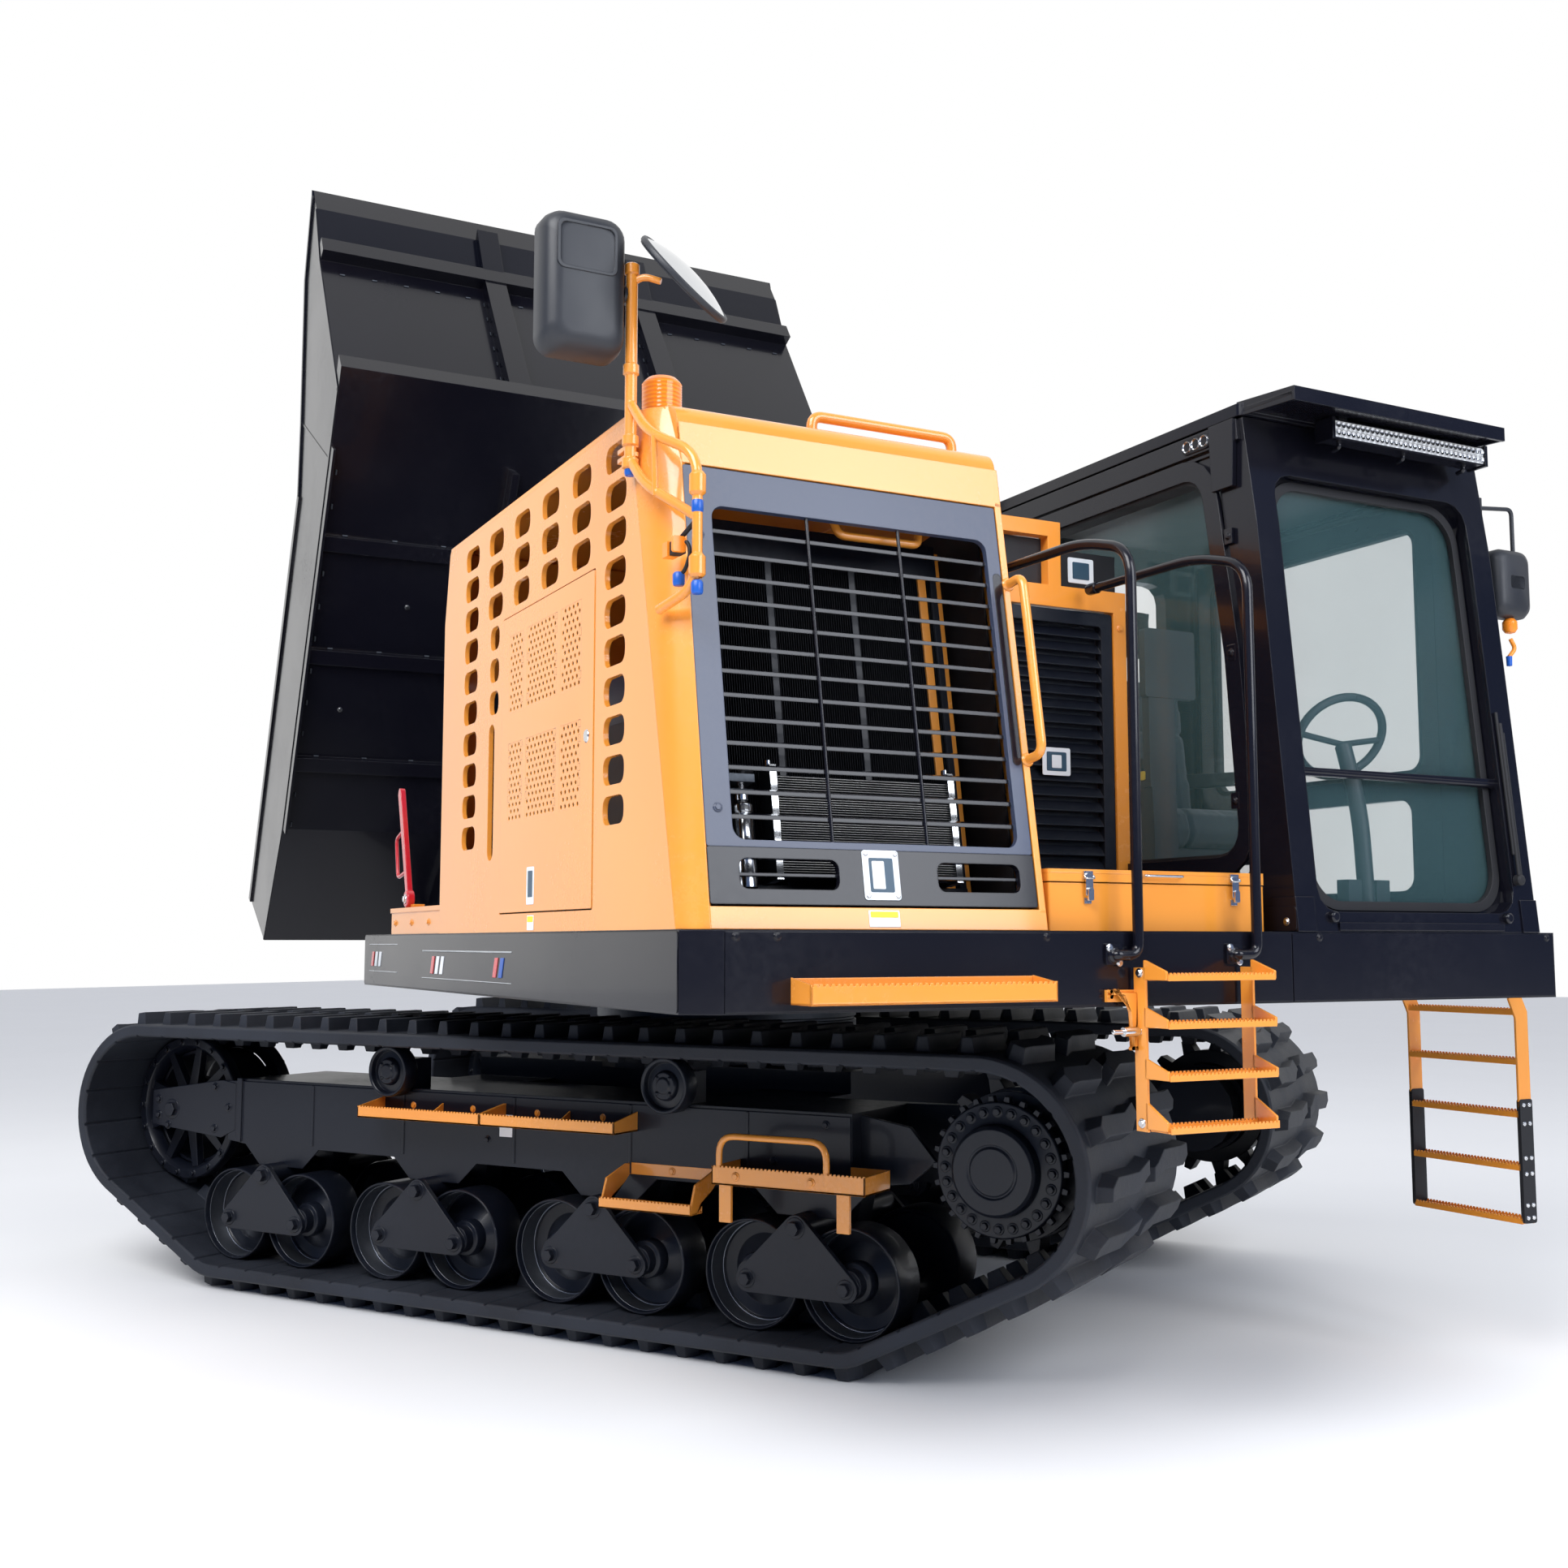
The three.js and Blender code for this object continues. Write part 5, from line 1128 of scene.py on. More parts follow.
def cab_side():
    trim = Shape(black)
    corners = [(1650, 1710), (2682, 1710), (2640, 2230), (2560, 2730), (1620, 2730), (1590, 1800)]
    side_band(trim, corners, (88, 152), CAB_RIGHT + 2, 14, -1)
    trim.paint(black_trim)
    side_band(trim, corners, (78, 96), CAB_RIGHT - 2, 62, 1)
    trim.paint(black)
    trim.plate("y", [(1350, 2890), (2812, 2890), (2806, 2955), (1350, 2955)], CAB_RIGHT - 14, CAB_RIGHT)
    trim.plate("y", [(1350, 2872), (2740, 2872), (2740, 2882), (1350, 2882)], CAB_RIGHT - 8, CAB_RIGHT)
    trim.plate("y", [(2700, 2750), (2790, 2750), (2800, 2958), (2690, 2958)], CAB_RIGHT - 20, CAB_RIGHT - 2)
    trim.plate("y", rounded((1520, 2560), (1420, 1535), 18, 4), CAB_RIGHT - 6, CAB_RIGHT)
    trim.plate("y", rounded((2790, 2990), (1398, 1470), 12, 4), CAB_RIGHT - 6, CAB_RIGHT)
    for z in (1790, 2240, 2600):
        trim.block((2742, 2776), (CAB_RIGHT - 13, CAB_RIGHT), (z - 24, z + 24))
        trim.bolt((2759, CAB_RIGHT - 13, z), "y", 8, 7, -1)
    trim.paint(black_trim).plate("y", rounded((2570, 2692), (2898, 2946), 16, 4), CAB_RIGHT - 20, CAB_RIGHT - 12)
    for x in (2592, 2631, 2670):
        trim.paint(bright_steel).turned("y", (x, 2922), [(0, 386), (13, 384), (18, 378), (19, 382), (19, 383),
                                                         (0, 383)], 24)
    trim.piece("cab_side_trim", "upper", UPPER, 2.0, 2)
    corner_foot = Shape(black)
    for y0, y1 in ((CAB_RIGHT - 4, CAB_RIGHT + 70), (CAB_LEFT - 70, CAB_LEFT + 4)):
        corner_foot.plate("y", [(2890, 1396.5), (2996, 1396.5), (2986, 1498), (2890, 1498)], y0, y1)
    corner_foot.bolt((2950, CAB_RIGHT - 4, 1425), "y", 9, 7, -1, bright_steel)
    corner_foot.block((2984, 2996), (560, 1250), (1400, 1424))
    for y in (540, 1270):
        corner_foot.turned("x", (y, 1440), [(0, 2986), (17, 2986), (17, 3000), (12, 3004), (0, 3004)], 20)
    corner_foot.piece("cab_foot_trim", "upper", UPPER, 2.0)


cab_side()
print("side windows sealed, strips and lamps fitted")

# %% [markdown]
# ## Roof visor and light bar
# A flat roof panel reaches over the windscreen as a visor, and a long lamp with two rows of small
# reflectors hangs under it. The lamp is a dark finned body, a panel of lamp cells and rows of turned cups; its clear
# cover is not drawn.

# %% Roof and light bar
def roof_and_lamp():
    roof = Shape(black)
    roof.plate("z", rounded((1332, 2836), (CAB_RIGHT - 14, CAB_LEFT + 14), 28, 5), 2962, 3000)
    roof.plate("z", rounded((1390, 2780), (CAB_RIGHT + 50, CAB_LEFT - 50), 40, 5), 2999, 3010)
    visor = (CAB_RIGHT - 2, CAB_LEFT - 115)
    roof.plate("y", [(2800, 2975), (3030, 2966), (3030, 2947), (3040, 2947), (3040, 2990), (2800, 3009)], *visor)
    for y in (visor[0], visor[1] - 8):
        roof.plate("y", [(2822, 2962), (3032, 2948), (3032, 2975), (2822, 2985)], y, y + 8)
    roof.block((2876, 2936), (655, 1318), (2898, 2958))
    for i in range(44):
        roof.block((2868, 2878), (662 + i * 15, 665 + i * 15), (2900, 2956))
    for y in (700, 1262):
        roof.block((2890, 2920), (y, y + 34), (2950, 2976))
        roof.bolt((2905, y + 2, 2944), "y", 8, 8, -1)
    for y in (652, 1317):
        roof.block((2870, 2944), (y - 4, y + 8), (2894, 2962))
    roof.paint(lamp_cells).plate("x", rounded((664, 1312), (2903, 2953), 4, 2), 2934, 2937)
    roof.paint(bright_steel)
    for row in (2916, 2940):
        for i in range(32):
            roof.turned("x", (676 + i * 20.2, row), [(0, 2937.2), (4.5, 2938), (9, 2941.5), (9.6, 2941.5),
                                                     (9.6, 2936), (0, 2936)], 10)
    roof.paint(black)
    for y, z in ((712, 2898), (985, 2898), (1255, 2898)):
        roof.tube([(2905, y, z), (2905, y, z - 16), (2880, y, z - 20)], 7, 8)
    roof.piece("roof_visor", "upper", UPPER, 1.2, 1, ("cab_roof",))


roof_and_lamp()
print("roof, visor and light bar")

# %% [markdown]
# ## Wiper and cab door
# The wiper is a thin arm on a motor foot, with a blade hung from its end. The door takes up the left side,
# and its own glass, seal, handle and hinges ride with it.

# %% Wiper and door
def wiper():
    arm = Shape(black_trim)
    path = [(cab_front(z) + 13, 1335, z) for z in (1562, 1800, 2060)]
    arm.tube(path, 6, 20)
    arm.tube([(cab_front(z) + 13, 1346, z) for z in (1575, 1800, 2030)], 3.5, 20)
    arm.tube([(cab_front(z) + 7, 1330, z) for z in (1640, 1860, 2096)], 5, 20)
    arm.turned("x", (1335, 1560), [(0, cab_front(1560) + 1), (17, cab_front(1560) + 1), (17, cab_front(1560) + 20),
                                   (11, cab_front(1560) + 26), (0, cab_front(1560) + 26)], 24)
    arm.piece("wiper_arm", "wiper", UPPER, 0.8, 2, ("wiper",))


def cab_door():
    door = Shape(black)
    outline = rounded((1484, 2686), (1474, 2876), 58, 6)
    low_pane = ((1640, 2540), (1540, 1850))
    door.plate("y", outline, CAB_LEFT - 34, CAB_LEFT, [rounded((1574, 2596), (1934, 2786), 60, 6),
                                                       rounded(*low_pane, 50, 6)])
    door.paint(clear_glass).plate("y", rounded((1630, 2550), (1530, 1860), 50, 6), CAB_LEFT - 22, CAB_LEFT - 16)
    door.paint(black_trim)
    door.plate("y", rounded((1562, 2608), (1922, 2798), 70, 6), CAB_LEFT - 30, CAB_LEFT + 4,
               [rounded((1590, 2580), (1950, 2770), 48, 6)])
    door.plate("y", rounded((1476, 2694), (1466, 2884), 62, 6), CAB_LEFT - 39, CAB_LEFT - 34,
               [rounded((1500, 2670), (1490, 2860), 48, 6)])
    door.paint(clear_glass).plate("y", rounded((1584, 2586), (1944, 2776), 50, 6), CAB_LEFT - 22, CAB_LEFT - 16)
    door.paint(black)
    for z in (1640, 2700):
        door.turned("z", (1492, CAB_LEFT + 6), [(0, z - 60), (14, z - 60), (14, z + 60), (0, z + 60)], 20)
        door.block((1494, 1570), (CAB_LEFT, CAB_LEFT + 8), (z - 36, z + 36))
        for x in (1528, 1556):
            door.bolt((x, CAB_LEFT + 8, z), "y", 7, 6, 1, bright_steel)
    door.tube([(2630, CAB_LEFT, 1650), (2630, CAB_LEFT + 42, 1660), (2630, CAB_LEFT + 42, 1860),
               (2630, CAB_LEFT, 1870)], 10, 26)
    door.paint(plastic).plate("y", rounded((2560, 2620), (1690, 1790), 16, 4), CAB_LEFT, CAB_LEFT + 14)
    door.piece("cab_side_door", "cab_door", UPPER, 1.5, 2, ("cab_door",))


wiper()
cab_door()
print("wiper and door")

# %% [markdown]
# ## Inside the cab
# Through the glass one sees the seat, a side console with a bellows and lever, a small screen and the
# posts of the frame. They are dim, but without them the cab looks empty.

# %% Console and lining
def console():
    desk = Shape(plastic)
    desk.plate("y", [(1850, 1437), (2230, 1437), (2250, 1700), (2240, 1900), (1990, 1962), (1850, 1940)], 506, 606)
    desk.plate("y", [(1860, 1962), (2130, 1950), (2120, 1990), (1880, 2004)], 500, 612)
    desk.paint(black_trim)
    bellows = [(0, 1985)]
    for i in range(7):
        radius = 52 - i * 5.2
        bellows += [(radius, 1988 + i * 13), (radius - 8, 1995 + i * 13)]
    desk.turned("z", (2050, 555), bellows + [(9, 2080), (0, 2080)], 24)
    desk.tube([(2050, 555, 2060), (2070, 555, 2140)], 8, 5)
    desk.turned("z", (2070, 555), [(0, 2130), (20, 2136), (24, 2160), (21, 2196), (12, 2208), (0, 2210)], 24)
    desk.paint(label_yellow).plate("y", rounded((2130, 2215), (1905, 1935), 5, 3), 497, 507)
    desk.paint(plastic)
    desk.block((2205, 2240), (500, 610), (1880, 2200))
    desk.plate("x", rounded((485, 700), (2182, 2416), 12, 4), 2212, 2242)
    desk.paint(label_dark).plate("x", rounded((500, 686), (2200, 2400), 6, 3), 2209, 2212)
    desk.paint(bright_steel)
    for y, z in ((493, 2192), (692, 2192), (493, 2406), (692, 2406)):
        desk.bolt((2212, y, z), "x", 4, 4, -1)
    desk.piece("control_desk", "upper", UPPER, 2.0, 2, ("control_console",))
    lining = Shape(plastic)
    lining.block((1412, 2900), (464, 1343), (1437, 1446))
    lining.block((1414, 1424), (470, 1338), (1446, 1860))
    lining.block((1560, 2700), (470, 1338), (2892, 2899))
    lining.plate("z", rounded((2520, 2700), (760, 1040), 30, 4), 1446, 1456)
    lining.tube([(2780, 900, 1446), (2760, 900, 1780), (2700, 900, 1990)], 26, 120)
    lining.tube([(2690 + 60 * cos(a), 900 + 175 * sin(a), 2020 + 120 * cos(a)) for a in
                 [2 * pi * i / 32 for i in range(33)]], 14, 5, 10, 1)
    lining.tube([(2695, 900, 1995), (2690, 730, 2020)], 10, 5)
    lining.tube([(2695, 900, 1995), (2690, 1070, 2020)], 10, 5)
    for y in (840, 960):
        lining.block((2740, 2790), (y - 28, y + 28), (1470, 1560))
    lining.piece("cab_lining", "upper", UPPER, 2.0)


console()
print("console, screen, steering wheel and floor mat")

# %% [markdown]
# ## Suspension seat
# A cushion is a stuffed bag of cloth: it swells in the middle and is held in along its seams. Each pad
# starts as a slightly small block, is made of even little faces by a voxel remesh, and then swells under
# pressure in a cloth simulation, with a cap on how far any point may go. The sewn seam and the panel
# lines are pressed in afterwards, because remeshing would have lost them.

# %% The pads
def pad_block(name, outline, y, board=UPPER):
    """A closed block between two y places, as the starting shape of a pad."""
    block = Shape(seat_cloth)
    block.plate("y", outline, *y)
    bmesh.ops.recalc_face_normals(block.mesh, faces=block.mesh.faces)
    block.mesh.transform(board)
    data = bpy.data.meshes.new(name)
    block.mesh.to_mesh(data)
    block.mesh.free()
    data.materials.append(seat_cloth)
    thing = bpy.data.objects.new(name, data)
    bpy.context.scene.collection.objects.link(thing)
    return thing


def apply_all(thing):
    """Replaces the mesh by the one its modifiers give."""
    graph = bpy.context.evaluated_depsgraph_get()
    data = bpy.data.meshes.new_from_object(thing.evaluated_get(graph))
    thing.modifiers.clear()
    thing.data = data


def swell(thing, pressure, cap, voxel=0.012):
    """Remeshes a block into even cloth and lets it swell, no point further than the cap."""
    soft = thing.modifiers.new("even", "REMESH")
    soft.mode, soft.voxel_size = "VOXEL", voxel
    apply_all(thing)
    rest = [v.co.copy() for v in thing.data.vertices]
    cloth = thing.modifiers.new("swell", "CLOTH")
    cloth.settings.use_pressure = True
    cloth.settings.uniform_pressure_force = pressure
    cloth.settings.effector_weights.gravity = 0
    cloth.settings.quality = 4
    scene = bpy.context.scene
    for step in range(1, 15):
        scene.frame_set(step)
    apply_all(thing)
    scene.frame_set(1)
    for vertex, start in zip(thing.data.vertices, rest):
        move = vertex.co - start
        if move.length > cap:
            vertex.co = start + move.normalized() * cap
    smooth = thing.modifiers.new("smooth", "SUBSURF")
    smooth.levels = smooth.render_levels = 1
    apply_all(thing)


def seat_pad(name, outline, y, cap, channels):
    """A pad with its channels sewn in: each is (middle, normal, half width, depth) on the upper's board."""
    pad = pad_block(name, outline, y)
    swell(pad, 4.0, cap)
    to_board = UPPER.inverted()
    pad.data.calc_loop_triangles()
    normals = [v.normal.copy() for v in pad.data.vertices]
    for vertex, normal in zip(pad.data.vertices, normals):
        place = to_board @ vertex.co
        for axis, where, half, depth in channels:
            near = abs(place[axis] - where) / half
            if near < 1:
                vertex.co -= normal * depth * (1 - near) ** 2 * (1 + 2 * near)
    pad.data.shade_smooth()
    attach(pad, "upper")
    return pad


cushion = seat_pad("seat_cushion", [(1664, 1712), (2140, 1704), (2156, 1740), (2140, 1806), (2080, 1816),
                                    (1680, 1800)], (664, 1136), 0.016,
                   [(1, 760, 14, 0.012), (1, 1040, 14, 0.012), (0, 1960, 12, 0.008)])
back = seat_pad("seat_back", [(1668, 1800), (1756, 1812), (1700, 2180), (1672, 2362), (1584, 2352), (1612, 2100)],
                (676, 1124), 0.016, [(1, 770, 14, 0.012), (1, 1030, 14, 0.012), (2, 2150, 12, 0.009)])
head_rest = seat_pad("head_rest", [(1580, 2446), (1648, 2452), (1628, 2628), (1560, 2620)], (776, 1024), 0.012,
                     [(2, 2540, 10, 0.004)])
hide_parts("seat")
print("pads with", sum(len(p.data.vertices) for p in (cushion, back, head_rest)), "points")

# %% Seat frame
base = Shape(plastic)
base.block((1720, 2080), (740, 1060), (1437, 1470))
base.plate("y", rounded((1700, 2100), (1640, 1698), 20, 4), 720, 1080)
base.paint(black_trim)
for i in range(5):
    base.block((1738 - i % 2 * 8, 2062 + i % 2 * 8), (756, 1044), (1472 + i * 34, 1500 + i * 34))
base.paint(bright_steel)
for y in (842, 958):
    base.tube([(1618, y, 2350), (1610, y, 2450)], 6, 5)
base.paint(plastic)
for y in (640, 1130):
    base.plate("y", bulged([(1660, 1960), (1930, 1950), (1940, 1975), (1660, 1990)], 12), y, y + 34)
base.piece("seat_base", "upper", UPPER, 3.0)
print("seat base, posts and arm rests")

# %% [markdown]
# ## Deck edge
# The deck is a welded frame with a folded black skirt. Its CAD node stays. On top of it go the thin things
# that make it real: a joint where two skirt plates meet, plain decal stripes and bolt heads.

# %% Deck dressing
def deck_dressing():
    dress = Shape(black)
    dress.plate("y", rounded((-292, 2928), (1199, 1392), 8, 2), -1503, -1500)
    dress.block((2991, 2994), (-1408, 372), (1199, 1392))
    dress.block((2991, 2994), (376, 1470), (1199, 1392))
    dress.block((-290, 2925), (-1500, 1500), (1392, 1397))
    for y in (-1380, -1270, -480, 480, 1440):
        dress.bolt((2994, y, 1380), "x", 7, 5)
    dress.paint(label_white)
    for z in (1334, 1336.5, 1240):
        dress.block((620, 1660), (-1505.4, -1503), (z, z + 1.6))
    dress.block((-200, 250), (-1505.4, -1503), (1358, 1360))
    dress.block((-200, 250), (-1505.4, -1503), (1252, 1254))
    for x, colour in ((730, red), (790, label_white), (850, label_white), (1470, red), (1530, blue_plastic)):
        dress.paint(colour).plate("y", [(x, 1256), (x + 34, 1256), (x + 58, 1318), (x + 24, 1318)], -1505.4, -1503)
    for x, colour in ((-170, red), (-110, label_white), (-50, label_white)):
        dress.paint(colour).plate("y", [(x, 1272), (x + 34, 1272), (x + 54, 1330), (x + 20, 1330)], -1505.4, -1503)
    dress.piece("deck_dressing", "upper", UPPER, 0.8)
    tread = Shape(dark_steel)
    for i in range(26):
        for j in range(11):
            x, y = 2300 + i * 24, -380 + j * 66
            turn = 1 if (i + j) % 2 else -1
            tread.plate("z", [(x - 8, y - 5 * turn - 2), (x + 8, y + 5 * turn - 2), (x + 8, y + 5 * turn + 2),
                              (x - 8, y - 5 * turn + 2)], 1396.2, 1399)
    tread.piece("deck_tread", "upper", UPPER, 0)


deck_dressing()
print("deck skirt, stripes and tread")

# %% [markdown]
# ## Guard between the housing and the cab
# A yellow frame stands across the walkway. Its door is a black louvred panel: level slats, each tilted and
# folded at its edge, in front of a dark sheet.

# %% Guard door
def guard_door():
    door = Shape(frame_black)
    y, z = (-396.7, 347.7), (1442, 2444)
    door.plate("x", rounded(y, z, 10, 3), 2206, 2244, [rounded((y[0] + 44, y[1] - 44), (z[0] + 44, z[1] - 44), 14, 3)])
    door.block((2208, 2212), (y[0] + 40, y[1] - 40), (z[0] + 40, z[1] - 40))
    for i in range(19):
        low = z[0] + 56 + i * 47.5
        door.plate("y", [(2214, low + 34), (2236, low + 4), (2240, low + 4), (2240, low + 8), (2218, low + 38)],
                   y[0] + 42, y[1] - 42)
    for height in (1560, 2320):
        door.turned("z", (2226, 342), [(0, height - 40), (10, height - 40), (10, height + 40), (0, height + 40)], 16)
    door.paint(label_white).plate("x", rounded((60, 170), (1900, 1990), 6, 3), 2242, 2244.4)
    door.paint(label_dark).plate("x", rounded((76, 154), (1914, 1976), 4, 3), 2244.4, 2245.2)
    door.paint(label_white).plate("x", rounded((96, 134), (1924, 1966), 3, 3), 2245.2, 2246)
    door.paint(bright_steel).turned("x", (-372, 1940), [(0, 2244), (15, 2244), (15, 2250), (10, 2254), (0, 2254)], 20)
    door.piece("louvred_door", "guard_door", UPPER, 1.0, 2, ("guard_door",))
    frame_bits = Shape(black_trim)
    frame_bits.block((2206, 2212), (-400, 90), (2522, 2678))
    frame_bits.block((2206, 2212), (140, 390), (2522, 2650))
    frame_bits.paint(label_white).plate("x", rounded((196, 300), (2545, 2630), 6, 3), 2212, 2214)
    frame_bits.paint(label_dark).plate("x", rounded((214, 282), (2559, 2616), 4, 3), 2214, 2215)
    frame_bits.paint(yellow)
    for y0, height in ((-426, 1500), (-426, 2400), (377, 1500), (377, 2400)):
        frame_bits.bolt((2250, y0, height), "x", 9, 7)
    frame_bits.piece("guard_fittings", "upper", UPPER, 0.6)


guard_door()
print("guard door with 19 slats")

# %% [markdown]
# ## Toolbox
# The box in front of the guard is plain folded sheet, so it needs the few things it has: a lid with a
# rolled edge, two toggle latches and a wire handle. The latches are drawn in three small plates each.

# %% Toolbox
def toolbox():
    tub = Shape(yellow)
    outer, inner = rounded((2560, 2931), (-426, 331), 6, 3), rounded((2563, 2928), (-423, 328), 5, 3)
    tub.plate("z", outer, 1396.3, 1526, [inner])
    tub.block((2564, 2927), (-422, 327), (1397, 1402))
    tub.piece("toolbox_tub", "upper", UPPER, 1.5, 2, ("toolbox",))
    lid = Shape(yellow)
    lid.plate("z", rounded((2558, 2934), (-428, 333), 8, 3), 1552, 1563)
    lid.plate("z", rounded((2558, 2934), (-428, 333), 8, 3), 1529, 1553, [rounded((2562, 2930), (-424, 329), 6, 3)])
    lid.paint(bright_steel)
    lid.tube([(2935, -110, 1548), (2950, -110, 1548), (2950, 20, 1548), (2935, 20, 1548)], 4, 8)
    for y in (-300, 215):
        lid.block((2934, 2940), (y - 15, y + 15), (1536, 1558))
        lid.plate("x", rounded((y - 12, y + 12), (1490, 1552), 6, 3), 2940, 2944)
        lid.plate("x", rounded((y - 9, y + 9), (1478, 1512), 5, 3), 2944, 2951)
        lid.tube([(2941, y - 15, 1546), (2948, y - 15, 1538), (2948, y + 15, 1538), (2941, y + 15, 1546)], 2.6, 5)
    lid.piece("toolbox_cover", "toolbox_lid", UPPER, 1.0, 2, ("toolbox_lid",))
    catch = Shape(bright_steel)
    for y in (-300, 215):
        catch.block((2931, 2936), (y - 12, y + 12), (1470, 1486))
    catch.piece("toolbox_catches", "upper", UPPER, 0.8)


toolbox()
print("toolbox, lid and latches")

# %% [markdown]
# ## Handrails, step bar and ladders
# The handrails are single bars bent three times: out from the deck edge, straight up, and back over the
# walkway. The rungs of the ladders have teeth cut in their edges for grip, which a zigzag outline gives.

# %% Handrails and steps
def handrail(name, y):
    rail = Shape(black)
    rail.tube([(2994, y - 72, 1332), (3013, y - 72, 1332), (3013, y, 1332), (3013, y, 2445), (2800, y, 2505),
               (2300, y - 8, 2505)], 15, 85, 20, 8)
    rail.plate("x", rounded((y - 100, y - 44), (1306, 1364), 8, 4), 2991.4, 3002)
    rail.turned("x", (y - 72, 1332), [(0, 3000), (21, 3000), (21, 3006), (15, 3010), (0, 3010)], 20)
    rail.turned("x", (y - 8, 2505), [(0, 2292), (17, 2296), (19, 2304), (19, 2340), (0, 2340)], 20)
    rail.paint(bright_steel)
    rail.bolt((3002, y - 88, 1352), "x", 7, 7)
    rail.bolt((3002, y - 56, 1312), "x", 7, 7)
    rail.piece("rail_" + name, "upper", UPPER, 0.6, 2, (name,))


handrail("handrail_right", -195)
handrail("handrail_left", 224)


def toothed(a0, a1, b, tooth=13, depth=5):
    """The upper edge of a grip plate, from a1 back to a0: flat-topped teeth."""
    count = max(2, round(abs(a1 - a0) / tooth))
    edge = []
    for i in range(count):
        start, step = a1 + (a0 - a1) * i / count, (a0 - a1) / count
        edge += [(start, b), (start + step * 0.45, b), (start + step * 0.6, b - depth), (start + step * 0.9, b - depth)]
    return edge + [(a0, b)]


def tread_rung(shape, board_axis, span, depth, z, height=18):
    """A channel rung: two toothed flanges and a web between them. span runs along the rung."""
    for place in (depth[0], depth[1] - 4):
        shape.plate(board_axis, [(span[0], z - height / 2), (span[1], z - height / 2), *toothed(*span, z + height / 2)],
                    place, place + 4)


def step_bar():
    bar = Shape(yellow)
    x, y = (2991.3, 3096), (-1234, -523)
    bar.block(x, y, (1216, 1222))
    bar.block((x[0], x[0] + 5), y, (1216, 1280))
    bar.plate("x", [(y[0], 1216), (y[1], 1216), *toothed(y[0], y[1], 1268, 16, 6)], x[1] - 5, x[1])
    for end in (y[0], y[1] - 5):
        bar.plate("y", [(x[0], 1216), (x[1], 1216), (x[1], 1266), (x[0], 1282)], end, end + 5)
    for y0 in (-1160, -880, -600):
        bar.bolt((2996.5, y0, 1250), "x", 10, 8)
    for i in range(6):
        bar.turned("z", (3045, -1170 + i * 118), [(16, 1221), (24, 1221), (22, 1227), (18, 1227)], 20)
    bar.piece("step_shelf", "upper", UPPER, 1.0, 2, ("step_bar",))


step_bar()


def front_ladder():
    ladder = Shape(yellow)
    x, y = (2991.3, 3141), (-207, 175)
    for y0 in (y[0], y[1] - 8):
        ladder.plate("y", [(3005, 868), (3052, 868), (3052, 1299), (3005, 1299)], y0, y0 + 8)
        ladder.plate("y", bulged([(3100, 880), (3125, 880), (3125, 898), (3050, 940), (3050, 880)], 4), y0, y0 + 8)
    for z in (1015, 1150, 1275):
        for y0 in (y[0], y[1] - 8):
            ladder.plate("y", bulged([(3050, z - 4), (3132, z - 4), (3132, z + 12), (3050, z + 40)], 4), y0, y0 + 8)
    for z in (880, 1015, 1150, 1275):
        tread_rung(ladder, "x", (y[0] + 6, y[1] - 6), (3056, 3140), z, 20)
        ladder.block((3058, 3138), (y[0] + 6, y[1] - 6), (z - 9, z - 5))
    ladder.plate("x", bulged([(-291, 1222), (-291, 1236), (-270, 1238), (-200, 1236), (-200, 1085), (-222, 1085),
                              (-232, 1180), (-250, 1222)], 5), 3004, 3018)
    ladder.block((2992, 3006), (-296, -200), (1208, 1240))
    ladder.paint(bright_steel)
    ladder.turned("y", (3026, 1130), [(0, -262), (13, -262), (13, -216), (9, -210), (9, -190), (0, -190)], 20)
    ladder.turned("y", (3026, 1130), [(0, -300), (7, -296), (7, -262), (0, -262)], 16)
    for y0, side in ((y[0], -1), (y[1], 1)):
        for z in (890, 1285):
            ladder.bolt((3030, y0, z), "y", 9, 8, side)
    ladder.piece("front_steps", "front_ladder", UPPER, 0.8, 2, ("front_ladder",))


front_ladder()


def side_ladder():
    ladder = Shape(yellow)
    x, y = (2340, 2790), (1505.3, 1565)
    for x0, face in ((x[0], -1), (x[1] - 8, 1)):
        ladder.plate("x", [(1506, 1290), (1506, 1180), (1534, 1120), (1534, 830), (1590, 830), (1590, 1140),
                           (1562, 1196), (1540, 1290)], x0, x0 + 8)
        ladder.paint(black_trim)
        ladder.plate("x", bulged([(1542, 470), (1584, 470), (1584, 850), (1542, 850)], 8, 4), x0 - 3, x0 + 11)
        ladder.paint(bright_steel)
        for z in (480, 520, 620, 670, 780, 840):
            for y0 in (1550, 1576):
                ladder.bolt((x0 + (11 if face > 0 else -3), y0, z), "x", 5, 5, face)
        ladder.paint(yellow)
    for z in (470, 640, 810, 980, 1140):
        tread_rung(ladder, "y", (x[0] + 6, x[1] - 6), (1534, 1590), z, 22)
        ladder.block((x[0] + 6, x[1] - 6), (1536, 1588), (z - 10, z - 6))
    ladder.piece("rubber_link_ladder", "side_ladder", UPPER, 0.8, 2, ("side_ladder",))


side_ladder()
print("handrails, step bar and two ladders")

# %% [markdown]
# ## Steps on the track frame
# Three steps are bolted to the right track frame: a two-bay tray, a bent strap and a shelf with a hand
# loop. Each is folded sheet with a toothed front edge.

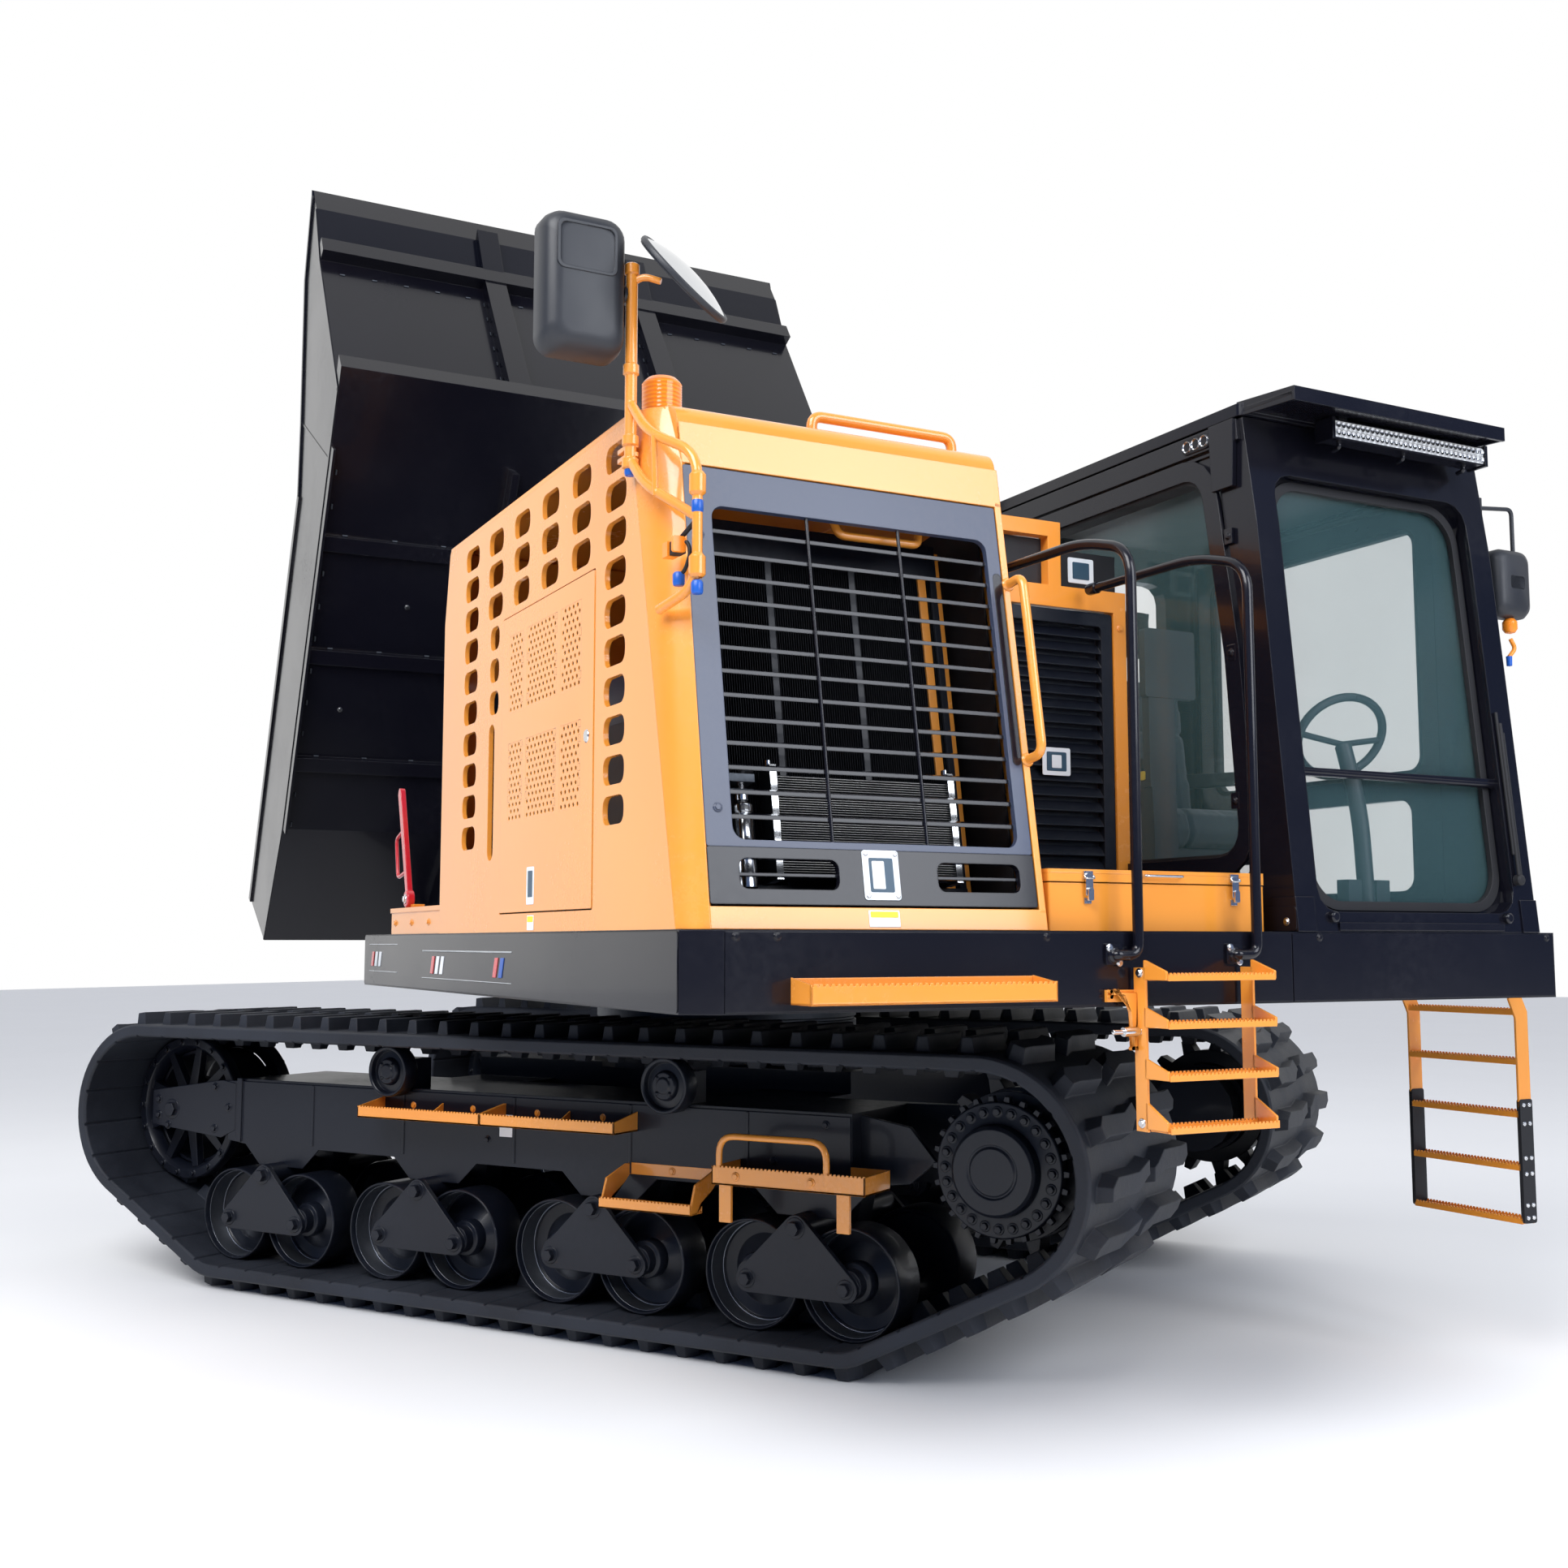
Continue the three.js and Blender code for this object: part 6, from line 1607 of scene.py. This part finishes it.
# %% Track steps
def track_steps():
    tray = Shape(yellow)
    y0, y1 = -1450.3, -1300.3
    for a, b in ((-742, -148), (-145, 449)):
        tray.block((a, b), (y0, y1), (708, 714))
        tray.plate("y", [(a, 708), (b, 708), *toothed(a, b, 752, 14, 5)], y0, y0 + 5)
        tray.block((a, b), (y1 - 5, y1), (708, 777))
        for end in (a, b - 5):
            tray.plate("x", [(y0, 708), (y1, 708), (y1, 777), (y0, 750)], end, end + 5)
        middle = (a + b) / 2
        tray.plate("x", [(y1 - 110, 713), (y1 - 4, 713), (y1 - 4, 764)], middle - 3, middle + 3)
        for x in (a + 150, b - 150):
            tray.bolt((x, y1 - 5, 748), "y", 9, 7, -1)
    tray.piece("tray_step", "root", GROUND, 1.2, 2, ("step_tray",))
    strap = Shape(yellow)
    y0 = -1480.3
    for a in (412, 774):
        strap.plate("x", bulged([(y0 + 40, 470), (y0 + 8, 474), (y0 + 40, 560), (y1 - 30, 594), (y1 - 4, 594),
                                 (y1 - 4, 570), (y1 - 40, 540), (y0 + 70, 500)][::-1], 4, 3), a, a + 8)
    strap.block((412, 782), (y1 - 8, y1), (560, 600))
    strap.block((412, 782), (y0, y0 + 76), (467, 472))
    strap.plate("y", [(412, 467), (782, 467), *toothed(412, 782, 504, 14, 5)], y0, y0 + 5)
    strap.block((412, 782), (y0 + 72, y0 + 77), (467, 492))
    strap.bolt((597, y1 - 8, 580), "y", 9, 7, -1)
    strap.piece("strap_step", "root", GROUND, 1.2, 2, ("c_step",))
    shelf = Shape(yellow)
    shelf.block((867, 1431), (y0, y1), (578, 584))
    shelf.plate("y", [(867, 578), (1431, 578), *toothed(867, 1431, 640, 15, 5)], y0, y0 + 5)
    shelf.block((867, 1431), (y1 - 5, y1), (578, 640))
    for end in (867, 1426):
        shelf.plate("x", [(y0, 578), (y1, 578), (y1, 640), (y0, 636)], end, end + 5)
    for x in (895, 1330):
        shelf.plate("x", [(y0 + 2, 459), (y0 + 15, 459), (y0 + 15, 592), (y0 + 2, 592)], x, x + 45)
    shelf.tube([(890, y0 + 10, 596), (890, y0 + 10, 735), (1290, y0 + 10, 735), (1290, y0 + 10, 596)], 11, 60, 14)
    for x in (960, 1240):
        shelf.bolt((x, y0, 608), "y", 10, 8, -1)
    shelf.piece("shelf_step", "root", GROUND, 1.2, 2, ("railed_step",))


track_steps()
print("tray, strap and shelf on the right track frame")

# %% [markdown]
# ## Mirrors and beacon
# A yellow mast at the corner of the housing carries a large mirror in a moulded shell, a round convex
# mirror and, on a branched guard tube, blue-capped clamps. The shell is a soft box: a rounded block whose
# back is drawn in, so it is lofted ring by ring. The beacon's lens is turned, with ribs round it.

# %% Mast
MAST = (2640, -1519)


def mast():
    x, y = MAST
    tubes = Shape(yellow)
    tubes.tube([(x, y, 2600), (x, y, 3130)], 16, sides=20)
    tubes.tube([(x, y, 3085), (x + 20, y + 26, 3100), (x + 44, y + 64, 3085)], 9, 20)
    tubes.tube([(x, y, 3040), (x - 4, y - 22, 3052), (x - 4, y - 44, 3050)], 9, 10)
    tubes.tube([(x, y, 2760), (2760, y, 2650), (2930, y + 62, 2560), (2930, y + 62, 2230), (2790, y + 20, 2190)], 13,
               70, 16, 8)
    tubes.tube([(x, y, 2610), (2740, y, 2520), (2930, y + 62, 2400)], 13, 60, 16)
    tubes.tube([(2790, y + 4, 2634), (2790, y + 10, 2480)], 8)
    for z, r in ((2600, 22), (2660, 22), (2850, 21), (3120, 20)):
        tubes.turned("z", (x, y), [(15, z - 16), (r, z - 12), (r, z + 12), (15, z + 16)], 24)
    tubes.plate("z", rounded((x - 80, x + 14), (y - 6, -1500.6), 4, 2), 2618, 2630)
    tubes.plate("z", rounded((x - 80, x + 14), (y - 6, -1500.6), 4, 2), 2642, 2654)
    for place, low in (((2930, y + 62), 2248), ((2930, y + 62), 2452)):
        tubes.turned("z", place, [(13, low), (21, low + 8), (21, low + 52), (13, low + 62)], 20)
    for px, pz in ((x - 60, 2636), (x - 30, 2636)):
        tubes.block((px - 9, px + 9), (-1509, -1500.6), (pz - 16, pz + 16))
    tubes.paint(blue_plastic)
    for (px, py), low in (((x, y), 2566), ((2930, y + 62), 2206), ((2930, y + 62), 2408), ((2868, y + 40), 2236)):
        tubes.turned("z", (px, py), [(0, low), (13, low + 2), (15, low + 8), (15, low + 30), (11, low + 36),
                                     (0, low + 36)], 20)
    tubes.paint(black_trim)
    tubes.tube([(2870, y + 44, 2330), (2890, y + 50, 2350), (2905, y + 56, 2320), (2890, y + 48, 2272),
                (2850, y + 40, 2262)], 5, 18)
    tubes.block((2842, 2880), (y + 26, y + 54), (2318, 2352))
    tubes.tube([(2860, y + 40, 2350), (2920, y + 60, 2390)], 6)
    tubes.paint(orange_lamp).plate("x", rounded((y + 14, y + 50), (2318, 2358), 6, 3), 2880, 2890)
    tubes.block((2810, 2842), (y + 20, y + 50), (2316, 2354))
    tubes.piece("mast_tubes", "upper", UPPER, 0.8, 2, ("mirror_mast",))


mast()
print("mast and guard tubes")

# %% Mirrors
def soft_box(shape, axis_levels, y, z):
    """A lofted box: each level is (x, inset, corner radius)."""
    rings = []
    for x, inset, radius in axis_levels:
        rings.append([(x, a, b) for a, b in rounded((y[0] + inset, y[1] - inset), (z[0] + inset, z[1] - inset),
                                                    radius, 6)])
    count = len(rings[0])
    points = [p for ring in rings for p in ring]
    loops = [(i * count + k, i * count + (k + 1) % count, (i + 1) * count + (k + 1) % count, (i + 1) * count + k)
             for i in range(len(rings) - 1) for k in range(count)]
    last = (len(rings) - 1) * count
    shape.patch(points, loops + [tuple(range(count)), tuple(last + k for k in range(count))])


def mirrors():
    x, y = MAST
    shell = Shape(plastic)
    across, up = (y - 250, y - 25), (2866, 3236)
    soft_box(shell, [(x - 58, 10, 38), (x - 60, 16, 34), (x - 60, 4, 42), (x - 52, 0, 44), (x - 8, 0, 46),
                     (x + 20, 4, 50), (x + 38, 14, 50), (x + 47, 30, 44), (x + 50, 46, 34)], across, up)
    shell.plate("x", rounded((y - 222, y - 60), (3070, 3200), 20, 5), x + 46, x + 52.5,
                [rounded((y - 214, y - 68), (3078, 3192), 16, 5)])
    shell.turned("y", (x - 2, 3050), [(0, y - 26), (22, y - 26), (22, y - 18), (0, y - 18)], 24)
    shell.paint(mirror_glass).plate("x", rounded((across[0] + 18, across[1] - 18), (up[0] + 18, up[1] - 18), 30, 6),
                                    x - 62, x - 59)
    shell.piece("mirror_shell", "mirror_right", UPPER, 0.8, 2, ("mirror_right",))
    place = (UPPER @ Matrix.Translation((x + 75, y + 110, 3080)) @ Matrix.Rotation(radians(-50), 4, "Z")
             @ Matrix.Rotation(radians(40), 4, "X"))
    bowl = Shape(plastic)
    bowl.turned("y", (0, 0), [(146, 2), (150, 4), (151, 10), (149, 16), (143, 19), (140, 16), (142, 6)], 64)
    bowl.turned("y", (0, 0), [(0, -1), (146, -1), (147, 5), (0, 8)], 48)
    bowl.paint(mirror_glass).turned("y", (0, 0), [(0, 41), (30, 40), (60, 37), (90, 31.5), (115, 25), (142, 15),
                                                  (142, 8), (0, 8)], 64)
    bowl.paint(yellow)
    bowl.turned("y", (0, 0), [(0, -2), (16, -2), (16, 2), (0, 2)], 20)
    bowl.piece("convex_mirror", "mirror_convex", place, 0.6, 2, ("mirror_convex",))
    left = Shape(plastic)
    soft_box(left, [(2781, 12, 30), (2779, 4, 34), (2786, 0, 34), (2822, 0, 36), (2840, 8, 38), (2850, 24, 30)],
             (CAB_LEFT + 70, CAB_LEFT + 230), (2440, 2670))
    left.plate("x", rounded((CAB_LEFT + 120, CAB_LEFT + 190), (2535, 2580), 10, 4), 2842, 2850)
    left.tube([(2815, CAB_LEFT + 10, 2800), (2815, CAB_LEFT + 180, 2815), (2815, CAB_LEFT + 180, 2655)], 7, 24)
    left.block((2795, 2835), (CAB_LEFT + 0.5, CAB_LEFT + 16), (2770, 2830))
    left.paint(mirror_glass).plate("x", rounded((CAB_LEFT + 84, CAB_LEFT + 216), (2454, 2656), 24, 6), 2777.5, 2780)
    left.paint(orange_lamp)
    left.turned("z", (2815, CAB_LEFT + 150), [(0, 2388), (16, 2392), (24, 2404), (24, 2428), (14, 2440), (0, 2440)], 24)
    left.tube([(2815, CAB_LEFT + 150, 2372), (2820, CAB_LEFT + 166, 2340), (2815, CAB_LEFT + 140, 2310)], 7, 14)
    left.paint(blue_plastic).turned("z", (2815, CAB_LEFT + 140), [(0, 2278), (9, 2280), (10, 2312), (0, 2312)], 16)
    left.piece("left_mirror", "mirror_left", UPPER, 0.8, 2, ("mirror_left",))


mirrors()
print("two mirror shells and a convex mirror")

# %% Beacon
lamp_shape = Shape(yellow)
lamp_shape.turned("z", (2540, -1390), [(0, 2755.4), (62, 2755.4), (62, 2764), (56, 2768), (0, 2768)], 48)
lamp_shape.paint(bright_steel).turned("z", (2540, -1390), [(0, 2767), (57, 2767), (58, 2774), (54, 2778),
                                                           (0, 2778)], 48)
lamp_shape.paint(amber)
profile = [(0, 2777)]
for i in range(12):
    profile += [(52.5, 2778 + i * 7), (54.5, 2781.5 + i * 7)]
lamp_shape.turned("z", (2540, -1390), profile + [(50, 2866), (40, 2876), (22, 2880), (0, 2881)], 48)
lamp_shape.piece("amber_beacon", "upper", UPPER, 0, replaces=("beacon",), angle=60)
print("beacon with a ribbed lens")

# %% [markdown]
# ## Dump bed dressing
# The bed's folded and welded plates are right in the CAD, so it stays and gets gloss paint. Close up, such a
# bed shows rows of short welds along each flange, a cover strip where wall plates meet and drain slots.
# They are small raised beads and strips set along the edges.

# %% Weld rows
def beads(shape, start, end, count, size=(26, 5, 3)):
    """A row of short weld beads from start to end."""
    start, end = Vector(start), Vector(end)
    ahead = (end - start).normalized()
    for i in range(count):
        middle = start.lerp(end, (i + 0.5) / count)
        a, b = middle - ahead * size[0] / 2, middle + ahead * size[0] / 2
        shape.tube([a, middle, b], size[1], 4, 8, 1)


def bed_dressing():
    bed = Shape(black)
    bed.plate("y", [(2060, 4), (2072, 4), (2072, 862), (2060, 858)], -1403, -1400)
    bed.plate("y", [(2060, 4), (2072, 4), (2072, 862), (2060, 858)], 1400, 1403)
    rim = [(1700, 676), (2063, 845), (2782, 1238), (3228, 1322), (3254, 1351), (2776, 1266), (2059, 873), (1696, 704)]
    for side in (-1, 1):
        bed.plate("y", rim, *sorted((side * 1386, side * 1411)))
        bed.plate("y", [(-770, 146), (0, 5), (2435, 5), (2425, 34), (2, 34), (-760, 172)], *sorted((side * 1400,
                                                                                            side * 1404)))
        bed.plate("y", [(2437, 8), (2941, 910), (3172, 1200), (3150, 1210), (2915, 915), (2418, 20)],
                  *sorted((side * 1400, side * 1405)))
    bed.paint(dark_steel)
    wall = lambda t, out: (2435 + 506 * t + out * 0.873, 906 * t - out * 0.487)
    for y0, y1 in ((-1380, -520), (-380, 380), (520, 1380)):
        for t, count in ((0.16, 6), (0.9, 5)):
            s, n = wall(t, 2)
            beads(bed, (s, y0, n), (s, y1, n), count)
    for y in (-520, -380, 380, 520):
        (s0, n0), (s1, n1) = wall(0.2, 2), wall(0.92, 2)
        beads(bed, (s0, y, n0), (s1, y, n1), 6)
        (s0, n0), (s1, n1) = wall(0.2, 2), wall(0.92, 2)
    for y in (-1360, 1360):
        for s in range(12):
            beads(bed, (s * 180, y, -3), (s * 180 + 60, y, -3), 1)
    for s in (400, 1020, 1640):
        for y0 in range(-1300, 1300, 260):
            beads(bed, (s + 44, y0, -3), (s + 44, y0 + 50, -3), 1)
            beads(bed, (s - 44, y0 + 120, -3), (s - 44, y0 + 170, -3), 1)
    bed.paint(bright_steel)
    for s, y in ((720, -1180), (1330, -900), (720, 1180), (1330, 900)):
        bed.turned("z", (s, y), [(0, -9), (11, -9), (14, -4), (14, 1), (0, 1)], 20)
    bed.piece("bed_dressing", "bed", BED, 0)


bed_dressing()
print("weld rows and strips on the bed")

# %% [markdown]
# ## Hoist cylinders
# Each hydraulic cylinder is a barrel with a collar, a chrome rod and an eye at each end. The barrel and the
# rod ride on different bodies, so each is its own turned piece, made from the same centre line.

# %% Hoist
def hoist(side, y):
    base = Vector((-550, y, 1260))
    head = UPPER.inverted() @ (BED @ Vector((100, y, -90)))
    span = (head - base).length
    ahead = (head - base).normalized()
    up = Vector((0, 1, 0)).cross(ahead)
    board = UPPER @ Matrix((( ahead.x, 0, up.x, base.x), (ahead.y, 1, up.y, base.y), (ahead.z, 0, up.z, base.z),
                            (0, 0, 0, 1)))
    shut = nodes[f"hoist_barrel_{side}"]
    reach = max((board.inverted() @ v.co).x for v in shut.data.vertices)
    barrel = Shape(frame_black)
    barrel.turned("x", (0, 0), [(0, 40), (48, 40), (61, 56), (61, 96), (57, 100), (57, reach - 90), (62, reach - 86),
                                (62, reach - 4), (58, reach), (43, reach), (43, reach - 60), (0, reach - 60)], 40)
    barrel.turned("y", (0, 0), [(0, -60), (46, -60), (50, -56), (50, 56), (46, 60), (0, 60)], 32)
    barrel.drum("y", (0, 0), 27, -86, 86, 24)
    barrel.tube([(110, 0, 57), (110, 0, 76), (150, 0, 80), (reach - 120, 0, 80), (reach - 100, 0, 72),
                 (reach - 100, 0, 57)], 9, 16)
    for x in (300, reach * 0.5, reach - 260):
        barrel.turned("x", (0, 0), [(56, x - 9), (60, x - 9), (60, x + 9), (56, x + 9)], 40)
    barrel.piece(f"hoist_tube_{side}", f"hoist_barrel_{side}", board, 1.0, 2,
                 (f"hoist_barrel_{side}",))
    rod = Shape(bright_steel)
    rod.turned("x", (0, 0), [(0, reach - 55), (40, reach - 55), (40, span - 52), (34, span - 44), (0, span - 44)], 40)
    rod.paint(frame_black).turned("y", (span, 0), [(0, -44), (38, -44), (42, -40), (42, 40), (38, 44), (0, 44)], 32)
    rod.turned("x", (0, 0), [(0, span - 60), (36, span - 60), (40, span - 52), (40, span - 20), (0, span - 20)], 32)
    rod.piece(f"hoist_chrome_{side}", f"hoist_rod_{side}", board, 0.8, 2, (f"hoist_rod_{side}",))
    return reach, span


print("barrel reach and full length, mm:", [tuple(round(v) for v in hoist(*one)) for one in (("right", -250), ("left", 250))])

# %% [markdown]
# ## Slew ring under the deck
# Between the deck and the undercarriage sits the slew ring with its bolt circle, which shows from low down.

# %% Slew ring
ring = Shape(dark_steel)
ring.turned("z", (0, 0), [(430, 992), (556, 992), (560, 998), (560, 1040), (552, 1044), (552, 1052), (560, 1056),
                          (560, 1096), (430, 1096)], 96)
ring.paint(steel)
for x, y in around(36, 500, (0, 0)):
    ring.turned("z", (x, y), [(0, 1090), (13, 1090), (13, 1099), (0, 1099)], 6)
ring.piece("slew_bearing", "root", GROUND, 1.0, 2, ("slew_ring",))
print("slew bearing with 36 bolts")

# %% [markdown]
# ## Finishes for the CAD nodes that stay
# Many plates are right as the CAD drew them. They keep their mesh and only get a finish, with the edges
# softened by the paint's own Bevel node.

# %% CAD finishes
CAD_FINISH = {
    "yellow_paint": yellow, "black_paint": black, "grey_paint": grey, "red_paint": red,
    "track_rubber": rubber, "dark_plastic": plastic, "seat_fabric": seat_cloth,
    "clear_glass": clear_glass, "amber_lens": amber, "bare_steel": steel, "mirror_face": mirror_glass,
}
UNDERCARRIAGE = ("chassis", "track_frame", "idler", "sprocket", "bogie", "carrier")
slot_of = {part["node"]: part["material_slot"] for part in frame["record"]["subparts"]}
for node_name, node in nodes.items():
    finish = CAD_FINISH[slot_of[node_name]]
    if node_name.startswith(UNDERCARRIAGE):
        finish = frame_black
    if node_name in ("windshield", "cab_glass_right"):
        finish = clear_glass
    node.data.materials.clear()
    node.data.materials.append(finish)
print("finishes on", len(nodes), "CAD nodes")

# %% [markdown]
# ## Floor, light and camera
# The studio is white behind the machine and deep blue where the viewer stands, so gloss black paint mirrors
# a cool dark room. Two wide, soft lamps over a pale floor do the rest:
# one from the camera's left and above, and a weaker one from the right. The camera stands low, on the
# right-hand side ahead of the machine, and looks slightly up.

# %% Floor
FLOOR_HALF = 40.0
floor_mesh = bpy.data.meshes.new("floor")
floor_mesh.from_pydata([(x * FLOOR_HALF, y * FLOOR_HALF, -0.4505) for x, y in ((-1, -1), (1, -1), (1, 1), (-1, 1))],
                       [], [(0, 1, 2, 3)])
floor = bpy.data.objects.new("floor", floor_mesh)
bpy.context.scene.collection.objects.link(floor)
floor_finish = Finish("pale_floor")
shade = floor_finish.noise(0.8, 3)
floor_finish.set(Base_Color=floor_finish.mix(shade, (0.9, 0.9, 0.9), (0.94, 0.94, 0.94)), Roughness=0.6 + shade * 0.1)
floor_mesh.materials.append(floor_finish.material)
print("the floor lies at", floor_mesh.vertices[0].co.z)

# %% Sky and lamps
world = bpy.data.worlds.new("studio")
bpy.context.scene.world = world
world.use_nodes = True
sky = world.node_tree
backdrop = sky.nodes["Background"]
coordinates = sky.nodes.new("ShaderNodeTexCoord")
facing = sky.nodes.new("ShaderNodeVectorMath")
facing.operation = "DOT_PRODUCT"
facing.inputs[1].default_value = (-0.48, 0.84, 0.42)
ramp = sky.nodes.new("ShaderNodeValToRGB")
sky.links.new(coordinates.outputs["Generated"], facing.inputs[0])
sky.links.new(facing.outputs["Value"], ramp.inputs[0])
sky.links.new(ramp.outputs[0], backdrop.inputs["Color"])
ramp.color_ramp.elements[0].color = (0.07, 0.12, 0.26, 1)
ramp.color_ramp.elements[0].position = 0.0
ramp.color_ramp.elements[1].color = (1.0, 1.0, 1.0, 1)
ramp.color_ramp.elements[1].position = 0.5
backdrop.inputs["Strength"].default_value = 1.0


def lamp(name, place, target, size, power, colour=(1, 1, 1)):
    light = bpy.data.lights.new(name, "AREA")
    light.shape, light.size, light.size_y = "RECTANGLE", size[0], size[1]
    light.energy, light.color = power, colour
    thing = bpy.data.objects.new(name, light)
    bpy.context.scene.collection.objects.link(thing)
    thing.location = place
    thing.rotation_euler = (Vector(target) - Vector(place)).to_track_quat("-Z", "Y").to_euler()
    return thing


lamp("key_softbox", (1.0, -9.0, 8.0), (0, 0, 0.8), (7, 5), 1150)
lamp("fill_softbox", (9.0, -3.5, 5.0), (0, 0, 0.8), (5, 5), 520, (0.92, 0.95, 1.0))
print("two soft lamps and a pale sky")

# %% Camera
YAW, PITCH = radians(120.024), radians(5.512)
camera_data = bpy.data.cameras.new("camera")
camera_data.lens, camera_data.sensor_width = 37.78, 36.0
camera = bpy.data.objects.new("camera", camera_data)
bpy.context.scene.collection.objects.link(camera)
camera.location = (3.81985, -6.1150, 0.91477)
gaze = Vector((cos(YAW) * cos(PITCH), sin(YAW) * cos(PITCH), sin(PITCH)))
camera.rotation_euler = gaze.to_track_quat("-Z", "Y").to_euler()
bpy.context.scene.camera = camera
bpy.context.scene.view_settings.view_transform = "Standard"
print("camera at", [round(c, 2) for c in camera.location])
